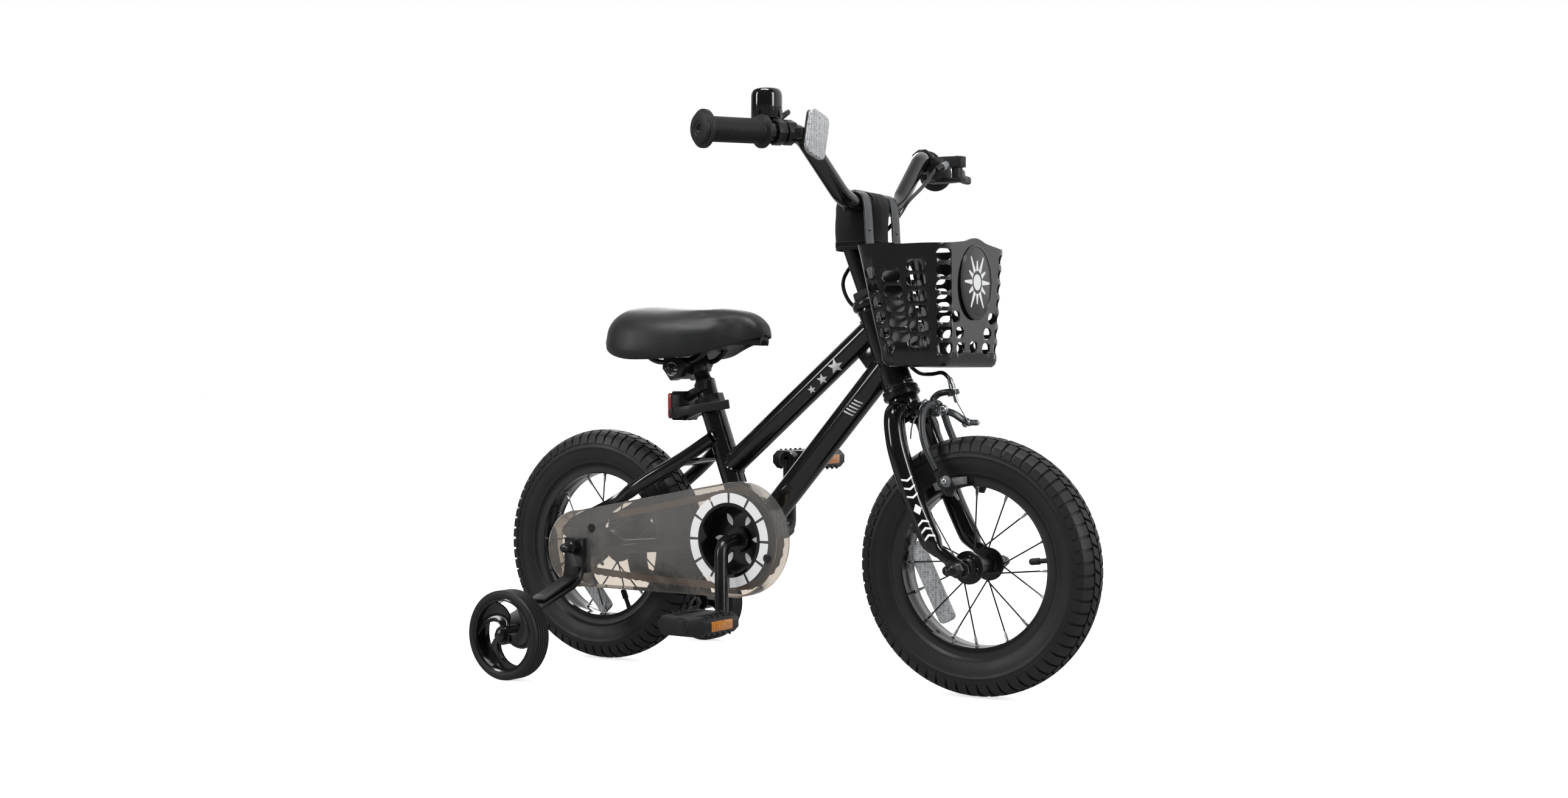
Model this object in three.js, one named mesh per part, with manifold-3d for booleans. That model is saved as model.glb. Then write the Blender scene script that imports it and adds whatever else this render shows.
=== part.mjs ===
// Kids bike with training wheels, in millimetres.
// +X is forward, +Y the bike's left, +Z up; the origin is on the ground midway between the axles.
import * as THREE from 'three';
import { mergeVertices } from 'three/addons/utils/BufferGeometryUtils.js';
import Module from 'manifold-3d';

const wasm = await Module();
wasm.setup();

const TURN = Math.PI * 2;
const WELD = 1e-4;

// Room left between two pieces that touch, and between a shaft and its bore.
const SEAT = 0.3;
const RUN = 0.4;
// Overshoot of a cutting shape past the face it cuts.
const OVER = 2;
// Sides of small pins and bosses, and of hexagon nuts.
const PIN_SIDES = 8;
const HEX = 6;

// Wheels: positions of the axles and the turned sections, as [radius, side] pairs.
const AXLE = { front: 282, rear: -282, height: 155 };
const WHEEL_SIDES = 24;
const TYRE = {
  outer: [[103, -11], [124, -25.5], [138, -27], [151, -16.5], [155, 0], [151, 16.5], [138, 27], [124, 25.5], [103, 11]],
  inner: [[104.5, 7], [141, 14], [141, -14], [104.5, -7]],
};
const RIM = [[110, -18.4], [96, -16.5], [96, 16.5], [110, 18.4], [110, 16.2], [99.5, 12.2], [99.5, -12.2],
  [110, -16.2]];
const SPOKE = { radius: 1.3, sides: 3, endGap: 0.5, reachSide: 4, lean: 0.62, perFlange: 8 };
const HUB_SIDES = 10;
const FRONT_HUB = {
  bore: 5.4, barrel: 9, flange: 20, flangeIn: 25, flangeOut: 28, end: 40, spokeFoot: 12.5, footSide: 26.4,
};
const REAR_HUB = {
  bore: 5.4, barrel: 16, flange: 26, flangeIn: 25, flangeOut: 28.5, end: 44, driver: 12.5, driverIn: 33,
  spokeFoot: 18.5, footSide: 26.6,
};
const FRONT_AXLE = { radius: 5, nut: 9.5, nutIn: 50.8, nutOut: 60, cap: 6.5, tip: 75.5 };
const REAR_AXLE = { radius: 5, nut: 9.5, innerNutIn: 52.3, innerNutOut: 65.7, outerNutIn: 70.3, outerNutOut: 80, cap: 7,
  tip: 96 };
const CAP_DOME = 5;
const REFLECTOR = { front: [-63.5, -23], rear: [-32, -52], width: 22, length: 104, frontHalf: 4, rearHalf: 3.2, corner: 6,
  frontTurn: 0.472, rearTurn: 0.72 };

// Head tube axis, leaning back from its foot; distances along it are called s.
const HEAD = { foot: [175.8, 0, 361], lean: 21.4, radius: 18.5, bore: 15.5, from: 6.3, to: 112, sides: 10 };
const CUP = { lowFrom: -6.5, lowTo: 6, highFrom: 112.3, highTo: 121.5, radius: 23, sides: 12 };
const LOCKNUT = { from: 121.8, to: 134, radius: 20, sides: 6 };
const STEERER = { radius: 14.2, bore: 11.4, from: -22, boreFrom: 40, to: 121.3, sides: 10 };
const CROWN_RACE = { from: -22, to: -6.8, radius: 19 };

// Frame tubes, as points on their centre lines.
const MAIN = { shell: [-36.8, 0, 175], shellRadius: 24, shellHalf: 33.5, spindleBore: 8.9, shellSides: 12 };
const DOWN_TUBE = { from: [-39.7, 0, 175], to: [158, 0, 397.3], radius: 17, sides: 8 };
const TOP_TUBE = { from: [-78.4, 0, 262.5], to: [140, 0, 444.2], radius: 15, sides: 8 };
const SEAT_TUBE = { from: [-44.9, 0, 175], to: [-110.5, 0, 350], radius: 15.6, bore: 13.8, depth: 130, sides: 10 };
const GUSSET = { outline: [[92, 386], [146, 432], [160, 402], [120, 352]], half: 3 };
const SEAT_STAY = { points: [[-98, 14, 300], [-134, 32, 273], [-182, 49, 243.5], [-209, 51, 226.5]],
  tail: [-232, 50, 211], radius: 9, tailRadius: 4, sides: 6 };
const CHAIN_STAY = { points: [[-50, 22, 172], [-100, 25, 168], [-134, 34, 164], [-182, 47, 160], [-220, 50, 157]],
  tail: [-246, 50, 156], radius: 9, tailRadius: 4, sides: 6 };
const STAY_BRIDGE = { at: [-128, 0, 270], half: 34, size: [22, 5] };
const DROPOUT = {
  inner: 47.5, outer: 51.8,
  outline: [[-296, 145], [-297, 149.7], [-281, 149.7], [-276.7, 152], [-276.7, 158], [-281, 160.3], [-298, 160.3],
    [-309, 165], [-318, 171], [-316, 179], [-300, 193], [-277, 203], [-242, 218], [-214, 233], [-207, 218],
    [-236, 200], [-246, 182], [-222, 170], [-212, 166], [-212, 148], [-252, 144], [-272, 139]],
};

// Fork: legs in front of the steerer axis, dropouts behind the hub ends.
const FORK_LEG = { points: [[186, 6, 338], [186, 32, 336], [195, 45, 303], [212, 48, 255], [231, 49, 212],
  [251, 49, 177]], tail: [266, 48, 166], radius: 13, tailRadius: 4, sides: 7 };
const FORK_END = { inner: 45, outer: 50.2,
  outline: [[246, 186], [262, 178], [281, 166], [292, 160], [294, 150], [287.3, 143.5], [287.3, 157],
    [285, 160.6], [279, 160.6], [276.7, 157], [276.7, 143.5], [270, 147], [262, 160], [244, 172]] };
const CROWN_BLOCK = { from: 182, to: 206, half: 13, low: 331, high: 351 };

// Handlebar, stem and the things clamped to the bar.
const BAR = { radius: 11, sides: 8, centre: [133, 0, 592], low: [133, 61, 592], high: [123.2, 145, 664.9],
  end: [76.6, 272.4, 658.9], lowBend: 21, highBend: 15, steps: 3 };
const GRIP = { from: [104.7, 195.7, 662.5], to: [75.1, 276.7, 658.7], sides: 10,
  body: 14.5, innerFlange: 19.5, innerDepth: 5, outerFlange: 22, outerDepth: 4, cap: 18, capDepth: 9, wall: 3.6 };
const STEM = { radius: 11, from: 60, to: 208, extension: 12.5, clamp: 15.5, clampHalf: 18, sides: 10 };
const PAD = { back: 88.6, front: 152, half: 22.5, low: 536, high: 612, sides: 12 };
const BRACKET = { inner: 26, outer: 38.5, thick: 3,
  hook: [[119.8, 583], [119.4, 592], [123.4, 601.6], [133, 605.6], [142.6, 601.6], [146.6, 592]],
  strip: [[148.6, 575], [151.5, 540], [155.1, 531], [161.6, 500]] };
const BELL = { y: -178, ring: 15.5, ringHalf: 6, ringSides: 8, stalk: 5, stalkSides: 6, cup: [93.5, -175, 699],
  cupRadius: 18.5, cupDepth: 25, wall: 1.6, plate: 16, plateThick: 3, sides: 12, striker: [[108, -166, 681], [110, -159, 686], [110, -152, 690]], strikerRadius: 3.4 };
const FRONT_REFLECTOR = { x: 139, centre: [-144, 662], width: 41, height: 54, thick: 8, lean: 14, corner: 8 };
const REFLECTOR_ARM = { ring: 15, ringHalf: 6, y: -164, strap: 2.9, strapHalf: 6, strapTo: -138, neckHalf: 5 };
const LEVER_MOUNT = { y: 168, ring: 16, ringHalf: 7.5, high: [653, 667], low: [634, 639.2],
  arm: [[126, 156], [152, 154], [174, 160], [176, 171], [150, 176], [128, 174]],
  web: [[126, 157], [144, 156], [144, 174], [128, 173]], pin: [166, 166], pinRadius: 3,
  adjuster: [[157, 160, 658], [149.6, 138.5, 648.1]], adjusterRadius: 4.5 };
const LEVER = { path: [[159.5, 163], [166, 166], [160, 190], [147, 215], [137, 240], [134, 262]], thick: 9,
  low: 639.7, high: 652.4, boss: 7 };

// Brake caliper, in the bike's front view; the pivot runs along X.
const CALIPER = { pivot: [0, 341], boltFrom: 191, boltTo: 240, boltRadius: 3, boltHole: 3.5,
  nutFrom: 229.4, nutTo: 238, nutRadius: 7.5,
  right: { from: 221.4, to: 227.4, boss: 9,
    arm: [[224.4, -4, 343], [224.4, -20, 347], [224, -33, 336], [226, -39, 318], [233, -41.5, 295], [247, -41.5, 270]],
    reach: [[224.4, 4, 341], [240, 14, 336], [250, 22, 328], [256, 26, 325]] },
  left: { from: 213.2, to: 219.2, boss: 9,
    arm: [[216.2, 4, 343], [216.2, 20, 347], [217, 33, 336], [221, 39, 318], [231, 41.5, 295], [247, 41.5, 270]],
    post: [[216.2, 3, 345], [216.2, 9, 356], [228, 11, 364.5], [241, 10, 362.5]] },
  armRadius: 5.2, sides: 5 };
const PAD_PLATE = { inner: 39, outer: 43.4, outline: [[243, 276], [255, 272], [262, 268], [272, 248], [268, 239], [260, 240],
  [250, 252], [245, 264]], slot: [[254.5, 262], [260.5, 265.5], [267, 251.5], [261, 248]] };
const PAD_SHOE = { inner: 20.2, outer: 33, arc: [98.5, 107.5], from: 1.62, to: 2.0, steps: 3, bolt: [261, 257], boltRadius: 2.6,
  boltTo: 50, nut: 6, nutFrom: 43.8 };
const STOP = { ring: [[241.5, 10, 363.5], [243.2, 10, 358.5]], ringRadius: 7.5, hole: 4.6 };
const ANCHOR = { from: 250, to: 268, at: [26, 325], radius: 5.5 };
const SPRING = { x: 209.6, points: [[-37, 306], [-33, 322], [-19, 337], [0, 352.5], [19, 337], [33, 322], [37, 306]],
  radius: 1.1, steps: 14 };
const CABLE = { radius: 2.5, wire: 0.9, ferrule: 4.1, sides: 8, steps: 34,
  housing: [[149.2, 137.4, 647.6], [150, 100, 622], [150.5, 62, 600], [147, 46, 582], [133, 36, 562], [108, 28, 544],
    [88, 15, 522], [78, 4, 498], [84, 12, 472], [104, 26, 450], [128, 33, 430], [158, 33, 405], [184, 28, 386],
    [206, 20, 383.5], [226, 14, 385], [238, 10, 377]],
  barrel: [[237.6, 10, 377.6], [247, 10, 349.5]], end: [256, 19.2, 330.6] };

// Basket: rounded rings at its foot and rim, and the windows in its walls.
const BASKET = {
  foot: { back: 187, front: 274, half: 80, corner: 24, z: 392 },
  rim: { back: 157, front: 278, half: 92, corner: 27, z: 534 },
  rise: 3, wall: 2.6, floor: 3, cornerSteps: 2,
  bump: { half: 34, high: 13, steps: 8 }, plate: { y: 37, z: 45, centre: 492.5, thick: 2, sides: 16 },
};
const WINDOW_HEIGHT = 13.5;
const SIDE_WINDOWS = [
  { width: 19, at: [[182.3, 503], [186, 485], [190, 467.8], [194.5, 450.5], [199.7, 432.8], [204.9, 415.7]] },
  { width: 27, at: [[211.5, 498], [214.1, 480.3], [216.4, 462.6], [219, 444.8], [222, 427.1]] },
  { width: 28, at: [[245, 510], [245.2, 492.4], [245.4, 474.4], [245.6, 456.6], [246, 438.7], [246, 420.6]] },
];
const CORNER_WINDOWS = { width: 18, rows: [522, 503.5, 486, 468.3, 450, 431.7, 413.2], axis: [251, 65], bearing: 42 };
const FRONT_WINDOWS = { width: 14, at: [[46, 450.5], [30, 432], [55, 432], [0, 415.5], [26, 414], [52, 413.5]] };
const BACK_WINDOWS = { width: 34, columns: [-46, 46], rows: [503, 485, 467.5, 450, 432.5, 415] };
const FLOOR_SLOTS = { from: 203, to: 262, width: 10, at: [-52, -26, 0, 26, 52] };

// Drive: chain line, tooth counts and the crank.
const PITCH = 12.7;
const RING_TEETH = 30;
const SPROCKET_TEETH = 16;
const LINKS = 62;
const CHAIN = { y: -38, half: 4, plate: 1.1, waist: 2.9, bulge: 4.3, roller: 3.1, pinSides: 3, topSag: 0.8, lowSag: 2.5 };
const TOOTH = { root: CHAIN.roller + SEAT, tip: 2.4, rootShare: 0.26, tipShare: 0.1, half: 1 };
const RING = { bore: 8.9, sides: 12, window: { inner: 22, outer: 40, count: 5, share: 0.62 } };
const SPROCKET = { bore: 13 };
const CRANK = { rod: 8.5, sides: 8, bend: 20, steps: 4, length: 95.8, turn: 5.3, corner: 80, eye: 91, collar: 17,
  collarFrom: 40.2, collarTo: 47, eyeRadius: 12, eyeFrom: 84, eyeTo: 98, spindle: 5, spindleTo: 170 };
const PEDAL = { from: 104, to: 176, halfLength: 35, halfHeight: 12, bore: 5.4, boss: 12, window: [11, 46], web: 9,
  windowSide: 30, chamfer: 7, recess: [20, 15, 5], endStop: 171 };
const CASE = { outer: 63, inner: 34.3, wall: 2, front: 73, rear: 51, rearAt: [-281.5, 152.5], frontSteps: 12,
  rearSteps: 7, opening: 43, lip: 46, lipWall: 2, sides: 16, stayRoom: 1.6,
  notch: [[-286, 194], [-204, 212], [-204, 236], [-286, 216]], notchFrom: 54.5,
  axleCut: [[-301, 110], [-301, 173], [-261, 173], [-261, 110]], screw: [-258, 181], screwRadius: 5 };

// Saddle, seat post and what is clamped to them.
const COLLAR = { from: -12, to: 4, radius: 20, bore: 15.9, lugLength: 44, lugHalf: 9, slit: 1.6, skewer: 3 };
const QR = { pivot: [-146, -30, 333.5], path: [[-146, -30], [-132, -34], [-110, -33.5], [-88, -26], [-66, -17]],
  thick: 5, low: 328, high: 340, boss: 6.5, rise: 12 };
const POST = { low: -92, shoulder: 26, neck: 36, top: 62, radius: 13.5, narrow: 10, sides: 10 };
const LAMP_BAND = { from: 12, to: 25.5, radius: 17.5, bore: 13.8 };
const REAR_REFLECTOR = { back: -175.5, front: -154.5, half: 22, low: 324, high: 362, corner: 5, arm: 7 };
const CLAMP = { socketFrom: 38.5, socketTo: 61, socket: 14.6, bolt: [-150, 391], boltRadius: 4, boltHalf: 38,
  drum: 14, drumSides: 8, cheek: [[-165, 392], [-163, 406], [-136, 406], [-126, 398], [-136, 381], [-152, 376]],
  cheekInner: 15, cheekOuter: 30.5, nut: 7.5, nutTo: 35 };
const RAIL = { radius: 3.4, side: 22.3, sides: 5,
  points: [[-206, 427], [-192, 407], [-180, 401.5], [-166, 400], [-132, 400], [-118, 402], [-104, 412], [-92, 427]],
  nose: [-92, 427] };
const SADDLE = {
  sides: 18,
  // Each station: [x, half width, top, skirt foot].
  stations: [[-268.5, 20, 446, 432], [-264, 44, 456, 424], [-252, 61, 464.5, 417], [-232, 72, 470.5, 410],
    [-205, 77, 471.2, 405.5], [-176, 75, 469.2, 405], [-146, 68, 467.2, 406], [-114, 52, 466.6, 409.5],
    [-84, 36, 467.3, 417], [-58, 27, 466, 424], [-36, 22, 460, 429], [-23, 16, 450, 431.5], [-18.6, 8, 441, 433]],
  crownShare: 0.62, flareShare: 0.86, cushion: 17, skirt: 5, base: 4.5, baseRoom: 0.6, socket: 6,
};

// Training wheels and their brackets, mirrored to both sides.
const TRAINER = { x: -269, y: 214, z: 56.4, sides: 18 };
const TRAINER_TYRE = [[38.4, -12.5], [52, -14], [56.4, -10.5], [56.4, 10.5], [52, 14], [38.4, 12.5]];
const TRAINER_WHEEL = { rim: 38, rimInner: 33, rimHalf: 12.5, hub: 12, bore: 5.4, hubHalf: 13.5, blade: 4, blades: 3,
  bladeFoot: 9, bladeTip: 35, bladeEdge: 36, bladeSweep: 62, bladeWidth: 15, hubSides: 8 };
const TRAINER_BOLT = { radius: 5, from: 183, to: 229.8, head: 9, headFrom: 228, nut: 9.5, nutFrom: 183, nutTo: 189.8 };
const TRAINER_ARM = { back: -298, front: -266.6, plateOuter: 70, thick: 4, top: 167,
  path: [[68, 167], [68, 128], [73, 113], [86, 104.5], [150, 84], [180, 74.5], [193, 66], [193, 44]],
  lowBack: -283, lowFront: -255, flange: 3, flangeDepth: 13.9, flangeLow: 121 };
const TRAINER_BRACE = { path: [[73.4, 130], [73.4, 117], [128, 96.5], [143, 91.5]], thick: 3.2, back: -295, front: -272 };

const V = (x, y, z) => new THREE.Vector3(x, y, z);
const at = ([x, y, z], side = 1) => V(x, y * side, z);
// The corner radius of a many-sided ring whose flats lie at a given radius.
const facet = (radius, sides) => radius / Math.cos(Math.PI / sides);

// Turns a three.js geometry into a solid that can be joined and cut.
function solid(geometry) {
  const bare = geometry.clone();
  bare.deleteAttribute('normal');
  bare.deleteAttribute('uv');
  const merged = mergeVertices(bare, WELD);
  const points = merged.attributes.position;
  const index = merged.index.array;
  const kept = [];
  let volume = 0;
  for (let i = 0; i < index.length; i += 3) {
    const [a, b, c] = [index[i], index[i + 1], index[i + 2]];
    if (a === b || b === c || a === c) {
      continue;
    }
    kept.push(a, b, c);
    const [p, q, r] = [a, b, c].map((k) => V(points.getX(k), points.getY(k), points.getZ(k)));
    volume += p.dot(q.cross(r));
  }
  if (volume < 0) {
    kept.reverse();
  }
  const triVerts = new Uint32Array(kept);
  return new wasm.Manifold(new wasm.Mesh({ numProp: 3, vertProperties: new Float32Array(points.array), triVerts }));
}

const join = (...bodies) => bodies.flat().reduce((sum, body) => sum.add(body));
const cut = (body, ...tools) => tools.flat().reduce((rest, tool) => rest.subtract(tool), body);

// A cylinder or cone frustum between two points.
function rod(from, to, radius, sides, endRadius = radius) {
  const along = to.clone().sub(from);
  const length = along.length();
  const geometry = endRadius === radius
    ? new THREE.ExtrudeGeometry(shapeOf(ringPoints(radius, sides, 0.5)), { depth: length, bevelEnabled: false })
    : new THREE.CylinderGeometry(endRadius, radius, length, sides).rotateX(TURN / 4).translate(0, 0, length / 2);
  geometry.applyQuaternion(new THREE.Quaternion().setFromUnitVectors(V(0, 0, 1), along.normalize()));
  return solid(geometry.translate(from.x, from.y, from.z));
}

// A cylinder along Y, and one along X.
const rodY = (x, z, from, to, radius, sides) => rod(V(x, from, z), V(x, to, z), radius, sides);
const rodX = (y, z, from, to, radius, sides) => rod(V(from, y, z), V(to, y, z), radius, sides);

// A curve through given stations, sampled at exactly those stations.
class Route extends THREE.Curve {
  constructor(stations) {
    super();
    this.stations = stations;
  }

  getPoint(share) {
    const reach = share * (this.stations.length - 1);
    const k = Math.min(Math.floor(reach + WELD), this.stations.length - 1);
    const next = Math.min(k + 1, this.stations.length - 1);
    return this.stations[k].clone().lerp(this.stations[next], Math.max(reach - k, 0));
  }

  getTangent(share) {
    const k = Math.round(share * (this.stations.length - 1));
    const before = this.stations[Math.max(k - 1, 0)];
    const after = this.stations[Math.min(k + 1, this.stations.length - 1)];
    const here = this.stations[k];
    const arrive = here.clone().sub(before).normalize();
    const leave = after.clone().sub(here).normalize();
    return arrive.add(leave).normalize();
  }

  getPointAt(share) {
    return this.getPoint(share);
  }

  getTangentAt(share) {
    return this.getTangent(share);
  }
}

const ringPoints = (radius, sides, phase = 0) => Array.from({ length: sides }, (_, k) => {
  const angle = TURN * (k + phase) / sides;
  return [radius * Math.cos(angle), radius * Math.sin(angle)];
});

const shapeOf = (points) => new THREE.Shape(points.map(([u, v]) => new THREE.Vector2(u, v)));

// A round bar along stations.
function tube(stations, radius, sides) {
  const path = new Route(stations);
  const options = { steps: stations.length - 1, bevelEnabled: false, extrudePath: path };
  return solid(new THREE.ExtrudeGeometry(shapeOf(ringPoints(radius, sides)), options));
}

// Stations of a bar that turns its corners on arcs; bends gives the reach of each arc.
function bent(corners, bends, steps) {
  const stations = [corners[0]];
  for (let k = 1; k < corners.length - 1; k += 1) {
    const before = corners[k - 1].clone().sub(corners[k]);
    const after = corners[k + 1].clone().sub(corners[k]);
    const reach = bends[(k - 1) % bends.length];
    const start = corners[k].clone().addScaledVector(before.normalize(), reach);
    const end = corners[k].clone().addScaledVector(after.normalize(), reach);
    const arc = new THREE.QuadraticBezierCurve3(start, corners[k], end);
    stations.push(...arc.getPoints(steps));
  }
  stations.push(corners[corners.length - 1]);
  return stations;
}

const smooth = (points, steps) => new THREE.CatmullRomCurve3(points, false, 'centripetal').getSpacedPoints(steps);

// Extrusions of a flat outline: [x, z] along Y, [y, z] along X, and [x, y] along Z.
function slabY(points, from, to) {
  const geometry = new THREE.ExtrudeGeometry(shapeOf(points), { depth: to - from, bevelEnabled: false });
  const turn = new THREE.Matrix4().makeBasis(V(1, 0, 0), V(0, 0, 1), V(0, -1, 0)).setPosition(0, to, 0);
  return solid(geometry.applyMatrix4(turn));
}

function slabX(points, from, to) {
  const geometry = new THREE.ExtrudeGeometry(shapeOf(points), { depth: to - from, bevelEnabled: false });
  const turn = new THREE.Matrix4().makeBasis(V(0, 1, 0), V(0, 0, 1), V(1, 0, 0)).setPosition(from, 0, 0);
  return solid(geometry.applyMatrix4(turn));
}

function slabZ(points, from, to) {
  const geometry = new THREE.ExtrudeGeometry(shapeOf(points), { depth: to - from, bevelEnabled: false });
  return solid(geometry.translate(0, 0, from));
}

// The same slab on the right (side -1) or left (side 1) of the bike.
const sideSlab = (points, inner, outer, side) => (side > 0
  ? slabY(points, inner, outer)
  : slabY(points, -outer, -inner));

// A turned body: [radius, height] pairs, height measured from a foot along a direction.
function turned(profile, sides, foot = V(0, 0, 0), along = V(0, 1, 0)) {
  const points = profile.map(([r, h]) => new THREE.Vector2(r, h));
  const geometry = new THREE.LatheGeometry(points, sides, TURN / sides / 2);
  geometry.applyQuaternion(new THREE.Quaternion().setFromUnitVectors(V(0, 1, 0), along.clone().normalize()));
  return solid(geometry.translate(foot.x, foot.y, foot.z));
}

// A ring with a bore, between two heights.
const ring = (radius, bore, from, to, sides, foot, along) => turned(
  [[bore, from], [radius, from], [radius, to], [bore, to], [bore, from]], sides, foot, along);

// A strip of even thickness along a flat path.
function stripOutline(path, thick) {
  const points = path.map(([u, v]) => new THREE.Vector2(u, v));
  const left = [];
  const right = [];
  points.forEach((here, k) => {
    const before = points[Math.max(k - 1, 0)];
    const after = points[Math.min(k + 1, points.length - 1)];
    const along = after.clone().sub(before).normalize();
    const normal = new THREE.Vector2(-along.y, along.x).multiplyScalar(thick / 2);
    left.push([here.x + normal.x, here.y + normal.y]);
    right.push([here.x - normal.x, here.y - normal.y]);
  });
  return left.concat(right.reverse());
}

// A skin over rings of points, closed by a point in the middle of the first and last ring.
function loft(rings) {
  const sides = rings[0].length;
  const centre = (points) => points.reduce((sum, p) => sum.add(p), V(0, 0, 0)).divideScalar(points.length);
  const rows = [Array(sides).fill(centre(rings[0])), ...rings, Array(sides).fill(centre(rings[rings.length - 1]))];
  const geometry = new THREE.SphereGeometry(1, sides, rows.length - 1);
  const position = geometry.attributes.position;
  rows.forEach((row, j) => {
    for (let i = 0; i <= sides; i += 1) {
      const point = row[i % sides];
      position.setXYZ(j * (sides + 1) + i, point.x, point.y, point.z);
    }
  });
  return solid(geometry);
}

// A rectangle with its corners cut off, as an outline.
function chamfered(width, height, corner) {
  const [u, v] = [width / 2, height / 2];
  return [[u - corner, -v], [u, corner - v], [u, v - corner], [u - corner, v], [corner - u, v], [-u, v - corner],
    [-u, corner - v], [corner - u, -v]];
}

// A window whose ends run to a point.
const pointed = (width, height) => [[width / 2 - height / 3, -height / 2], [width / 2, 0],
  [width / 2 - height / 3, height / 2], [height / 3 - width / 2, height / 2], [-width / 2, 0],
  [height / 3 - width / 2, -height / 2]];

// A rectangle about the origin.
const plain = (width, height) => [[width / 2, -height / 2], [width / 2, height / 2], [-width / 2, height / 2],
  [-width / 2, -height / 2]];

const moved = (points, [u, v]) => points.map(([a, b]) => [a + u, b + v]);

const headUp = V(-Math.sin(THREE.MathUtils.degToRad(HEAD.lean)), 0, Math.cos(THREE.MathUtils.degToRad(HEAD.lean)));
const headAt = (s) => at(HEAD.foot).addScaledVector(headUp, s);
const seatUp = at(SEAT_TUBE.to).sub(at(SEAT_TUBE.from)).normalize();
const seatAt = (s) => at(SEAT_TUBE.to).addScaledVector(seatUp, s);
const barAlong = at(GRIP.to).sub(at(GRIP.from)).normalize();
// A point on the raised part of the bar, at a given sideways distance.
function barAt(y) {
  const share = (Math.abs(y) - GRIP.from[1]) / (GRIP.to[1] - GRIP.from[1]);
  const point = at(GRIP.from).lerp(at(GRIP.to), share);
  return V(point.x, y, point.z);
}
const barBore = (sides) => facet(BAR.radius + SEAT, sides);
const barDirection = (y) => V(barAlong.x, Math.sign(y) * barAlong.y, barAlong.z);

function stay(definition, side, grow = 0) {
  const points = definition.points.map((point) => at(point, side));
  const tail = at(definition.tail, side);
  return [
    tube(points, definition.radius + grow, definition.sides),
    rod(points[points.length - 1], tail, definition.radius + grow, definition.sides, definition.tailRadius + grow),
  ];
}

function frame() {
  const [bx, , bz] = MAIN.shell;
  const bridge = moved(chamfered(STAY_BRIDGE.size[0], STAY_BRIDGE.size[1], 0), [STAY_BRIDGE.at[0], STAY_BRIDGE.at[2]]);
  const bridgeOutline = [bridge[0], bridge[2], bridge[4], bridge[6]];
  const tubes = [
    rod(at(TOP_TUBE.from), at(TOP_TUBE.to), TOP_TUBE.radius, TOP_TUBE.sides),
    rod(at(DOWN_TUBE.from), at(DOWN_TUBE.to), DOWN_TUBE.radius, DOWN_TUBE.sides),
    rod(at(SEAT_TUBE.from), at(SEAT_TUBE.to), SEAT_TUBE.radius, SEAT_TUBE.sides),
    rod(headAt(HEAD.from), headAt(HEAD.to), HEAD.radius, HEAD.sides),
    rodY(bx, bz, -MAIN.shellHalf, MAIN.shellHalf, MAIN.shellRadius, MAIN.shellSides),
    slabY(GUSSET.outline, -GUSSET.half, GUSSET.half),
    slabY(bridgeOutline, -STAY_BRIDGE.half, STAY_BRIDGE.half),
  ];
  for (const side of [-1, 1]) {
    tubes.push(...stay(SEAT_STAY, side), ...stay(CHAIN_STAY, side));
    tubes.push(sideSlab(DROPOUT.outline, DROPOUT.inner, DROPOUT.outer, side));
  }
  return cut(
    join(tubes),
    rodY(bx, bz, -MAIN.shellHalf - OVER, MAIN.shellHalf + OVER, facet(MAIN.spindleBore, CRANK.sides), CRANK.sides),
    rod(headAt(HEAD.from - OVER), headAt(HEAD.to + OVER), HEAD.bore, HEAD.sides),
    rod(seatAt(-SEAT_TUBE.depth), seatAt(OVER), facet(SEAT_TUBE.bore, SEAT_TUBE.sides), SEAT_TUBE.sides),
  );
}

function headset() {
  const bore = facet(STEERER.radius + SEAT, CUP.sides);
  const low = ring(CUP.radius, bore, CUP.lowFrom, CUP.lowTo, CUP.sides, at(HEAD.foot), headUp);
  const high = ring(CUP.radius, bore, CUP.highFrom, CUP.highTo, CUP.sides, at(HEAD.foot), headUp);
  const nut = cut(
    rod(headAt(LOCKNUT.from), headAt(LOCKNUT.to), LOCKNUT.radius, LOCKNUT.sides),
    rod(headAt(LOCKNUT.from - OVER), headAt(LOCKNUT.to + OVER), STEM.radius + SEAT, STEM.sides),
  );
  return { low, high, nut };
}

function fork() {
  const parts = [
    rod(headAt(STEERER.from), headAt(STEERER.to), STEERER.radius, STEERER.sides),
    rod(headAt(CROWN_RACE.from), headAt(CROWN_RACE.to), CROWN_RACE.radius, STEERER.sides),
    slabX([[-CROWN_BLOCK.half, CROWN_BLOCK.low], [CROWN_BLOCK.half, CROWN_BLOCK.low],
      [CROWN_BLOCK.half, CROWN_BLOCK.high], [-CROWN_BLOCK.half, CROWN_BLOCK.high]], CROWN_BLOCK.from, CROWN_BLOCK.to),
  ];
  for (const side of [-1, 1]) {
    parts.push(...stay(FORK_LEG, side), sideSlab(FORK_END.outline, FORK_END.inner, FORK_END.outer, side));
  }
  return cut(
    join(parts),
    rod(headAt(STEERER.boreFrom), headAt(STEERER.to + OVER), STEERER.bore, STEERER.sides),
    rodX(CALIPER.pivot[0], CALIPER.pivot[1], CALIPER.boltFrom - OVER, CROWN_BLOCK.to + OVER, CALIPER.boltHole, 8),
  );
}

function stem() {
  const centre = at(BAR.centre);
  return cut(
    join(
      rod(headAt(STEM.from), headAt(STEM.to), STEM.radius, STEM.sides),
      rod(headAt(STEM.to - STEM.extension), centre, STEM.extension, STEM.sides),
      rodY(centre.x, centre.z, -STEM.clampHalf, STEM.clampHalf, STEM.clamp, STEM.sides),
    ),
    rodY(centre.x, centre.z, -STEM.clampHalf - OVER, STEM.clampHalf + OVER, barBore(BAR.sides), BAR.sides),
  );
}

function barStations() {
  const half = [at(BAR.end), at(BAR.high), at(BAR.low)];
  const other = [at(BAR.low, -1), at(BAR.high, -1), at(BAR.end, -1)];
  return bent(half.concat(other), [BAR.highBend, BAR.lowBend, BAR.lowBend, BAR.highBend], BAR.steps);
}

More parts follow.
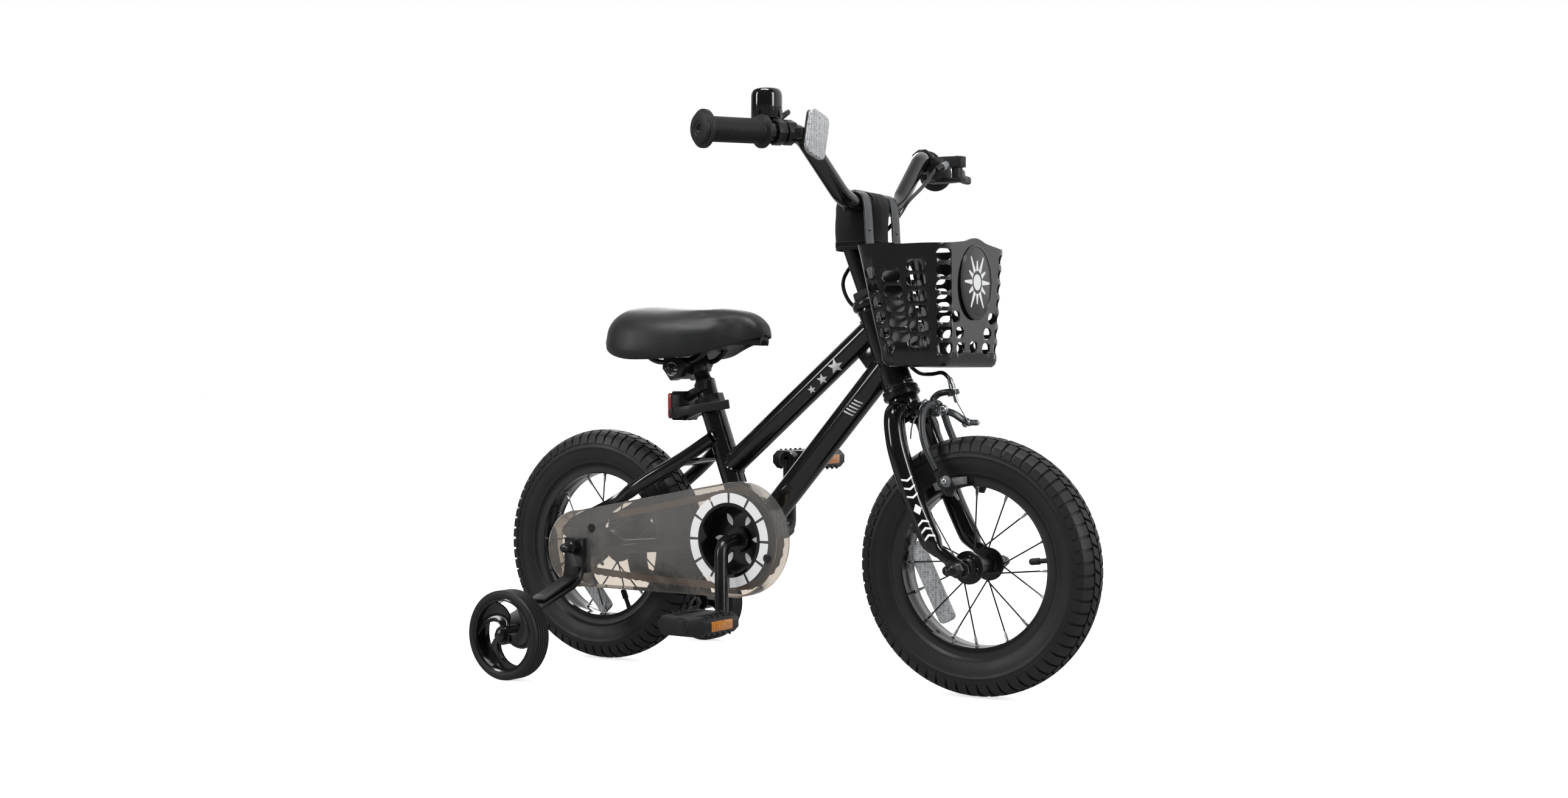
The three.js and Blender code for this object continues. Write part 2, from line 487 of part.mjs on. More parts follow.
const handlebar = () => tube(barStations(), BAR.radius, BAR.sides);

function grip(side) {
  const length = at(GRIP.to).distanceTo(at(GRIP.from));
  const capFrom = length - GRIP.capDepth;
  const flangeFrom = capFrom - GRIP.outerDepth;
  const bore = barBore(GRIP.sides);
  const profile = [[bore, 0], [GRIP.innerFlange, 0], [GRIP.innerFlange, GRIP.innerDepth],
    [GRIP.body, 2 * GRIP.innerDepth], [GRIP.body, flangeFrom - GRIP.outerDepth], [GRIP.outerFlange, flangeFrom],
    [GRIP.outerFlange, capFrom], [GRIP.cap, capFrom], [GRIP.cap, length - GRIP.wall / 2], [GRIP.body, length],
    [0, length], [0, length - GRIP.wall], [bore, length - GRIP.wall], [bore, 0]];
  return turned(profile, GRIP.sides, at(GRIP.from, side), barDirection(side));
}

// The soft pad: rounded rings from hem to crown, hollowed for the stem and bar.
function barPad() {
  const middle = (PAD.back + PAD.front) / 2;
  const reach = (PAD.front - PAD.back) / 2;
  const levels = [[0, 0.9, 0.9], [0.06, 0.96, 0.97], [0.35, 1, 1], [0.7, 1, 0.98], [0.9, 0.84, 0.86], [1, 0.55, 0.62]];
  const rings = levels.map(([heightShare, lengthShare, widthShare]) => ringPoints(1, PAD.sides, 0.5).map(([c, s]) => {
    const u = Math.sign(c) * Math.sqrt(Math.abs(c)) * reach * lengthShare;
    const v = Math.sign(s) * Math.sqrt(Math.abs(s)) * PAD.half * widthShare;
    return V(middle + u, v, PAD.low + heightShare * (PAD.high - PAD.low));
  }));
  const centre = at(BAR.centre);
  return cut(
    loft(rings),
    rod(headAt(STEM.from), headAt(STEM.to + SEAT), STEM.radius + SEAT, STEM.sides),
    rod(headAt(STEM.to - STEM.extension - SEAT), centre, STEM.extension + SEAT, STEM.sides),
    rodY(centre.x, centre.z, -STEM.clampHalf - SEAT, STEM.clampHalf + SEAT, STEM.clamp + SEAT, STEM.sides),
    rodY(centre.x, centre.z, -PAD.half - OVER, PAD.half + OVER, barBore(BAR.sides), BAR.sides),
  );
}

function basketRing(level, share, shrink, lift = 0) {
  const blend = (a, b) => a + (b - a) * share;
  const [back, front] = [blend(BASKET.foot.back, BASKET.rim.back) + shrink, blend(BASKET.foot.front, BASKET.rim.front) - shrink];
  const half = blend(BASKET.foot.half, BASKET.rim.half) - shrink;
  const corner = blend(BASKET.foot.corner, BASKET.rim.corner) - shrink;
  const points = [];
  const corners = [[front - corner, half - corner, 0], [back + corner, half - corner, 1],
    [back + corner, corner - half, 2], [front - corner, corner - half, 3]];
  for (const [cx, cy, quarter] of corners) {
    for (let k = 0; k <= BASKET.cornerSteps; k += 1) {
      const angle = TURN / 4 * (quarter + k / BASKET.cornerSteps);
      points.push([cx + corner * Math.cos(angle), cy + corner * Math.sin(angle)]);
    }
  }
  return points.map(([x, y]) => {
    const tilt = BASKET.rise * (2 * (x - BASKET.rim.back) / (BASKET.rim.front - BASKET.rim.back) - 1);
    return V(x, y, level + lift + tilt);
  });
}

function basket() {
  const { foot, rim, wall, plate, bump } = BASKET;
  const top = rim.z + BASKET.rise + OVER;
  const high = (top - foot.z) / (rim.z - foot.z);
  const outer = loft([basketRing(foot.z, 0.03, wall), basketRing(foot.z + wall, 0, 0), basketRing(rim.z, 1, 0)]);
  const inner = loft([basketRing(foot.z, 0.03, wall, BASKET.floor), basketRing(top, high, wall)]);
  const arch = ringPoints(1, 2 * bump.steps).slice(0, bump.steps + 1);
  const bumpOutline = arch.map(([c, s]) => [bump.half * c, rim.z + BASKET.rise - OVER + (bump.high + OVER) * s]);
  const badge = ringPoints(1, plate.sides, 0.5).map(([c, s]) => [plate.y * c, plate.centre + plate.z * s]);
  const shell = join(
    cut(outer, inner),
    slabX(bumpOutline, rim.front - wall, rim.front),
    slabX(badge, rim.front - wall, rim.front + plate.thick),
  );
  const windows = [];
  for (const { width, at: places } of SIDE_WINDOWS) {
    const hole = pointed(width, WINDOW_HEIGHT);
    places.forEach((place) => windows.push(slabY(moved(hole, place), -rim.half - OVER, rim.half + OVER)));
  }
  const corner = plain(CORNER_WINDOWS.width, WINDOW_HEIGHT);
  for (const side of [-1, 1]) {
    const bearing = THREE.MathUtils.degToRad(CORNER_WINDOWS.bearing) * side;
    for (const z of CORNER_WINDOWS.rows) {
      const geometry = new THREE.ExtrudeGeometry(shapeOf(corner), { depth: rim.corner + foot.corner, bevelEnabled: false });
      const out = V(Math.cos(bearing), Math.sin(bearing), 0);
      const across = V(-out.y, out.x, 0);
      geometry.applyMatrix4(new THREE.Matrix4().makeBasis(across, V(0, 0, 1), out)
        .setPosition(CORNER_WINDOWS.axis[0], CORNER_WINDOWS.axis[1] * side, z));
      windows.push(solid(geometry));
    }
  }
  const frontHole = plain(FRONT_WINDOWS.width, WINDOW_HEIGHT);
  for (const [y, z] of FRONT_WINDOWS.at) {
    for (const side of y > 0 ? [-1, 1] : [1]) {
      windows.push(slabX(moved(frontHole, [y * side, z]), rim.front - foot.corner, rim.front + OVER));
    }
  }
  const backHole = plain(BACK_WINDOWS.width, WINDOW_HEIGHT);
  for (const y of BACK_WINDOWS.columns) {
    for (const z of BACK_WINDOWS.rows) {
      windows.push(slabX(moved(backHole, [y, z]), rim.back - OVER, foot.back + foot.corner / 2));
    }
  }
  const slot = plain(FLOOR_SLOTS.to - FLOOR_SLOTS.from, FLOOR_SLOTS.width);
  for (const y of FLOOR_SLOTS.at) {
    windows.push(slabZ(moved(slot, [(FLOOR_SLOTS.from + FLOOR_SLOTS.to) / 2, y]), foot.z - 2 * OVER, foot.z + foot.corner / 2));
  }
  return cut(shell, windows);
}

function basketBracket(side) {
  return sideSlab(stripOutline(BRACKET.hook.concat(BRACKET.strip), BRACKET.thick), BRACKET.inner, BRACKET.outer, side);
}

function bell() {
  const foot = barAt(BELL.y);
  const cupAt = at(BELL.cup);
  const up = cupAt.clone().sub(foot).normalize();
  const plateAt = cupAt.clone().addScaledVector(up, -BELL.cupDepth / 2);
  const base = join(
    ring(BELL.ring, barBore(BELL.ringSides), -BELL.ringHalf, BELL.ringHalf, BELL.ringSides, foot, barDirection(BELL.y)),
    rod(foot.clone().addScaledVector(up, BELL.ring - OVER), plateAt, BELL.stalk, BELL.stalkSides),
    turned([[0, -BELL.plateThick], [BELL.plate, -BELL.plateThick], [BELL.plate, 0], [0, 0]], BELL.ringSides, plateAt, up),
  );
  const { cupRadius, cupDepth, wall } = BELL;
  const cup = turned([[cupRadius, SEAT], [cupRadius, cupDepth * 0.74], [cupRadius * 0.86, cupDepth * 0.95],
    [0, cupDepth], [0, cupDepth - wall], [cupRadius * 0.8, cupDepth * 0.95 - wall],
    [cupRadius - wall, cupDepth * 0.74], [cupRadius - wall, SEAT], [cupRadius, SEAT]], BELL.sides, plateAt, up);
  const striker = tube(BELL.striker.map((p) => at(p)), BELL.strikerRadius, 6);
  return { base, cup, striker };
}

function frontReflector() {
  const { x, centre, width, height, thick, lean, corner } = FRONT_REFLECTOR;
  const angle = THREE.MathUtils.degToRad(-lean);
  const [c, s] = [Math.cos(angle), Math.sin(angle)];
  const outline = chamfered(width, height, corner / 2).map(([u, v]) => [centre[0] + u * c - v * s, centre[1] + u * s + v * c]);
  return slabX(outline, x, x + thick);
}

// A clamp ring on the bar with a flat strap behind the reflector.
function reflectorBracket() {
  const r = REFLECTOR_ARM;
  const centre = barAt(r.y);
  const [, z] = FRONT_REFLECTOR.centre;
  const face = FRONT_REFLECTOR.x - SEAT;
  const strapOutline = [[r.y - r.neckHalf, z - r.strapHalf], [r.strapTo, z - r.strapHalf], [r.strapTo, z + r.strapHalf],
    [r.y - r.neckHalf, z + r.strapHalf]];
  const neckOutline = moved(plain(2 * r.neckHalf, 2 * r.strapHalf), [r.y, z]);
  return cut(
    join(
      rod(
        centre.clone().addScaledVector(barDirection(r.y), -r.ringHalf),
        centre.clone().addScaledVector(barDirection(r.y), r.ringHalf), r.ring, BELL.ringSides,
      ),
      slabX(neckOutline, centre.x, face),
      slabX(strapOutline, face - r.strap, face),
    ),
    rod(
      centre.clone().addScaledVector(barDirection(r.y), -2 * r.ring),
      centre.clone().addScaledVector(barDirection(r.y), 2 * r.ring), barBore(BELL.ringSides), BELL.ringSides,
    ),
  );
}

function leverMount() {
  const centre = barAt(LEVER_MOUNT.y);
  const direction = barDirection(LEVER_MOUNT.y);
  const [from, to] = LEVER_MOUNT.adjuster.map((p) => at(p));
  return cut(
    join(
      rod(centre.clone().addScaledVector(direction, -LEVER_MOUNT.ringHalf), centre.clone()
        .addScaledVector(direction, LEVER_MOUNT.ringHalf), LEVER_MOUNT.ring, STEM.sides),
      slabZ(LEVER_MOUNT.arm, ...LEVER_MOUNT.high),
      slabZ(LEVER_MOUNT.arm, ...LEVER_MOUNT.low),
      slabZ(LEVER_MOUNT.web, LEVER_MOUNT.low[0], LEVER_MOUNT.high[1]),
      rod(V(...LEVER_MOUNT.pin, LEVER_MOUNT.low[0]), V(...LEVER_MOUNT.pin, LEVER_MOUNT.high[1]), LEVER_MOUNT.pinRadius, 8),
      rod(from, to, LEVER_MOUNT.adjusterRadius, 8),
    ),
    rod(centre.clone().addScaledVector(direction, -3 * LEVER_MOUNT.ring), centre.clone()
      .addScaledVector(direction, 3 * LEVER_MOUNT.ring), barBore(STEM.sides), STEM.sides),
  );
}

function lever() {
  const [x, y] = LEVER_MOUNT.pin;
  const blade = slabZ(stripOutline(LEVER.path, LEVER.thick), LEVER.low, LEVER.high);
  const boss = slabZ(moved(ringPoints(LEVER.boss, 10), [x, y]), LEVER.low, LEVER.high);
  const hole = slabZ(moved(ringPoints(LEVER_MOUNT.pinRadius + RUN, 8), [x, y]), LEVER.low - OVER, LEVER.high + OVER);
  return cut(join(blade, boss), hole);
}

function caliperArm(side) {
  const part = side < 0 ? CALIPER.right : CALIPER.left;
  const [y, z] = CALIPER.pivot;
  const pieces = [
    rodX(y, z, part.from, part.to, part.boss, PIN_SIDES),
    tube(part.arm.map((p) => at(p)), CALIPER.armRadius, CALIPER.sides),
    sideSlab(PAD_PLATE.outline, PAD_PLATE.inner, PAD_PLATE.outer, side),
  ];
  const tools = [
    rodX(y, z, part.from - OVER, part.to + OVER, facet(CALIPER.boltRadius + RUN, PIN_SIDES), PIN_SIDES),
    sideSlab(PAD_PLATE.slot, PAD_PLATE.inner - OVER, PAD_PLATE.outer + OVER, side),
  ];
  if (side < 0) {
    pieces.push(tube(part.reach.map((p) => at(p)), CALIPER.armRadius, CALIPER.sides));
    pieces.push(rodX(...ANCHOR.at, ANCHOR.from, ANCHOR.to, ANCHOR.radius, 6));
    tools.push(rodX(y, z, part.to, CALIPER.nutTo + OVER, facet(CALIPER.nutRadius + RUN, PIN_SIDES), PIN_SIDES));
  } else {
    const [from, to] = STOP.ring.map((p) => at(p));
    const [start, end] = CABLE.barrel.map((p) => at(p));
    pieces.push(tube(part.post.map((p) => at(p)), CALIPER.armRadius - RUN, CALIPER.sides));
    pieces.push(rod(from, to, STOP.ringRadius, 10));
    tools.push(rod(start, end, STOP.hole, 8));
  }
  return cut(join(pieces), tools);
}

function caliperBolt() {
  const [y, z] = CALIPER.pivot;
  return join(
    rodX(y, z, CALIPER.boltFrom, CALIPER.boltTo, CALIPER.boltRadius, 8),
    rodX(y, z, CROWN_BLOCK.to + SEAT, SPRING.x - SPRING.radius - SEAT, CALIPER.nutRadius, 8),
    rodX(y, z, CALIPER.nutFrom, CALIPER.nutTo, CALIPER.nutRadius, 6),
  );
}

// A brake shoe curved along the rim, with its bolt and nut.
function brakeShoe(side) {
  const outline = [];
  for (const [reach, order] of [[PAD_SHOE.arc[1], 1], [PAD_SHOE.arc[0], -1]]) {
    const row = [];
    for (let k = 0; k <= PAD_SHOE.steps; k += 1) {
      const angle = PAD_SHOE.from + (PAD_SHOE.to - PAD_SHOE.from) * k / PAD_SHOE.steps;
      row.push([AXLE.front + reach * Math.cos(angle), AXLE.height + reach * Math.sin(angle)]);
    }
    outline.push(...(order > 0 ? row : row.reverse()));
  }
  const [x, z] = PAD_SHOE.bolt;
  return join(
    sideSlab(outline, PAD_SHOE.inner, PAD_SHOE.outer, side),
    rodY(x, z, side * (PAD_SHOE.outer - OVER), side * PAD_SHOE.boltTo, PAD_SHOE.boltRadius, 6),
    rodY(x, z, side * PAD_SHOE.nutFrom, side * (PAD_SHOE.nutFrom + CALIPER.armRadius), PAD_SHOE.nut, 6),
  );
}

function caliperSpring() {
  return tube(smooth(SPRING.points.map(([y, z]) => V(SPRING.x, y, z)), SPRING.steps), SPRING.radius, 5);
}

function cable() {
  const housing = smooth(CABLE.housing.map((p) => at(p)), CABLE.steps);
  const [from, to] = CABLE.barrel.map((p) => at(p));
  return join(
    tube(housing, CABLE.radius, CABLE.sides),
    rod(from, to, CABLE.ferrule, CABLE.sides),
    rod(to.clone().lerp(from, 0.1), at(CABLE.end), CABLE.wire, 6),
  );
}

function tyre(x) {
  const profile = TYRE.outer.concat(TYRE.inner, [TYRE.outer[0]]).map(([r, h]) => [facet(r, WHEEL_SIDES), h]);
  return turned(profile, WHEEL_SIDES, V(x, 0, AXLE.height));
}

function rim(x) {
  const profile = RIM.concat([RIM[0]]).map(([r, h]) => [facet(r, WHEEL_SIDES), h]);
  return turned(profile, WHEEL_SIDES, V(x, 0, AXLE.height));
}

// Spokes leave each flange alternately leading and trailing, and end just inside the rim.
function spokes(x, hub) {
  const bars = [];
  const end = RIM[1][0] - SPOKE.endGap;
  for (const side of [-1, 1]) {
    for (let k = 0; k < SPOKE.perFlange; k += 1) {
      const reach = TURN * (k + (side > 0 ? 0.5 : 0)) / SPOKE.perFlange;
      const foot = reach + (k % 2 ? SPOKE.lean : -SPOKE.lean);
      bars.push(rod(
        V(x + hub.spokeFoot * Math.cos(foot), side * hub.footSide, AXLE.height + hub.spokeFoot * Math.sin(foot)),
        V(x + end * Math.cos(reach), side * SPOKE.reachSide, AXLE.height + end * Math.sin(reach)),
        SPOKE.radius, SPOKE.sides,
      ));
    }
  }
  return bars;
}

function frontHub() {
  const h = FRONT_HUB;
  const half = [[h.bore, -h.end], [h.barrel, -h.end], [h.barrel, -h.flangeOut], [h.flange, -h.flangeOut],
    [h.flange, -h.flangeIn], [h.barrel, -h.flangeIn]];
  const mirrored = half.map(([r, y]) => [r, -y]).reverse();
  const shell = turned(half.concat(mirrored, [half[0]]), HUB_SIDES, V(AXLE.front, 0, AXLE.height));
  return join(shell, spokes(AXLE.front, h));
}

function rearHub() {
  const h = REAR_HUB;
  const profile = [[h.bore, -h.end], [h.driver, -h.end], [h.driver, -h.driverIn], [h.barrel, -h.driverIn],
    [h.barrel, -h.flangeOut], [h.flange, -h.flangeOut], [h.flange, -h.flangeIn], [h.barrel, -h.flangeIn],
    [h.barrel, h.flangeIn], [h.flange, h.flangeIn], [h.flange, h.flangeOut], [h.barrel, h.flangeOut],
    [h.barrel, h.end], [h.bore, h.end], [h.bore, -h.end]];
  return join(turned(profile, HUB_SIDES, V(AXLE.rear, 0, AXLE.height)), spokes(AXLE.rear, h));
}

function frontAxle() {
  const a = FRONT_AXLE;
  const profile = [[0, -a.tip], [a.cap, -a.tip + CAP_DOME], [a.cap, -a.nutOut], [a.nut, -a.nutOut],
    [a.nut, -a.nutIn], [a.radius, -a.nutIn]];
  const mirrored = profile.map(([r, y]) => [r, -y]).reverse();
  return turned(profile.concat(mirrored), PIN_SIDES, V(AXLE.front, 0, AXLE.height));
}

function rearAxle() {
  const a = REAR_AXLE;
  const profile = [[0, -a.tip], [a.cap, -a.tip + CAP_DOME], [a.cap, -a.outerNutOut],
    [a.nut, -a.outerNutOut], [a.nut, -a.outerNutIn], [a.radius, -a.outerNutIn], [a.radius, -a.innerNutOut],
    [a.nut, -a.innerNutOut], [a.nut, -a.innerNutIn], [a.radius, -a.innerNutIn]];
  const mirrored = profile.map(([r, y]) => [r, -y]).reverse();
  return turned(profile.concat(mirrored), PIN_SIDES, V(AXLE.rear, 0, AXLE.height));
}

// A prism reflector held between the spokes of a wheel.
function wheelReflector(x, [u, v], turn, half) {
  const [c, s] = [Math.cos(turn), Math.sin(turn)];
  const outline = chamfered(REFLECTOR.width, REFLECTOR.length, REFLECTOR.corner);
  const turnedOutline = outline.map(([a, b]) => [x + u + a * c - b * s, AXLE.height + v + a * s + b * c]);
  return slabY(turnedOutline, -half, half);
}

// Teeth drawn as short trapezoids on the pitch circle.
function gearOutline(teeth, centre) {
  const pitchRadius = PITCH / 2 / Math.sin(Math.PI / teeth);
  const points = [];
  for (let k = 0; k < teeth; k += 1) {
    const middle = TURN * (k + 0.5) / teeth;
    const step = TURN / teeth;
    for (const [share, reach] of [[-TOOTH.rootShare, -TOOTH.root], [-TOOTH.tipShare, TOOTH.tip],
      [TOOTH.tipShare, TOOTH.tip], [TOOTH.rootShare, -TOOTH.root]]) {
      const angle = middle + step * share;
      points.push([centre[0] + (pitchRadius + reach) * Math.cos(angle), centre[1] + (pitchRadius + reach) * Math.sin(angle)]);
    }
  }
  return points;
}

// The chain line: pins on the ring, the upper run, the sprocket and the lower run.
function chainPins() {
  const [fx, , fz] = MAIN.shell;
  const front = V(fx, 0, fz);
  const rear = V(AXLE.rear, 0, AXLE.height);
  const ringRadius = PITCH / 2 / Math.sin(Math.PI / RING_TEETH);
  const sprocketRadius = PITCH / 2 / Math.sin(Math.PI / SPROCKET_TEETH);
  const along = front.clone().sub(rear);
  const distance = along.length();
  const base = Math.atan2(along.z, along.x);
  const slope = Math.asin((ringRadius - sprocketRadius) / distance);
  const run = distance * Math.cos(slope);
  const ringSweep = Math.PI + 2 * slope;
  const sprocketSweep = Math.PI - 2 * slope;
  const lengths = [run, ringSweep * ringRadius, run, sprocketSweep * sprocketRadius];
  const total = lengths.reduce((sum, value) => sum + value);
  const spacing = total / LINKS;
  const onCircle = (centre, radius, angle) => V(centre.x + radius * Math.cos(angle), CHAIN.y, centre.z + radius * Math.sin(angle));
  const topAngle = base + Math.PI / 2 + slope;
  const lowAngle = base - Math.PI / 2 - slope;
  const hang = (start, end, share, sag) => start.lerp(end, share).add(V(0, 0, -4 * sag * share * (1 - share)));
  return Array.from({ length: LINKS }, (_, k) => {
    let left = k * spacing;
    if (left < lengths[0]) {
      const start = onCircle(rear, sprocketRadius, topAngle);
      return hang(start, onCircle(front, ringRadius, topAngle), left / lengths[0], CHAIN.topSag);
    }
    left -= lengths[0];
    if (left < lengths[1]) {
      return onCircle(front, ringRadius, topAngle - left / ringRadius);
    }
    left -= lengths[1];
    if (left < lengths[2]) {
      const start = onCircle(front, ringRadius, lowAngle);
      return hang(start, onCircle(rear, sprocketRadius, lowAngle), left / lengths[2], CHAIN.lowSag);
    }
    left -= lengths[2];
    return onCircle(rear, sprocketRadius, lowAngle - left / sprocketRadius);
  });
}

function chain() {
  const pins = chainPins();
  const count = pins.length;
  const outside = [];
  const inside = [];
  pins.forEach((pin, k) => {
    const before = pins[(k + count - 1) % count];
    const after = pins[(k + 1) % count];
    const along = after.clone().sub(before).normalize();
    const out = V(-along.z, 0, along.x);
    const middle = pin.clone().lerp(after, 0.5);
    const chord = after.clone().sub(pin).normalize();
    const outMiddle = V(-chord.z, 0, chord.x);
    outside.push([pin.x + out.x * CHAIN.bulge, pin.z + out.z * CHAIN.bulge]);
    outside.push([middle.x + outMiddle.x * CHAIN.waist, middle.z + outMiddle.z * CHAIN.waist]);
    inside.push([pin.x - out.x * CHAIN.bulge, pin.z - out.z * CHAIN.bulge]);
  });
  const band = shapeOf(outside);
  band.holes.push(new THREE.Path(inside.reverse().map(([u, v]) => new THREE.Vector2(u, v))));
  const plates = [-1, 1].map((side) => {
    const geometry = new THREE.ExtrudeGeometry(band, { depth: CHAIN.plate, bevelEnabled: false });
    const y = CHAIN.y + (side > 0 ? CHAIN.half : CHAIN.plate - CHAIN.half);
    const turn = new THREE.Matrix4().makeBasis(V(1, 0, 0), V(0, 0, 1), V(0, -1, 0)).setPosition(0, y, 0);
    return solid(geometry.applyMatrix4(turn));
  });
  const rollers = pins.map((pin) => rod(
    V(pin.x, CHAIN.y - CHAIN.half + CHAIN.plate / 2, pin.z),
    V(pin.x, CHAIN.y + CHAIN.half - CHAIN.plate / 2, pin.z), CHAIN.roller, CHAIN.pinSides,
  ));
  return join(plates, rollers);
}

function spinOutline(points, centre, angle) {
  const [c, s] = [Math.cos(angle), Math.sin(angle)];
  return points.map(([x, z]) => {
    const [u, v] = [x - centre[0], z - centre[1]];
    return [centre[0] + u * c - v * s, centre[1] + u * s + v * c];
  });
}

// Turns a gear so that its gaps meet the chain pins.
function meshAngle(teeth, centre) {
  const pitchRadius = PITCH / 2 / Math.sin(Math.PI / teeth);
  const near = chainPins().filter((pin) => Math.abs(Math.hypot(pin.x - centre[0], pin.z - centre[1]) - pitchRadius) < TOOTH.half);
  const pin = near[Math.floor(near.length / 2)];
  return Math.atan2(pin.z - centre[1], pin.x - centre[0]);
}

function chainring() {
  const centre = [MAIN.shell[0], MAIN.shell[2]];
  const outline = spinOutline(gearOutline(RING_TEETH, centre), centre, meshAngle(RING_TEETH, centre));
  const plate = slabY(outline, CHAIN.y - TOOTH.half, CHAIN.y + TOOTH.half);
  const { inner, outer, count, share } = RING.window;
  const holes = Array.from({ length: count }, (_, k) => {
    const angles = [-share / 2, 0, share / 2].map((part) => TURN * (k + part) / count + Math.PI / 2);
    const points = angles.map((a) => [centre[0] + outer * Math.cos(a), centre[1] + outer * Math.sin(a)]);
    const back = angles.reverse().map((a) => [centre[0] + inner * Math.cos(a), centre[1] + inner * Math.sin(a)]);
    return slabY(points.concat(back), CHAIN.y - OVER, CHAIN.y + OVER);
  });
  return cut(plate, holes, rodY(...centre, CHAIN.y - OVER, CHAIN.y + OVER, facet(RING.bore, CRANK.sides), CRANK.sides));
}

function sprocket() {
  const centre = [AXLE.rear, AXLE.height];
  const outline = spinOutline(gearOutline(SPROCKET_TEETH, centre), centre, meshAngle(SPROCKET_TEETH, centre));
  return cut(
    slabY(outline, CHAIN.y - TOOTH.half, CHAIN.y + TOOTH.half),
    rodY(...centre, CHAIN.y - OVER, CHAIN.y + OVER, facet(SPROCKET.bore, HUB_SIDES), HUB_SIDES),
  );
}

function crankPoint(reach, y) {
  const angle = THREE.MathUtils.degToRad(CRANK.turn);
  const [x, , z] = MAIN.shell;
  return V(x + reach * Math.sin(angle), y, z - reach * Math.cos(angle));
}

function crank() {
  const c = CRANK;
  const route = bent([crankPoint(c.length, -c.eye), crankPoint(0, -c.corner), crankPoint(0, c.corner),
    crankPoint(-c.length, c.eye)], [c.bend], c.steps);
  const [x, , z] = MAIN.shell;
  const pieces = [tube(route, c.rod, c.sides), rodY(x, z, -c.collarTo, -c.collarFrom, c.collar, RING.sides)];
  for (const side of [-1, 1]) {
    const eye = crankPoint(-side * c.length, 0);
    pieces.push(rodY(eye.x, eye.z, side * c.eyeFrom, side * c.eyeTo, c.eyeRadius, 10));
    pieces.push(rodY(eye.x, eye.z, side * c.eyeFrom, side * c.spindleTo, c.spindle, 8));
  }
  return join(pieces);
}

function pedal(side) {
  const p = PEDAL;
  const { x, z } = crankPoint(-side * CRANK.length, 0);
  const [near, far] = side > 0 ? [p.from, p.to] : [-p.to, -p.from];
  const outline = chamfered(2 * p.halfLength, 2 * p.halfHeight, p.chamfer);
  const body = join(slabY(moved(outline, [x, z]), near, far), rodY(x, z, near, far, p.boss, 10));
  const middle = (near + far) / 2;
  const windows = [-1, 1].map((end) => {
    const inner = x + end * p.window[0];
    const outer = x + end * (p.halfLength - p.web);
    const row = [[inner, middle - p.windowSide], [outer, middle - p.windowSide + p.chamfer],
      [outer, middle + p.windowSide - p.chamfer], [inner, middle + p.windowSide]];
    return slabZ(end > 0 ? row : row.reverse(), z - p.halfHeight - OVER, z + p.halfHeight + OVER);
  });
  const stop = side > 0 ? [near - OVER, p.endStop] : [-p.endStop, far + OVER];
  return cut(body, windows, rodY(x, z, ...stop, p.bore, 8));
}

// The outline round two circles: the ring end and the sprocket end of the chain case.
function caseOutline(grow) {
  const [fx, , fz] = MAIN.shell;
  const [rx, rz] = CASE.rearAt;
  const distance = Math.hypot(fx - rx, fz - rz);
  const base = Math.atan2(fz - rz, fx - rx);
  const slope = Math.asin((CASE.front - CASE.rear) / distance);
  const points = [];
  const half = Math.PI / 2 + slope;
  for (let k = 0; k <= CASE.frontSteps; k += 1) {
    const angle = base - half + 2 * half * k / CASE.frontSteps;
    points.push([fx + (CASE.front + grow) * Math.cos(angle), fz + (CASE.front + grow) * Math.sin(angle)]);
  }
  const rest = Math.PI - half;
  for (let k = 0; k <= CASE.rearSteps; k += 1) {
    const angle = base + half + 2 * rest * k / CASE.rearSteps;
    points.push([rx + (CASE.rear + grow) * Math.cos(angle), rz + (CASE.rear + grow) * Math.sin(angle)]);
  }
  return points;
}

function chainCase() {
  const [x, , z] = MAIN.shell;
  const shell = cut(
    slabY(caseOutline(0), -CASE.outer, -CASE.inner),
    slabY(caseOutline(-CASE.wall), -CASE.outer + CASE.wall, -CASE.inner + OVER),
  );
  const lip = rodY(x, z, -CASE.outer, -CASE.lip, CASE.opening + CASE.lipWall, CASE.sides);
  const screw = rodY(...CASE.screw, -CASE.outer + CASE.wall / 2, -DROPOUT.outer - SEAT, CASE.screwRadius, 8);
  return cut(
    join(shell, lip, screw),
    rodY(x, z, -CASE.outer - OVER, -CASE.inner, CASE.opening, CASE.sides),
    slabY(CASE.axleCut, -CASE.outer - OVER, -CASE.outer + CASE.wall + OVER),
    stay(SEAT_STAY, -1, CASE.stayRoom),
    slabY(CASE.notch, -CASE.notchFrom, -CASE.inner + OVER),
  );
}

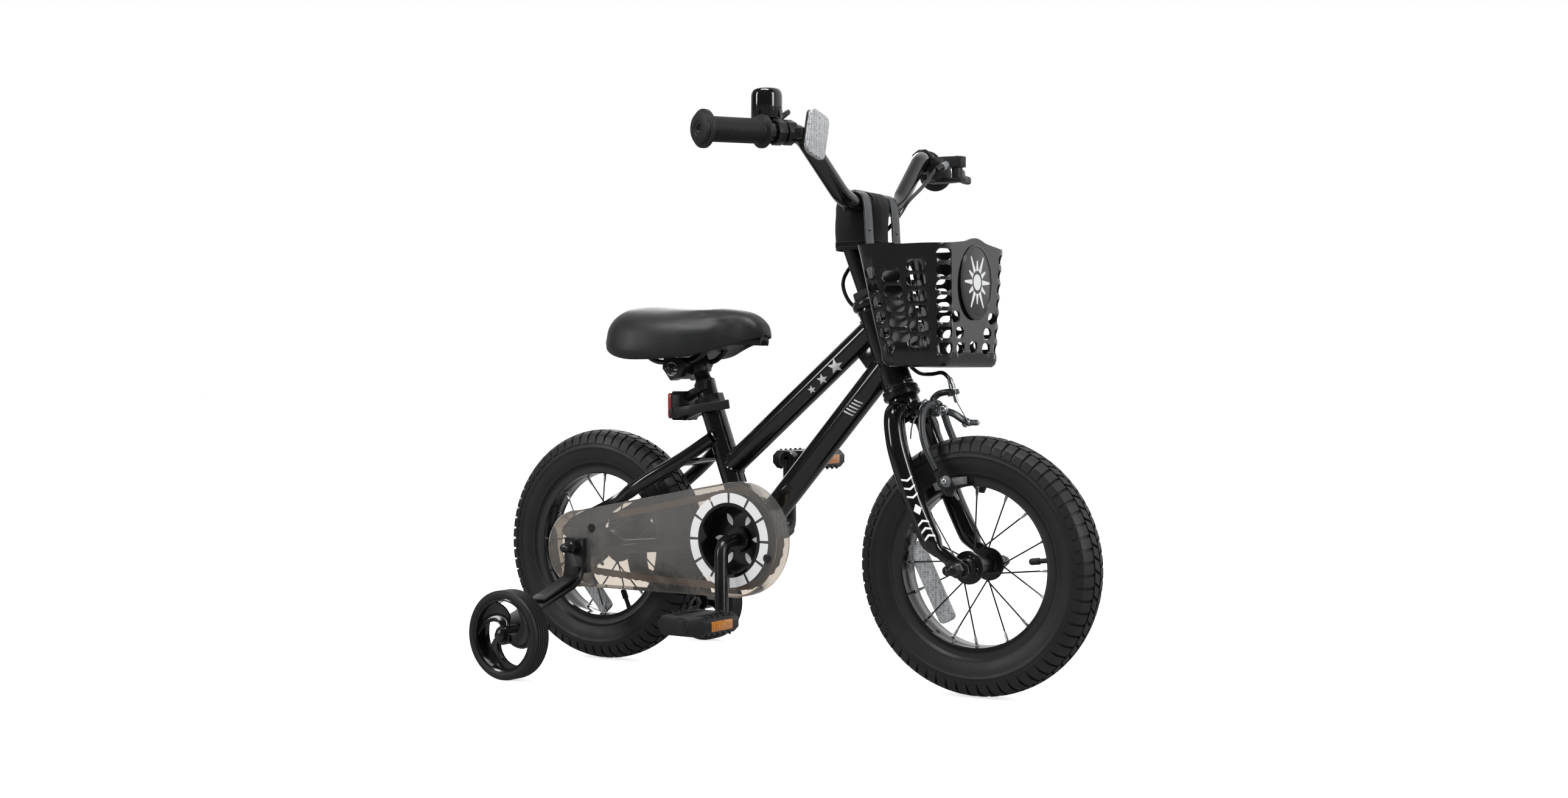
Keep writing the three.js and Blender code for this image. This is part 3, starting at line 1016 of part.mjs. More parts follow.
function collar() {
  const c = COLLAR;
  const foot = seatAt(0);
  const lug = (from, to) => {
    const centre = seatAt((c.from + c.to) / 2);
    const high = (c.to - c.from) / 2;
    const back = V(seatUp.z, 0, -seatUp.x).negate();
    const corners = [back.clone().multiplyScalar(c.bore), back.clone().multiplyScalar(c.lugLength)];
    const outline = [corners[0].clone().addScaledVector(seatUp, -high), corners[1].clone().addScaledVector(seatUp, -high),
      corners[1].clone().addScaledVector(seatUp, high), corners[0].clone().addScaledVector(seatUp, high)]
      .map((p) => [centre.x + p.x, centre.z + p.z]);
    return slabY(outline, from, to);
  };
  const [px, py, pz] = QR.pivot;
  const ears = cut(
    join(
      rod(seatAt(c.from), seatAt(c.to), c.radius, STEM.sides),
      lug(-c.lugHalf, c.lugHalf),
    ),
    rod(seatAt(c.from - OVER), foot, c.bore, STEM.sides),
    rod(foot.clone().addScaledVector(seatUp, -OVER), seatAt(c.to + OVER), facet(POST.radius + SEAT, STEM.sides), STEM.sides),
    slabY([[px - c.lugLength, pz - c.lugLength], [px + c.lugLength * 0.6, pz - c.lugLength],
      [px + c.lugLength * 0.6, pz + c.lugLength], [px - c.lugLength, pz + c.lugLength]], -c.slit, c.slit),
  );
  return join(
    ears,
    rodY(px, pz, py + QR.boss + SEAT, -c.lugHalf + c.slit, QR.boss, PIN_SIDES),
    rodY(px, pz, -c.lugHalf, c.lugHalf + QR.boss, c.skewer, PIN_SIDES),
    rodY(px, pz, c.lugHalf - c.slit, c.lugHalf + QR.boss, QR.boss, HEX),
  );
}

// The quick-release lever: a cam drum across the skewer's end and a curved blade.
function quickRelease() {
  const [px, py] = QR.pivot;
  const path = QR.path.map(([x, y]) => [x - px, y - py]);
  const rise = Math.atan2(QR.rise, path[path.length - 1][0]);
  const outlines = [stripOutline(path, QR.thick), ringPoints(QR.boss, STEM.sides)];
  return join(outlines.map((outline) => {
    const geometry = new THREE.ExtrudeGeometry(shapeOf(outline), { depth: QR.high - QR.low, bevelEnabled: false });
    return solid(geometry.rotateY(-rise).translate(px, py, QR.low));
  }));
}

function seatPost() {
  const profile = [[0, POST.low], [POST.radius, POST.low], [POST.radius, POST.shoulder], [POST.narrow, POST.neck],
    [POST.narrow, POST.top], [0, POST.top]];
  return turned(profile, POST.sides, at(SEAT_TUBE.to), seatUp);
}

function rearReflector() {
  const r = REAR_REFLECTOR;
  const box = slabX(moved(chamfered(2 * r.half, r.high - r.low, r.corner), [0, (r.high + r.low) / 2]), r.back, r.front);
  const band = seatAt((LAMP_BAND.from + LAMP_BAND.to) / 2);
  return cut(
    join(
      box,
      rod(seatAt(LAMP_BAND.from), seatAt(LAMP_BAND.to), LAMP_BAND.radius, STEM.sides),
      rod(V(r.front - OVER, 0, r.high - r.arm), band, r.arm, 8),
    ),
    rod(seatAt(LAMP_BAND.from - 3 * OVER), seatAt(LAMP_BAND.to + 3 * OVER), facet(LAMP_BAND.bore, STEM.sides), STEM.sides),
    rod(seatAt(COLLAR.from - OVER), seatAt(COLLAR.to + SEAT), COLLAR.radius + SEAT, STEM.sides),
  );
}

function saddleClamp() {
  const c = CLAMP;
  const [x, z] = c.bolt;
  return cut(
    join(
      rod(seatAt(c.socketFrom), seatAt(c.socketTo), c.socket, STEM.sides),
      rodY(x, z, -c.cheekInner - OVER, c.cheekInner + OVER, c.drum, c.drumSides),
      sideSlab(c.cheek, c.cheekInner, c.cheekOuter, -1),
      sideSlab(c.cheek, c.cheekInner, c.cheekOuter, 1),
      rodY(x, z, -c.boltHalf, c.boltHalf, c.boltRadius, 8),
      rodY(x, z, -c.nutTo, c.nutTo, c.nut, 6),
    ),
    rod(seatAt(c.socketFrom - OVER), seatAt(POST.top + SEAT), facet(POST.narrow + SEAT, POST.sides), POST.sides),
    railWire(SEAT),
  );
}

// The saddle wire, bent round at the nose, with a bar across its rear ends.
function railWire(grow = 0) {
  const half = RAIL.points.map(([x, z]) => V(x, RAIL.side, z));
  const other = RAIL.points.map(([x, z]) => V(x, -RAIL.side, z)).reverse();
  return tube(half.concat(other), RAIL.radius + grow, RAIL.sides);
}

function rails() {
  const [x, z] = RAIL.points[0];
  return join(railWire(), rodY(x, z, -RAIL.side, RAIL.side, RAIL.radius, RAIL.sides));
}

// Saddle rings: crowned on top, drawn in below the widest line; inset shrinks them for the hollow.
function saddleRing([x, half, top, foot], insetSide, insetTop, drop) {
  const share = SADDLE.crownShare;
  return ringPoints(1, SADDLE.sides).map(([c, s]) => {
    const wide = Math.max(half - insetSide, OVER);
    const y = Math.sign(c) * Math.abs(c) ** 0.8 * wide * (s < 0 ? SADDLE.flareShare + (1 - SADDLE.flareShare) * (1 + s) : 1);
    const high = Math.max(top - insetTop - (foot - drop), OVER);
    const level = s > 0 ? share + (1 - share) * Math.abs(s) ** 0.85 : share * (1 - Math.abs(s) ** 0.8);
    return V(x, y, foot - drop + high * (s < 0 ? Math.max(level, 0) : level));
  });
}

function saddle() {
  const s = SADDLE;
  const inner = s.stations.filter((_, k) => k % 2 === 1);
  const outer = loft(s.stations.map((station) => saddleRing(station, 0, 0, 0)));
  const hollow = loft(inner.map((station) => saddleRing(station, s.skirt, s.cushion, 3 * s.skirt)));
  const filling = loft(inner.map((station) => saddleRing(station, s.skirt + s.baseRoom, s.cushion + s.baseRoom, 3 * s.skirt)));
  const below = loft(inner.map((station) => saddleRing(station, s.skirt + s.baseRoom + OVER, s.cushion + s.baseRoom + s.base,
    5 * s.skirt)));
  const cover = cut(outer, hollow);
  const [foot] = RAIL.points.map(([, z]) => z + RAIL.radius + SEAT);
  const sockets = [RAIL.points[0][0], RAIL.nose[0]].flatMap((x) => [-1, 1].map((side) => rod(
    V(x, side * RAIL.side, foot), V(x, side * RAIL.side, foot + s.cushion + s.base), s.socket, HEX,
  )));
  const base = join(cut(filling, below), sockets.map((socket) => socket.intersect(filling)));
  return { cover, base };
}

function trainerWheel(side) {
  const w = TRAINER_WHEEL;
  const centre = V(TRAINER.x, side * TRAINER.y, TRAINER.z);
  const band = ring(facet(w.rim, TRAINER.sides), w.rimInner, -w.rimHalf, w.rimHalf, TRAINER.sides, centre);
  const bore = facet(w.bore, w.hubSides);
  const hub = ring(w.hub, bore, -w.hubHalf, w.hubHalf, w.hubSides, centre);
  const reach = rodY(TRAINER.x, TRAINER.z, side * (TRAINER.y - w.hubHalf), side * (TRAINER.y + w.hubHalf), w.bladeEdge,
    TRAINER.sides);
  const blades = Array.from({ length: w.blades }, (_, k) => {
    const start = TURN * k / w.blades + Math.PI / 2;
    const path = [0, 0.5, 1].map((share) => {
      const angle = start + THREE.MathUtils.degToRad(w.bladeSweep) * share * share;
      const reach = w.bladeFoot + (w.bladeTip - w.bladeFoot) * share;
      return [TRAINER.x + reach * Math.cos(angle), TRAINER.z + reach * Math.sin(angle)];
    });
    return sideSlab(stripOutline(path, w.bladeWidth), TRAINER.y - w.blade, TRAINER.y + w.blade, side).intersect(reach);
  });
  return cut(join(band, hub, blades), rodY(TRAINER.x, TRAINER.z, side * (TRAINER.y - w.rimHalf - OVER),
    side * (TRAINER.y + w.rimHalf + OVER), bore, w.hubSides));
}

function trainerTyre(side) {
  const profile = TRAINER_TYRE.concat([TRAINER_TYRE[0]]).map(([r, h]) => [facet(r, TRAINER.sides), h]);
  return turned(profile, TRAINER.sides, V(TRAINER.x, side * TRAINER.y, TRAINER.z));
}

function trainerBolt(side) {
  const b = TRAINER_BOLT;
  return join(
    rodY(TRAINER.x, TRAINER.z, side * b.from, side * b.to, b.radius, 8),
    rodY(TRAINER.x, TRAINER.z, side * b.headFrom, side * (b.to + b.radius / 2), b.head, 6),
    rodY(TRAINER.x, TRAINER.z, side * b.nutFrom, side * b.nutTo, b.nut, 6),
  );
}

function trainerBracket(side) {
  const a = TRAINER_ARM;
  const b = TRAINER_BRACE;
  const flip = (path) => path.map(([y, z]) => [y * side, z]);
  const strip = slabX(stripOutline(flip(a.path), a.thick), a.back, a.front);
  const flange = sideSlab([[a.front - a.flange, a.flangeLow], [a.front, a.flangeLow], [a.front, a.top],
    [a.front - a.flange, a.top]], a.plateOuter - a.thick - a.flangeDepth, a.plateOuter - a.thick / 2, side);
  const brace = slabX(stripOutline(flip(b.path), b.thick), b.back, b.front);
  const pocket = rodY(AXLE.rear, AXLE.height, side * (a.plateOuter - a.thick - OVER), side * (a.plateOuter + OVER),
    facet(REAR_AXLE.radius + SEAT, PIN_SIDES), PIN_SIDES);
  const boltHole = rodY(TRAINER.x, TRAINER.z, side * (TRAINER_BOLT.from - OVER), side * TRAINER.y,
    facet(TRAINER_BOLT.radius + SEAT, PIN_SIDES), PIN_SIDES);
  return cut(join(strip, flange, brace), pocket, boltHole);
}

const coat = (color, roughness, metalness = 0) => ({ color, roughness, metalness });
const GLOSS = coat(0x101113, 0.25, 0.1);
const MATTE = coat(0x1b1c1e, 0.75);
const TYRE_BLACK = coat(0x17181a, 0.85);
const ZINC = coat(0xb8bcc0, 0.35, 0.9);
const GREY = coat(0x55585c, 0.45, 0.6);
const SMOKE = coat(0x4a4642, 0.3);
const CLEAR = coat(0xd4d8da, 0.2);
const AMBER = coat(0x8a1512, 0.3);
const CLOTH = coat(0x141415, 0.95);

const group = new THREE.Group();

function add(name, body, look) {
  const mesh = body.getMesh();
  const geometry = new THREE.BufferGeometry();
  geometry.setAttribute('position', new THREE.BufferAttribute(new Float32Array(mesh.vertProperties), mesh.numProp));
  geometry.setIndex(new THREE.BufferAttribute(new Uint32Array(mesh.triVerts), 1));
  geometry.computeVertexNormals();
  const part = new THREE.Mesh(geometry, new THREE.MeshStandardMaterial(look));
  part.name = name;
  group.add(part);
}

add('frame', frame(), GLOSS);
const { low: lowCup, high: highCup, nut: lockNut } = headset();
add('headset_lower_cup', lowCup, GLOSS);
add('headset_upper_cup', highCup, GLOSS);
add('headset_locknut', lockNut, GLOSS);
add('fork', fork(), GLOSS);
add('stem', stem(), GLOSS);
add('handlebar', handlebar(), GLOSS);
add('handlebar_pad', barPad(), CLOTH);
add('basket', basket(), GLOSS);
add('front_reflector', frontReflector(), CLEAR);
add('front_reflector_bracket', reflectorBracket(), MATTE);
const { base: bellBase, cup: bellCup, striker } = bell();
add('bell_base', bellBase, MATTE);
add('bell_cup', bellCup, GLOSS);
add('bell_striker', striker, MATTE);
add('brake_lever_mount', leverMount(), MATTE);
add('brake_lever', lever(), MATTE);
add('brake_cable', cable(), MATTE);
add('caliper_bolt', caliperBolt(), ZINC);
add('caliper_spring', caliperSpring(), ZINC);

for (const [side, word] of [[-1, 'right'], [1, 'left']]) {
  add(`grip_${word}`, grip(side), MATTE);
  add(`basket_bracket_${word}`, basketBracket(side), GREY);
  add(`caliper_arm_${word}`, caliperArm(side), GREY);
  add(`brake_pad_${word}`, brakeShoe(side), GREY);
  add(`pedal_${word}`, pedal(side), MATTE);
  add(`training_bracket_${word}`, trainerBracket(side), GLOSS);
  add(`training_wheel_${word}`, trainerWheel(side), MATTE);
  add(`training_tyre_${word}`, trainerTyre(side), TYRE_BLACK);
  add(`training_bolt_${word}`, trainerBolt(side), ZINC);
}

for (const [x, word, hub, axle] of [[AXLE.front, 'front', frontHub, frontAxle], [AXLE.rear, 'rear', rearHub, rearAxle]]) {
  add(`${word}_tyre`, tyre(x), TYRE_BLACK);
  add(`${word}_rim`, rim(x), GLOSS);
  add(`${word}_hub`, hub(), GLOSS);
  add(`${word}_axle`, axle(), GLOSS);
}
add('front_wheel_reflector', wheelReflector(AXLE.front, REFLECTOR.front, REFLECTOR.frontTurn, REFLECTOR.frontHalf), CLEAR);
add('rear_wheel_reflector', wheelReflector(AXLE.rear, REFLECTOR.rear, REFLECTOR.rearTurn, REFLECTOR.rearHalf), CLEAR);

add('chain', chain(), ZINC);
add('chainring', chainring(), GLOSS);
add('rear_sprocket', sprocket(), ZINC);
add('crank', crank(), GLOSS);
add('chain_case', chainCase(), SMOKE);
add('seat_collar', collar(), GLOSS);
add('seat_quick_release', quickRelease(), MATTE);
add('seat_post', seatPost(), GLOSS);
add('rear_reflector', rearReflector(), AMBER);
add('saddle_clamp', saddleClamp(), GLOSS);
add('saddle_rails', rails(), GLOSS);
const { cover, base } = saddle();
add('saddle_cover', cover, CLOTH);
add('saddle_base', base, MATTE);

export default group;
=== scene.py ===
"""Looks of a kids bike with training wheels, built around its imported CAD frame.

Lengths in the tables are millimetres; +X is forward, +Y the bike's left, +Z up.
"""
import math

import bmesh
import bpy
from mathutils import Matrix, Vector, noise


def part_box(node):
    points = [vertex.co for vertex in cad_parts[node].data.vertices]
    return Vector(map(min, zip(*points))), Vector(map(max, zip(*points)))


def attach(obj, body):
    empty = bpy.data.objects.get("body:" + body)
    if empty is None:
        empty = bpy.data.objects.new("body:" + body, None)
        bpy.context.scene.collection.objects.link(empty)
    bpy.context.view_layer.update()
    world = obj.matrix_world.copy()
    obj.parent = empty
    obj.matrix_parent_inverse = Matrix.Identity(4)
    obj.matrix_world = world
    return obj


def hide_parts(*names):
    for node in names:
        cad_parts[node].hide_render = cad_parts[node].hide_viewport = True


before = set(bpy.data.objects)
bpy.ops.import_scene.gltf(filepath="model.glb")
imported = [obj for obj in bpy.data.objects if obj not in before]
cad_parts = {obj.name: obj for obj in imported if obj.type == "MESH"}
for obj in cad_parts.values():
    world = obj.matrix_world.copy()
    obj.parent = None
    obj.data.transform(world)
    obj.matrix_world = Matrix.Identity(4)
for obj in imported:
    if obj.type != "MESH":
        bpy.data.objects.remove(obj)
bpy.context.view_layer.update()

bl_info = {
    "name": "Kids bike looks",
    "version": (1, 0, 0),
    "blender": (4, 5, 0),
    "location": "3D View > Sidebar > Bike",
    "description": "Builds the visual model of a kids bike with training wheels around its CAD frame",
    "category": "Object",
}

MM = 0.001
TURN = math.tau
X, Y, Z = Vector((1, 0, 0)), Vector((0, 1, 0)), Vector((0, 0, 1))
SIDES = {"right": -1, "left": 1}
GROOVE_SHARE = 0.88
RIPPLE_SHARE = 0.22


# Shapes

def place(part, matrix):
    """Moves a part and returns it."""
    bmesh.ops.transform(part, matrix=matrix, verts=part.verts)
    return part


def poured(whole, part):
    """Adds a part to a whole and lets the part go."""
    held = bpy.data.meshes.new("held")
    part.to_mesh(held)
    part.free()
    whole.from_mesh(held)
    bpy.data.meshes.remove(held)


def points_of(made):
    """The points among what an operator made."""
    return [g for g in made if isinstance(g, bmesh.types.BMVert)]


def ring_of(part, spots):
    """The edges of a new closed loop through spots."""
    verts = [part.verts.new(spot) for spot in spots]
    return [part.edges.new(pair) for pair in zip(verts, verts[1:] + verts[:1])]


def ramp(value, low, high):
    """0 below low, 1 above high, and even between them."""
    return min(1.0, max(0.0, (value - low) / (high - low)))


def polar(radius, angle, centre=(0, 0)):
    """A spot on a circle, as a pair."""
    return centre[0] + radius * math.cos(angle), centre[1] + radius * math.sin(angle)


def turned_flat(points, angle, centre=(0, 0)):
    """A flat outline turned about the origin and moved to a centre."""
    c, s = math.cos(angle), math.sin(angle)
    return [(centre[0] + u * c - v * s, centre[1] + u * s + v * c) for u, v in points]


def aim(foot, along):
    """The matrix that stands +Z on a foot, along a direction."""
    turn = Z.rotation_difference(Vector(along))
    return Matrix.Translation(Vector(foot)) @ turn.to_matrix().to_4x4()


def clean(part, merge=1e-3):
    """Merges doubles and turns the faces outwards."""
    bmesh.ops.remove_doubles(part, verts=part.verts, dist=merge)
    bmesh.ops.recalc_face_normals(part, faces=part.faces)
    return part


def eased(part, width, segments=2, limit=28):
    """Rounds the sharp edges of a part."""
    sharp = [e for e in part.edges if e.is_manifold and math.degrees(e.calc_face_angle(0)) > limit]
    bmesh.ops.bevel(part, geom=sharp, offset=width, offset_type="OFFSET", segments=segments, profile=0.5,
                    affect="EDGES", clamp_overlap=True, material=-1)
    return part


def turned(profile, foot=(0, 0, 0), along=(0, 0, 1), steps=48, closed=False):
    """A body of [radius, height] pairs, turned about a direction."""
    part = bmesh.new()
    verts = [part.verts.new((r, 0, h)) for r, h in profile]
    pairs = list(zip(verts, verts[1:])) + ([(verts[-1], verts[0])] if closed else [])
    edges = [part.edges.new(pair) for pair in pairs]
    bmesh.ops.spin(part, geom=verts + edges, cent=(0, 0, 0), axis=(0, 0, 1), angle=TURN, steps=steps,
                   use_merge=True, use_normal_flip=False, use_duplicate=False)
    clean(part)
    return place(part, aim(foot, along))


def ring_profile(inner, outer, low, high):
    """The section of a plain ring."""
    return [(inner, low), (outer, low), (outer, high), (inner, high)]


def rod(start, end, radius, sides=24, tip=None):
    """A round bar or cone between two points."""
    start, end = Vector(start), Vector(end)
    reach = (end - start).length
    tip = radius if tip is None else tip
    return turned([(0, 0), (radius, 0), (tip, reach), (0, reach)], start, end - start, sides)


def path_frames(path, side):
    """Turning frames along a path that twist as little as they can."""
    path = [Vector(p) for p in path]
    tangents = []
    for k, here in enumerate(path):
        before, after = path[max(k - 1, 0)], path[min(k + 1, len(path) - 1)]
        tangents.append((after - before).normalized())
    across = Vector(side) if side is not None else tangents[0].orthogonal()
    across = (across - tangents[0] * across.dot(tangents[0])).normalized()
    frames = []
    for k, (here, tangent) in enumerate(zip(path, tangents)):
        if k:
            across = tangents[k - 1].rotation_difference(tangent) @ across
            across = (across - tangent * across.dot(tangent)).normalized()
        third = tangent.cross(across)
        basis = Matrix((across, third, tangent)).transposed().to_4x4()
        frames.append(Matrix.Translation(here) @ basis)
    return frames


def sweep(path, radius, sides=24, section=None, side=None, looped=False):
    """A bar along a path; radius may change from point to point, and scales a section if one is given."""
    part = bmesh.new()
    radii = radius if isinstance(radius, (list, tuple)) else [radius] * len(path)
    if section:
        edges = ring_of(part, [(u, v, 0) for u, v in section])
    else:
        bmesh.ops.create_circle(part, cap_ends=False, radius=1, segments=sides)
        edges = list(part.edges)
    frames = [m @ Matrix.Diagonal((r, r, 1, 1)) for m, r in zip(path_frames(path, side), radii)]
    if looped:
        frames.append(frames[0])
    place(part, frames[0])
    first = edges
    for before, here in zip(frames, frames[1:]):
        fresh = points_of(bmesh.ops.extrude_edge_only(part, edges=edges)["geom"])
        held = set(fresh)
        edges = [e for e in {e for v in fresh for e in v.link_edges} if all(v in held for v in e.verts)]
        bmesh.ops.transform(part, matrix=here @ before.inverted(), verts=fresh)
    if not looped:
        for rim_edges in (first, edges):
            bmesh.ops.edgeloop_fill(part, edges=rim_edges)
    return clean(part, 1e-4)


def lofted(rings, filled=2):
    """A skin through closed rings of points, with its first end or both ends filled."""
    part = bmesh.new()
    loops = [ring_of(part, ring) for ring in rings]
    for low, high in zip(loops, loops[1:]):
        bmesh.ops.bridge_loops(part, edges=low + high)
    for loop in (loops[0], loops[-1])[:filled]:
        bmesh.ops.edgeloop_fill(part, edges=loop)
    return part


def flat_section(width, thick, corner):
    """A rounded rectangle, for a strip's section."""
    return rounded_box(width, thick, corner, 3)


def rounded_box(width, height, corner, steps=5):
    """A rectangle with round corners, about the origin."""
    points = []
    for k, (sx, sy) in enumerate(((1, 1), (-1, 1), (-1, -1), (1, -1))):
        middle = (sx * (width / 2 - corner), sy * (height / 2 - corner))
        points += [polar(corner, TURN / 4 * (k + i / steps), middle) for i in range(steps + 1)]
    return points


def oval(half_u, half_v, steps):
    """An ellipse about the origin."""
    return [(half_u * math.cos(TURN * k / steps), half_v * math.sin(TURN * k / steps)) for k in range(steps)]


def rounded_path(corners, reach, steps=6):
    """A path that turns its corners on arcs of the given reach."""
    corners = [Vector(c) for c in corners]
    path = [corners[0]]
    for k in range(1, len(corners) - 1):
        here = corners[k]
        room = reach[(k - 1) % len(reach)] if isinstance(reach, (list, tuple)) else reach
        a = here + (corners[k - 1] - here).normalized() * room
        b = here + (corners[k + 1] - here).normalized() * room
        for i in range(steps + 1):
            t = i / steps
            path.append(a * (1 - t) ** 2 + here * 2 * t * (1 - t) + b * t ** 2)
    return path + [corners[-1]]


def between(low, high, start, end, t):
    """Where a straight course that is at start when t is low and at end when it is high has come to."""
    return start * ((high - t) / (high - low)) + end * ((t - low) / (high - low))


def smooth_path(points, steps=8, looped=False):
    """A centripetal curve through points, with so many steps between neighbours."""
    points = [Vector(p) for p in points]
    if looped:
        ends = [points[-1]] + points + points[:2]
    else:
        ends = [points[0] * 2 - points[1]] + points + [points[-1] * 2 - points[-2]]
    path = []
    for a, b, c, d in zip(ends, ends[1:], ends[2:], ends[3:]):
        knots = [0.0]
        for p, q in ((a, b), (b, c), (c, d)):
            knots.append(knots[-1] + max((q - p).length, 1e-6) ** 0.5)
        for i in range(steps):
            t = knots[1] + (knots[2] - knots[1]) * i / steps
            level = [a, b, c, d]
            for gap in (1, 2):
                level = [between(*span, t) for span in zip(knots, knots[gap:], level, level[1:])]
            path.append(between(knots[1], knots[2], *level, t))
    return path if looped else path + [points[-1]]


def slab(outline, low, high, normal="y", holes=(), ease=0.6, segments=2):
    """An outline with holes, thickened between two heights along an axis."""
    order = {"x": (2, 0, 1), "y": (0, 2, 1), "z": (0, 1, 2)}[normal]
    part = bmesh.new()
    edges = []
    for loop in [outline, *holes]:
        edges += ring_of(part, [[(u, v, low)[k] for k in order] for u, v in loop])
    if holes:
        bmesh.ops.triangle_fill(part, use_beauty=True, use_dissolve=False, edges=edges)
    else:
        bmesh.ops.contextual_create(part, geom=edges)
    made = bmesh.ops.extrude_face_region(part, geom=list(part.faces))["geom"]
    lift = {"x": X, "y": Y, "z": Z}[normal] * (high - low)
    bmesh.ops.translate(part, vec=lift, verts=points_of(made))
    clean(part, 1e-4)
    return eased(part, ease, segments) if ease else part


def knurled(foot, along, radius, length, teeth):
    """A barrel with lengthwise grooves."""
    steps = 4 * teeth
    outline = [polar(radius * (1 if k % 4 < 2 else GROOVE_SHARE), TURN * k / steps) for k in range(steps)]
    return place(slab(outline, 0, length, "z", ease=0), aim(foot, along))


def mirrored(span, side):
    """Low and high along Y on the left, or on the right as seen in a mirror."""
    return span if side > 0 else (-span[1], -span[0])


def block(size, centre, turn=None, ease=0.8):
    """A box with rounded edges."""
    part = bmesh.new()
    bmesh.ops.create_cube(part, size=1)
    place(part, Matrix.Diagonal((*size, 1)))
    if ease:
        eased(part, ease)
    return place(part, Matrix.Translation(Vector(centre)) @ (turn.to_4x4() if turn else Matrix.Identity(4)))


def nut(foot, along, across, depth, sides=6):
    """A hexagon nut with chamfered corners."""
    r = across / math.cos(math.pi / sides)
    profile = [(0, 0), (r * 0.93, 0), (r, depth * 0.1), (r, depth * 0.88), (r * 0.9, depth), (0, depth)]
    return turned(profile, foot, along, sides)


def domed(foot, along, radius, length, steps=32):
    """A closed end cap: a short barrel with a round top."""
    straight = max(length - radius, length * 0.35)
    profile = [(0, 0), (radius, 0), (radius, straight)]
    profile += [(radius * math.cos(a), straight + (length - straight) * math.sin(a))
                for a in [TURN / 4 * k / 6 for k in range(1, 6)]] + [(0, length)]
    return turned(profile, foot, along, steps)


def refined(node, width=0.5, segments=2, flat=1.0):
    """A merged copy of a CAD node in millimetres, its flats made whole and its edges rounded."""
    part = bmesh.new()
    part.from_mesh(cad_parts[node].data)
    place(part, Matrix.Scale(1 / MM, 4))
    clean(part, 0.01)
    bmesh.ops.dissolve_limit(part, angle_limit=math.radians(flat), verts=part.verts, edges=part.edges)
    return eased(part, width, segments) if width else part


def cylinder_hit(point, along, foot, axis, radius):
    """How far along a line the skin of a cylinder is met, on its far side."""
    axis = axis.normalized()
    gap = point - foot
    way = along - axis * along.dot(axis)
    offset = gap - axis * gap.dot(axis)
    square, double = way.dot(way), 2 * way.dot(offset)
    root = double * double - 4 * square * (offset.dot(offset) - radius * radius)
    if root < 0:
        return None
    return (-double + math.sqrt(root)) / (2 * square)


def weld(start, end, radius, foot, axis, skin, bead=1.7, count=72):
    """A rippled bead where a tube that leaves start for end comes out of a round skin."""
    start, end, foot, axis = Vector(start), Vector(end), Vector(foot), Vector(axis)
    along = (end - start).normalized()
    turn = Z.rotation_difference(along)
    path = []
    for k in range(count):
        spot = start + turn @ Vector((*polar(radius, TURN * k / count), 0))
        reach = cylinder_hit(spot, along, foot, axis, skin)
        if reach is None:
            reach = (path[-1] - start).dot(along) if path else 0
        path.append(spot + along * reach)
    radii = [bead * (1 + RIPPLE_SHARE * math.sin(k * TURN / 4)) for k in range(count)]
    return sweep(path, radii, 8, looped=True)


def swollen(part, cap, free, pressure=4.0, last=20):
    """Swells a closed soft form with simulated cloth; free says how far each point may follow, 0 to 1."""
    place(part, Matrix.Scale(MM, 4))
    held = bpy.data.meshes.new("swelling")
    part.to_mesh(held)
    cushion = bpy.data.objects.new("swelling", held)
    bpy.context.scene.collection.objects.link(cushion)
    cloth = cushion.modifiers.new("swelling", "CLOTH")
    cloth.settings.use_pressure = True
    cloth.settings.uniform_pressure_force = pressure
    cloth.settings.effector_weights.gravity = 0
    cloth.settings.tension_stiffness = cloth.settings.compression_stiffness = 30
    cloth.collision_settings.use_collision = False
    for step in range(1, last + 1):
        bpy.context.scene.frame_set(step)
    shape = cushion.evaluated_get(bpy.context.evaluated_depsgraph_get()).data
    place(part, Matrix.Scale(1 / MM, 4))
    for v, after in zip(part.verts, shape.vertices):
        move = after.co / MM - v.co
        v.co += move.normalized() * min(move.length, cap) * free(v.co)
    bpy.data.objects.remove(cushion)
    bpy.data.meshes.remove(held)
    bpy.context.scene.frame_set(1)
    return part


class Piece:
    """A visible piece in the making: parts in millimetres, each with its material."""

    def __init__(self, *materials):
        self.mesh = bmesh.new()
        self.materials = materials

    def add(self, part, slot=0):
        """Adds a part in one of the piece's materials."""
        for face in part.faces:
            face.material_index = slot
            face.smooth = True
        poured(self.mesh, part)
        return self

    def done(self, name, body, *nodes, slot=None, crease=32):
        """Makes the object, and lets it ride on a body in the place of the CAD nodes."""
        for edge in self.mesh.edges:
            edge.smooth = not (edge.is_manifold and math.degrees(edge.calc_face_angle(0)) > crease)
        place(self.mesh, Matrix.Scale(MM, 4))
        data = bpy.data.meshes.new(name)
        self.mesh.to_mesh(data)
        self.mesh.free()
        for material in self.materials:
            data.materials.append(look(material))
        made = bpy.data.objects.new(name, data)
        bpy.context.scene.collection.objects.link(made)
        if body:
            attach(made, body)
        if nodes:
            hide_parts(*nodes)
        return made


# Materials

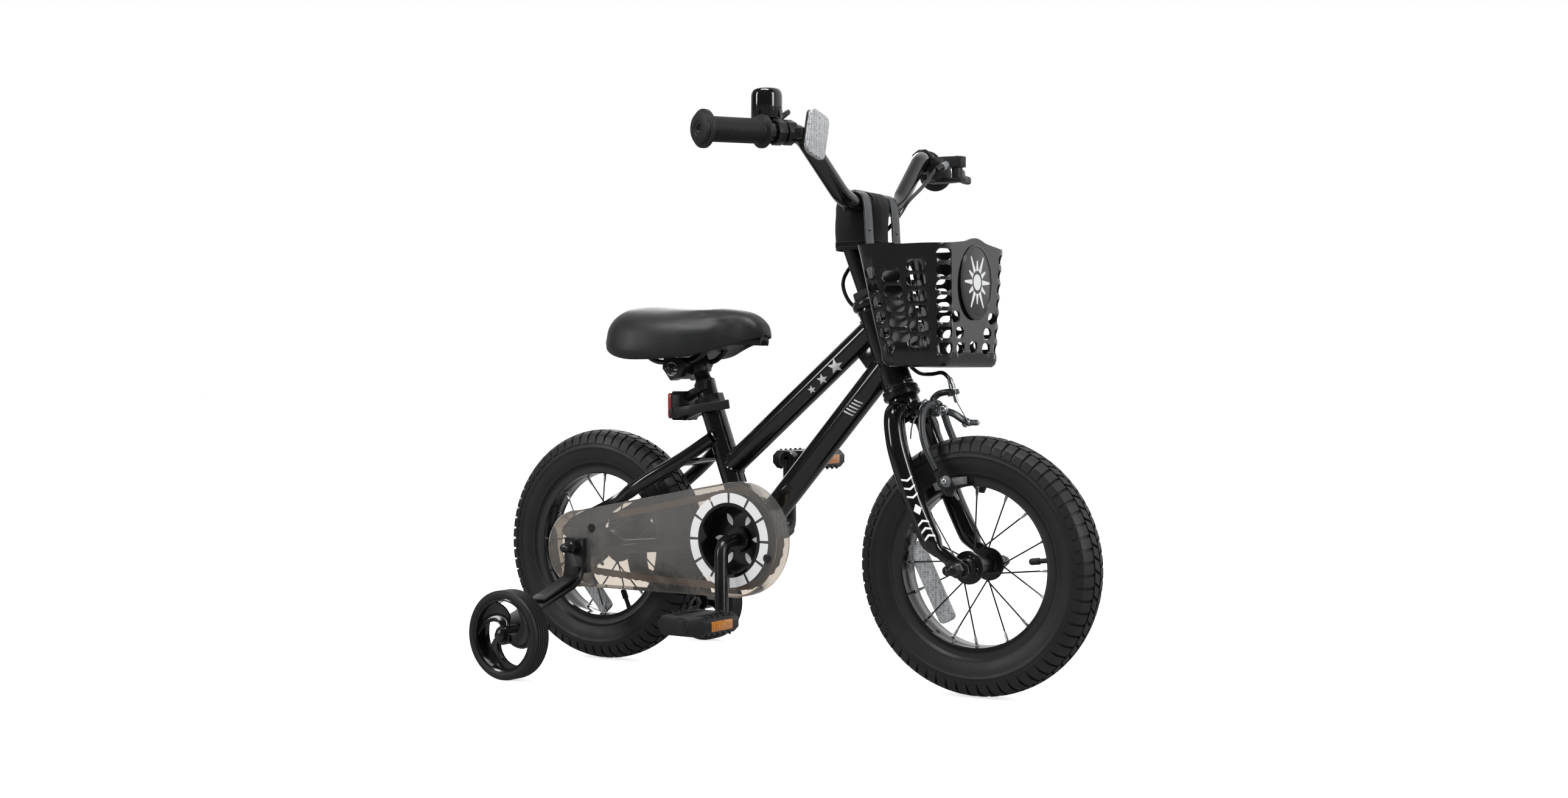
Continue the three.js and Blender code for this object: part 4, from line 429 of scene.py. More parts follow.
class Value:
    """A socket of a material on which plain arithmetic works."""

    def __init__(self, tree, end):
        self.tree, self.end = tree, end

    def node(self, kind, settings=None, out=0, **ends):
        """Any other node: its settings first, then its sockets by name or number."""
        made = self.tree.nodes.new("ShaderNode" + kind)
        for key, value in (settings or {}).items():
            setattr(made, key, value)
        for key, value in ends.items():
            target = made.inputs[int(key[1:]) if key[1:].isdigit() else key.replace("_", " ")]
            if isinstance(value, Value):
                self.tree.links.new(value.end, target)
            else:
                target.default_value = value
        return Value(self.tree, made.outputs[out])

    def math(self, operation, *others):
        ends = {f"i{k + 1}": value for k, value in enumerate(others)}
        return self.node("Math", {"operation": operation}, i0=self, **ends)

    def __add__(self, other):
        return self.math("ADD", other)

    def __sub__(self, other):
        return self.math("SUBTRACT", other)

    def __rsub__(self, other):
        return self.math("MULTIPLY", -1.0).math("ADD", other)

    def __mul__(self, other):
        return self.math("MULTIPLY", other)

    def __truediv__(self, other):
        return self.math("DIVIDE", other)

    __radd__, __rmul__ = __add__, __mul__

    def fit(self, low, high, start=0.0, end=1.0, smooth=False):
        """This value brought from one range to another, and kept inside it."""
        kind = {"interpolation_type": "SMOOTHSTEP" if smooth else "LINEAR", "clamp": True}
        return self.node("MapRange", kind, i0=self, i1=low, i2=high, i3=start, i4=end)

    def noise(self, scale, detail=4.0, rough=0.55):
        return self.node("TexNoise", None, Vector=self, Scale=scale, Detail=detail, Roughness=rough)

    def cells(self, scale, feature="F1", out="Distance", random=1.0, shape="EUCLIDEAN"):
        settings = {"feature": feature}
        if feature == "F1":
            settings["distance"] = shape
        return self.node("TexVoronoi", settings, out, Vector=self, Scale=scale, Randomness=random)

    def mapped(self, turn=(0, 0, 0), scale=(1, 1, 1), move=(0, 0, 0)):
        return self.node("Mapping", None, Vector=self, Location=move, Rotation=turn, Scale=scale)

    def blend(self, dark, light):
        """A colour between two, by this value."""
        ends = {"i0": self, "i6": colour(dark), "i7": colour(light)}
        return self.node("Mix", {"data_type": "RGBA"}, 2, **ends)

    def axis(self, name):
        return self.node("SeparateXYZ", None, "XYZ".index(name), Vector=self)


def colour(value):
    return value if isinstance(value, Value) else (*value, 1.0)


def begin(name):
    """A new material with its object coordinates."""
    material = bpy.data.materials.new(name)
    material.use_nodes = True
    tree = material.node_tree
    tree.nodes.clear()
    start = Value(tree, None)
    return material, start.node("TexCoord", None, "Object")


def finish_look(material, spot, plain, bump=None, **varied):
    """Joins colour, roughness and bump to the surface; plain holds what is the same all over."""
    tree = material.node_tree
    shader = tree.nodes.new("ShaderNodeBsdfPrincipled")
    for key, value in plain.items():
        shader.inputs[key].default_value = value
    for key, value in varied.items():
        tree.links.new(value.end, shader.inputs[key.replace("_", " ")])
    if bump:
        height, strength, distance = bump
        normal = spot.node("Bump", None, Height=height, Strength=strength, Distance=distance * MM)
        tree.links.new(normal.end, shader.inputs["Normal"])
    output = tree.nodes.new("ShaderNodeOutputMaterial")
    tree.links.new(shader.outputs[0], output.inputs["Surface"])
    return material


def make_paint(name, dark, light, rough, metal=0.0, coat=0.0, grain=900.0, depth=0.02, strength=0.25,
               sheen=0.0, extra=None):
    """A finish with broad smudges, fine grain and a little dust."""
    material, spot = begin(name)
    fine = spot.noise(grain, 3.0)
    dust = spot.noise(1400.0, 2.0).fit(0.68, 0.76)
    tone = (spot.noise(9.0, 3.0).fit(0.35, 0.7) * 0.8 + dust * 0.35).fit(0.0, 1.0)
    smudge = spot.noise(28.0, 5.0, 0.6).fit(0.3, 0.75, *rough)
    height = extra(spot, fine) if extra else fine
    plain = {"Metallic": metal, "Coat Weight": coat, "Coat Roughness": 0.06, "Sheen Weight": sheen,
             "Sheen Roughness": 0.5}
    return finish_look(material, spot, plain, (height, strength, depth), Base_Color=tone.blend(dark, light),
                       Roughness=smudge)


def leather(spot, fine):
    """Fine leather grain: small cells with soft creases."""
    drift = spot.node("TexNoise", None, "Color", Vector=spot, Scale=220.0)
    push = drift.node("VectorMath", {"operation": "SCALE"}, i0=drift, Scale=0.002)
    bent = spot.node("VectorMath", {"operation": "ADD"}, i0=spot, i1=push)
    crease = bent.cells(720.0, "DISTANCE_TO_EDGE").fit(0.0, 0.32, smooth=True)
    return crease * 0.8 + fine * 0.2


def knit(spot, fine):
    """A close knit: two crossed rows of small loops."""
    rows, columns = [spot.node("TexWave", {"wave_type": "BANDS", "bands_direction": way}, Vector=spot,
                               Scale=330.0, Distortion=1.2) for way in "ZY"]
    return rows * columns + fine * 0.3


def moulded(spot, _fine):
    """The spark-eroded grain of a moulding, with its faint flow."""
    return spot.cells(1500.0, "SMOOTH_F1") * 0.6 + spot.noise(40.0, 2.0) * 0.5


def brushed(spot, fine):
    """Fine lines of drawn or ground metal."""
    return spot.mapped(scale=(1.0, 0.06, 1.0)).noise(1600.0, 4.0) * 0.7 + fine * 0.3


def make_prism(name, dark, light, size):
    """A reflector's moulded grid of small prisms, whose colour holds painted light: a painted glint that
    makes each prism lighter or darker at random, and painted shading that lightens each prism towards its
    edges.
    """
    material, spot = begin(name)
    grid = spot.mapped(turn=(0.0, 0.0, math.radians(33)))
    cell = grid.cells(1.0 / size, "F1", "Color", 0.0, "CHEBYCHEV")
    facet_height_and_painted_shade = grid.cells(1.0 / size, "F1", "Distance", 0.0, "CHEBYCHEV")
    spark = cell.node("TexWhiteNoise", {"noise_dimensions": "3D"}, 0, Vector=cell)
    # Painted light: the base colour mixes each prism's random painted glint with painted shading across it;
    # the same values also set the roughness and the bump.
    tone = spark.fit(0.1, 0.9) * 0.35 + facet_height_and_painted_shade.fit(0.1, 0.5) * 0.65
    plain = {"Coat Weight": 0.9, "Coat Roughness": 0.04, "IOR": 1.5}
    return finish_look(material, spot, plain, (facet_height_and_painted_shade, 0.6, 0.5), Base_Color=tone.blend(dark, light),
                       Roughness=spark.fit(0.0, 1.0, 0.12, 0.34))


SMOKE = {
    "clear": ((0.46, 0.405, 0.345), (0.52, 0.465, 0.4)), "haze": ((0.36, 0.36, 0.362), (0.44, 0.44, 0.442))}


def make_smoke(name):
    """Smoke-brown clear plastic with faint flow lines, dust and a grey haze that thins towards its foot."""
    material, spot = begin(name)
    dust = spot.noise(1200.0, 2.0).fit(0.7, 0.78)
    tone = (spot.noise(7.0, 3.0).fit(0.3, 0.7) * 0.7 + dust * 0.6).fit(0.0, 1.0)
    plain = {"Transmission Weight": 1.0, "IOR": 1.22, "Coat Weight": 0.4, "Coat Roughness": 0.03}
    finish_look(material, spot, plain, (spot.noise(6.0, 1.0), 0.05, 0.3),
                Base_Color=tone.blend(*SMOKE["clear"]),
                Roughness=spot.noise(30.0, 4.0).fit(0.3, 0.8, 0.0, 0.015))
    tree = material.node_tree
    haze = tree.nodes.new("ShaderNodeBsdfPrincipled")
    haze.inputs["Roughness"].default_value = 0.6
    tree.links.new(tone.blend(*SMOKE["haze"]).end, haze.inputs["Base Color"])
    mix = tree.nodes.new("ShaderNodeMixShader")
    surface = next(n for n in tree.nodes if n.type == "OUTPUT_MATERIAL").inputs["Surface"]
    share = tone.fit(0.0, 1.0, 0.17, 0.25) * spot.axis("Z").fit(0.12, 0.19, 0.45, 1.0)
    tree.links.new(share.end, mix.inputs[0])
    tree.links.new(surface.links[0].from_socket, mix.inputs[1])
    tree.links.new(haze.outputs[0], mix.inputs[2])
    tree.links.new(mix.outputs[0], surface)
    return material


FLOOR = {"seen": ((0.86, 0.86, 0.865), (0.9, 0.9, 0.9)), "mirrored": (0.2, 0.2, 0.202),
         "glow": ((0.12, 0.12, 0.12), (1.0, 1.0, 1.0))}


def seen_rays(start):
    """1 for what the camera sees straight or through something clear, else 0."""
    straight = start.node("LightPath", None, "Is Camera Ray")
    through = start.node("LightPath", None, "Is Transmission Ray")
    return (straight + through).fit(0.0, 1.0)


def make_floor(name):
    """A pale studio floor that the camera sees white, and that glossy things mirror only faintly."""
    material, spot = begin(name)
    tone = spot.noise(2.0, 3.0)
    seen = seen_rays(spot)
    plain = {"Emission Strength": 0.7, "Specular IOR Level": 0.25}
    return finish_look(material, spot, plain,
                       Base_Color=seen.blend(FLOOR["mirrored"], tone.blend(*FLOOR["seen"])),
                       Roughness=tone.fit(0.3, 0.7, 0.42, 0.5), Emission_Color=seen.blend(*FLOOR["glow"]))


PAINTS = {
    "gloss_black": dict(rough=(0.1, 0.19), coat=0.6, grain=420.0, depth=0.015),
    "black_steel": dict(dark=(0.005, 0.005, 0.0055), light=(0.01, 0.01, 0.011), rough=(0.24, 0.38), coat=0.2,
                        grain=700.0),
    "rim_black": dict(dark=(0.006, 0.006, 0.0065), light=(0.011, 0.011, 0.012), rough=(0.14, 0.22), coat=0.6,
                      grain=500.0),
    "grey_steel": dict(dark=(0.075, 0.079, 0.083), light=(0.13, 0.134, 0.138), rough=(0.24, 0.36), metal=0.7,
                       grain=1100.0, extra=brushed),
    "zinc": dict(dark=(0.55, 0.58, 0.6), light=(0.8, 0.82, 0.84), rough=(0.14, 0.34), metal=1.0, grain=1300.0,
                 extra=brushed),
    "chain_steel": dict(dark=(0.24, 0.18, 0.14), light=(0.62, 0.52, 0.43), rough=(0.25, 0.42), metal=0.5),
    "black_plastic": dict(dark=(0.007, 0.007, 0.0075), light=(0.014, 0.014, 0.015), rough=(0.36, 0.5),
                          grain=1500.0, depth=0.04, strength=0.35, extra=moulded),
    "gloss_plastic": dict(dark=(0.004, 0.004, 0.0044), light=(0.009, 0.009, 0.0096), rough=(0.09, 0.18),
                          coat=0.3, grain=260.0, depth=0.03, strength=0.2),
    "plate_plastic": dict(dark=(0.03, 0.031, 0.033), light=(0.045, 0.046, 0.048), rough=(0.24, 0.36),
                          grain=500.0),
    "brake_rubber": dict(dark=(0.16, 0.165, 0.17), light=(0.25, 0.255, 0.26), rough=(0.3, 0.45), grain=600.0,
                         depth=0.05),
    "tyre_rubber": dict(dark=(0.008, 0.008, 0.0085), light=(0.017, 0.017, 0.018), rough=(0.42, 0.58),
                        depth=0.12, strength=0.5),
    "grip_rubber": dict(dark=(0.007, 0.007, 0.0072), light=(0.015, 0.015, 0.0155), rough=(0.45, 0.6),
                        grain=1200.0, depth=0.06, strength=0.4),
    "saddle_vinyl": dict(rough=(0.4, 0.52), grain=1500.0, depth=0.09, strength=0.4, extra=leather),
    "pad_cloth": dict(dark=(0.002, 0.002, 0.0022), light=(0.005, 0.005, 0.0053), rough=(0.85, 1.0), depth=0.2,
                      strength=0.6, sheen=0.08, extra=knit),
    "thread": dict(dark=(0.02, 0.02, 0.021), light=(0.045, 0.045, 0.047), rough=(0.6, 0.8), grain=2500.0,
                   depth=0.2, strength=0.8),
    "print_white": dict(dark=(0.93, 0.94, 0.95), light=(0.99, 0.99, 0.99), rough=(0.3, 0.45), grain=1400.0),
}
# Reflector lenses: dark and light bound the painted glints and painted facet shading in their colour.
PRISMS = {
    "clear_plastic": dict(dark=(0.13, 0.135, 0.14), light=(0.62, 0.64, 0.66), size=0.003),
    "amber_plastic": dict(dark=(0.3, 0.09, 0.01), light=(0.75, 0.27, 0.03), size=0.0028),
    "red_plastic": dict(dark=(0.25, 0.01, 0.01), light=(0.75, 0.03, 0.03), size=0.003),
}
LOOKS = {name: (make_paint, plan) for name, plan in PAINTS.items()}
LOOKS.update({name: (make_prism, plan) for name, plan in PRISMS.items()})
LOOKS.update({"smoke_plastic": (make_smoke, {}), "floor": (make_floor, {})})
# The finishes whose colour a user sets, and how bright their smudges are beside it.
CHOSEN = {"gloss_black": ("paint", 0.5), "saddle_vinyl": ("saddle", 0.53)}
_made = {}


def chosen(name):
    """The user's colour of a finish with that of its smudges, if it has one."""
    if name not in CHOSEN:
        return {}
    key, share = CHOSEN[name]
    light = tuple(getattr(bpy.context.scene.bike_finish, key))
    return {"dark": tuple(part * share for part in light), "light": light}


def look(name):
    """The named material, made once."""
    if name not in _made:
        make, plan = LOOKS[name]
        _made[name] = make(name + "_look", **plan, **chosen(name))
    return _made[name]


# Wheels

AXLE = {"front": Vector((282, 0, 155)), "rear": Vector((-282, 0, 155))}
TYRE_SIDE = [
    (102.6, 11.2), (105.5, 16.6), (109.6, 20.2), (110.8, 21.6), (112.2, 21.8), (117.5, 24.0), (124, 25.6),
    (129.6, 26.4), (130.6, 27.1), (132, 27.1), (133, 26.5), (137.6, 26.2), (141.5, 24.6), (145.4, 21.4),
    (148.6, 16.8), (150.9, 10.6), (152.1, 4.8)]
RIM_PROFILE = [
    (110, 18.4), (108.4, 18.8), (97.4, 17.0), (96, 15.6), (96, 6), (95.4, 4.6), (95.4, -4.6), (96, -6),
    (96, -15.6), (97.4, -17.0), (108.4, -18.8), (110, -18.4), (110, -16.2), (99.5, -12.2), (99.5, 12.2),
    (110, 16.2)]
FRONT_HUB_HALF = [
    (5.6, -40), (9.6, -40), (10.4, -38.6), (10.4, -36.4), (9.2, -35.6), (9.2, -34.4), (10.2, -33.6),
    (10.2, -32.4), (11.6, -31.4), (11.6, -28.6), (19.2, -28.4), (20, -27.6), (20, -25.6), (19.2, -24.9),
    (12, -24.4), (9.6, -22), (9, -12)]
REAR_HUB = [
    (5.6, -44), (10.6, -44), (11.4, -43), (11.4, -34), (12.2, -33.4), (17, -29), (25.2, -28.7), (26, -27.8),
    (26, -25.9), (25.2, -25), (17.4, -24.4), (16.2, -22), (16, -8), (16, 8), (16.2, 22), (17.4, 24.4),
    (25.2, 25), (26, 25.9), (26, 27.8), (25.2, 28.7), (17, 29), (14, 34), (13.4, 43), (12.6, 44), (5.6, 44)]
HUBS = {
    "front": {"foot": 12.5, "foot_side": 26.4,
              "profile": FRONT_HUB_HALF + [(r, -s) for r, s in reversed(FRONT_HUB_HALF)]},
    "rear": {"foot": 18.5, "foot_side": 26.6, "profile": REAR_HUB},
}
REFLECTORS = {"front": ((-63.5, -23), 0.472, 4.0), "rear": ((-32, -52), 0.72, 3.2)}
LENS = {"body": (22, 104, 6), "face": (16, 96, 4), "proud": 0.25}
VALVES = {"front": math.radians(7), "rear": math.radians(-66)}
LUGS = 64
CROWN_RADIUS, TREAD_MIDDLE = 152.3, 126
TREAD = {"radius": 152, "edge": 0.6, "fade": 6, "fade_share": 0.4, "sunk": 1.6, "taper": 0.35}
TYRE_HAIR = {"radius": 143.4, "side": 23.4, "thick": 0.35, "tip": 0.12, "length": 3.4, "spread": 1.4}
BEAD = [(104.6, 8), (140, 14), (140, -14), (104.6, -8)]
SPOKE = {"per_flange": 8, "lean": 0.62, "rim": 95.2, "rim_side": 4, "in_nipple": 9, "head_out": 2.2}
NIPPLE = [(0, 0), (2.5, 0), (2.5, 1.2), (2.0, 1.8), (1.9, 8), (1.45, 12.6), (0, 12.8)]
SPOKE_HEAD = [(0, -0.9), (1.9, -0.7), (2.2, 0), (1.4, 0.8), (0, 0.9)]
VALVE_FOOT = 97
VALVE_STEM = [(0, 0), (5.2, 0), (5.0, 1.6), (3.6, 3.4), (3.1, 8), (3.0, 19), (0, 19)]
VALVE_CAP = [(0, 17), (4.0, 17), (4.2, 17.8), (4.1, 28), (3.2, 29.6), (0, 29.8)]


def tyre_arc():
    """The tread's section from shoulder to shoulder, and how far along it each point is from the middle."""
    half = [(136.2, 26.6), (141.4, 24.8), (145.2, 21.6), (148.5, 17.0), (150.8, 10.8), (152, 5.0)]
    near = [(r, -s, 0) for r, s in half]
    far = [(r, s, 0) for r, s in reversed(half)]
    points = smooth_path(near + [(CROWN_RADIUS, 0, 0)] + far, 6)
    reach = [0.0]
    for a, b in zip(points, points[1:]):
        reach.append(reach[-1] + (b - a).length)
    middle = reach[-1] / 2
    return points, [r - middle for r in reach]


def on_tread(points, reach, across, height):
    """Radius and side of a spot on the tread, a height above the casing."""
    k = max(i for i in range(len(reach) - 1) if reach[i] <= max(across, reach[0]))
    spot = points[k].lerp(points[k + 1], (across - reach[k]) / (reach[k + 1] - reach[k]))
    along = (points[k + 1] - points[k]).normalized()
    normal = Vector((along.y, -along.x, 0))
    outward = Vector((spot.x - TREAD_MIDDLE, spot.y, 0))
    return spot + (normal if normal.dot(outward) >= 0 else -normal) * height


def tread_block(arc, block, side, height):
    """One block of the tread, bent over the casing: its foot is sunk in, and its top drawn in a little."""
    points, reach = arc
    low, high, start, length, shear = block
    edge = reach[-1] - TREAD["edge"]
    pitch = TURN * TREAD["radius"] / LUGS
    one = bmesh.new()
    bmesh.ops.create_grid(one, x_segments=2, y_segments=5, size=0.5)
    place(one, Matrix.Translation((0.5, 0.5, 0)))
    made = bmesh.ops.extrude_face_region(one, geom=list(one.faces))["geom"]
    bmesh.ops.translate(one, vec=Z, verts=points_of(made))
    clean(one, 1e-4)
    for v in one.verts:
        u = start + v.co.x * length + v.co.y * shear + (pitch / 2 if side > 0 else 0)
        u += TREAD["taper"] * v.co.z * (1 - 2 * v.co.x)
        across = side * (low + (high - low) * v.co.y)
        fade = 1.0 if across * side < edge - TREAD["fade"] else TREAD["fade_share"]
        spot = on_tread(points, reach, across, v.co.z * (TREAD["sunk"] + height * fade) - TREAD["sunk"])
        angle = u / TREAD["radius"]
        v.co = Vector((spot.x * math.cos(angle), spot.y, spot.x * math.sin(angle)))
    bmesh.ops.recalc_face_normals(one, faces=one.faces)
    return one


def tread(settings):
    """Shoulder lugs and a zigzag centre, one pitch of which is made and spun about the axle."""
    arc = tyre_arc()
    pitch = TURN * TREAD["radius"] / LUGS
    # Each block: from, to across the tread, start along it, length, shear along it.
    shoulder = (12.2, arc[1][-1] - TREAD["edge"], 0.0, pitch - 2.6, -1.6)
    centre = (1.4, 10.2, 0.3, pitch - 2.8, 5.2)
    part = bmesh.new()
    for side in (-1, 1):
        for block in (shoulder, centre):
            poured(part, tread_block(arc, block, side, settings.lug_height / MM))
    geom = list(part.verts) + list(part.edges) + list(part.faces)
    bmesh.ops.spin(part, geom=geom, cent=(0, 0, 0), axis=(0, 1, 0), angle=TURN * (LUGS - 1) / LUGS,
                   steps=LUGS - 1, use_duplicate=True, use_merge=False)
    return part


def tyre_hairs():
    """The moulding hairs of a new tyre, strewn evenly along both shoulders."""
    hairs = bmesh.new()
    for k in range(LUGS):
        for sign in (-1, 1):
            turn = noise.noise(Vector((k * 1.7, sign * 3.1, 0.5)))
            angle = TURN * (k + 0.35 + 0.3 * turn + (0.5 if sign > 0 else 0)) / LUGS
            out = Vector((math.cos(angle), 0, math.sin(angle)))
            foot = out * TYRE_HAIR["radius"] + Y * sign * TYRE_HAIR["side"]
            lean = (out * (0.5 + 0.4 * turn) + Y * sign).normalized()
            tip = foot + lean * (TYRE_HAIR["length"] + TYRE_HAIR["spread"] * turn)
            poured(hairs, rod(foot, tip, TYRE_HAIR["thick"], 5, TYRE_HAIR["tip"]))
    return hairs


def tyre(end, settings):
    """The casing with its printed ribs, the tread and the hairs."""
    side = smooth_path([(r, s, 0) for r, s in TYRE_SIDE], 2)
    outer = [(p.x, -p.y) for p in side] + [(CROWN_RADIUS, 0)] + [(p.x, p.y) for p in reversed(side)]
    made = Piece("tyre_rubber")
    made.add(turned(outer + BEAD, AXLE[end], Y, 128, closed=True))
    for part in (tread(settings), tyre_hairs()):
        made.add(place(part, Matrix.Translation(AXLE[end])))
    made.done(f"{end}_tyre_treaded", f"{end}_wheel", f"{end}_tyre")


def wheel_at(end, radius, side, angle):
    """A spot of a wheel at rest by radius, side and angle from forward towards up."""
    return AXLE[end] + Vector((radius * math.cos(angle), side, radius * math.sin(angle)))


def rim(end):
    made = Piece("rim_black")
    made.add(turned(RIM_PROFILE, AXLE[end], Y, 128, closed=True))
    made.done(f"{end}_rim_turned", f"{end}_wheel", f"{end}_rim")


def spokes(end, settings):
    """Wires laced from both flanges of the hub, with their heads and nipples."""
    wires = Piece("black_steel", "zinc")
    count = SPOKE["per_flange"]
    for flange in (-1, 1):
        for k in range(count):
            angle = TURN * (k + (0.5 if flange > 0 else 0)) / count
            lean = SPOKE["lean"] if k % 2 else -SPOKE["lean"]
            foot = wheel_at(end, HUBS[end]["foot"], HUBS[end]["foot_side"] * flange, angle + lean)
            tip = wheel_at(end, SPOKE["rim"], SPOKE["rim_side"] * flange, angle)
            inward = (foot - tip).normalized()
            wires.add(rod(foot, tip + inward * SPOKE["in_nipple"], settings.spoke_radius / MM, 10))
            wires.add(turned(NIPPLE, tip, inward, 12), 1)
            wires.add(turned(SPOKE_HEAD, foot + Y * flange * SPOKE["head_out"], Y * flange, 12))
    wires.done(f"{end}_spokes", f"{end}_wheel")


def valve(end):
    angle = VALVES[end]
    out = Vector((math.cos(angle), 0, math.sin(angle)))
    foot = AXLE[end] + out * VALVE_FOOT
    made = Piece("tyre_rubber", "black_plastic")
    made.add(turned(VALVE_STEM, foot, -out, 24))
    made.add(turned(VALVE_CAP, foot, -out, 12), 1)
    made.done(f"{end}_valve", f"{end}_wheel")


def hub(end):
    made = Piece("black_steel")
    made.add(turned(HUBS[end]["profile"], AXLE[end], Y, 48, closed=True))
    made.done(f"{end}_hub_turned", f"{end}_wheel", f"{end}_hub")


def wheel_reflector(end):
    """The lens among the spokes: its body with a face that stands a little proud on both sides."""
    (u, v), turn, half = REFLECTORS[end]
    proud = half + LENS["proud"]
    body = slab(rounded_box(*LENS["body"]), -half, half, "y", ease=1.2)
    face = slab(rounded_box(*LENS["face"]), -proud, proud, "y", ease=0.3)
    spin = Matrix.Translation(AXLE[end] + Vector((u, 0, v))) @ Matrix.Rotation(-turn, 4, "Y")
    made = Piece("clear_plastic")
    made.add(place(body, spin)).add(place(face, spin))
    made.done(f"{end}_wheel_reflector_prisms", f"{end}_wheel", f"{end}_wheel_reflector")


NUT_ACROSS = 8.2
AXLE_CAP = [(0, 0), (8.0, 0), (8.2, 0.8), (6.9, 2.2), (6.6, 8.5), (5.6, 12.6)]
AXLE_ENDS = {
    "front": {"body": "steering", "rod": 60, "nuts": [(50.8, 60)], "cap": (60, 75.5),
              "washers": [(50.4, 52)]},
    "rear": {"body": "frame_body", "rod": 84, "nuts": [(53.4, 65.7), (71.4, 80)], "cap": (80, 96),
             "washers": [(52.2, 53.5), (70.2, 71.5)]},
}


def axle(end):
    """The axle's rod with its nuts, washers and domed caps at both ends."""
    plan = AXLE_ENDS[end]
    made = Piece("black_steel", "zinc")
    for side in (-1, 1):
        foot, along = AXLE[end], Y * side
        made.add(turned([(0, 0), (4.6, 0), (4.6, plan["rod"]), (0, plan["rod"])], foot, along, 24), 1)
        for low, high in plan["nuts"]:
            made.add(nut(foot + along * low, along, NUT_ACROSS, high - low))
        low, high = plan["cap"]
        made.add(turned(AXLE_CAP + [(3.2, high - low - 0.7), (0, high - low)], foot + along * low, along, 32))
        for low, high in plan["washers"]:
            made.add(turned(ring_profile(5.2, 9.6, low, high), foot, along, 32, closed=True))
    made.done(f"{end}_axle_nuts", plan["body"], f"{end}_axle")


# Frame, fork and headset

HEAD_FOOT = Vector((175.8, 0, 361))
HEAD_UP = Vector((-math.sin(math.radians(21.4)), 0, math.cos(math.radians(21.4))))
SHELL = Vector((-36.8, 0, 175))
SEAT_LOW, SEAT_HIGH = Vector((-44.9, 0, 175)), Vector((-110.5, 0, 350))
SEAT_UP = (SEAT_HIGH - SEAT_LOW).normalized()
SEAT_STAY = [(-98, 14, 300), (-134, 32, 273), (-182, 49, 243.5), (-209, 51, 226.5), (-232, 50, 211)]
CHAIN_STAY = [
    (-50, 22, 172), (-100, 25, 168), (-134, 34, 164), (-182, 47, 160), (-220, 50, 157), (-246, 50, 156)]
DROPOUT = [
    (-296, 145), (-297, 149.7), (-281, 149.7), (-276.7, 152), (-276.7, 158), (-281, 160.3), (-298, 160.3),
    (-309, 165), (-318, 171), (-316, 179), (-300, 193), (-277, 203), (-242, 218), (-214, 233), (-207, 218),
    (-236, 200), (-246, 182), (-222, 170), (-212, 166), (-212, 148), (-252, 144), (-272, 139)]
TOP_RADIUS, DOWN_RADIUS, SEAT_RADIUS, SHELL_RADIUS, HEAD_RADIUS = 15, 17, 15.6, 24, 18.5
TOP = (Vector((-78.4, 0, 262.5)), Vector((140, 0, 444.2)), TOP_RADIUS)
DOWN = (Vector((-39.7, 0, 175)), Vector((158, 0, 397.3)), DOWN_RADIUS)
HEAD_TUBE = [
    (15.6, 6.3), (18.9, 6.3), (19.4, 7.2), (19.4, 10.5), (18.5, 11.6), (18.5, 106.6), (19.4, 107.8),
    (19.4, 111.2), (18.9, 112), (15.6, 112)]
SEAT_TUBE = [(13.9, 0), (15.6, 0), (15.6, 176), (16.2, 176.6), (16.2, 186.6), (13.9, 186.9)]
CRANK_SHELL = [
    (8.9, -33.5), (23, -33.5), (24, -32.5), (24, -30), (23.6, -29.4), (23.6, 29.4), (24, 30), (24, 32.5),
    (23, 33.5), (8.9, 33.5)]
STAY_RADIUS, STAY_TIP = 9, 4.0
SEAT_STAY_FADE, CHAIN_STAY_FADE = (-205, 5 / 27), (-216, 5 / 30)
DROPOUT_SPAN, GUSSET_SPAN = (47.5, 51.8), (-3, 3)
BRIDGE = {"size": (22, 68, 5), "at": (-128, 0, 270), "lean": math.radians(-20), "ease": 1.6}
GUSSET = [(116, 405), (146, 432), (160, 402), (140, 376)]
FORK_LEG = [
    (186, 6, 338), (186, 32, 336), (195, 45, 303), (212, 48, 255), (231, 49, 212), (251, 49, 177),
    (266, 48, 166)]
FORK_END = [
    (246, 186), (262, 178), (281, 166), (292, 160), (294, 150), (287.3, 143.5), (287.3, 157), (285, 160.6),
    (279, 160.6), (276.7, 157), (276.7, 143.5), (270, 147), (262, 160), (244, 172)]


def head_at(s):
    return HEAD_FOOT + HEAD_UP * s


def flip(points, side):
    return [(x, y * side, z) for x, y, z in points]


def stay(points, side, fade):
    """A stay that thins towards its dropout; fade is where it starts to, and by how much."""
    path = smooth_path(flip(points, side), 8)
    start, slope = fade
    return path, sweep(path, [max(STAY_TIP, STAY_RADIUS - slope * max(0, start - p.x)) for p in path], 28)


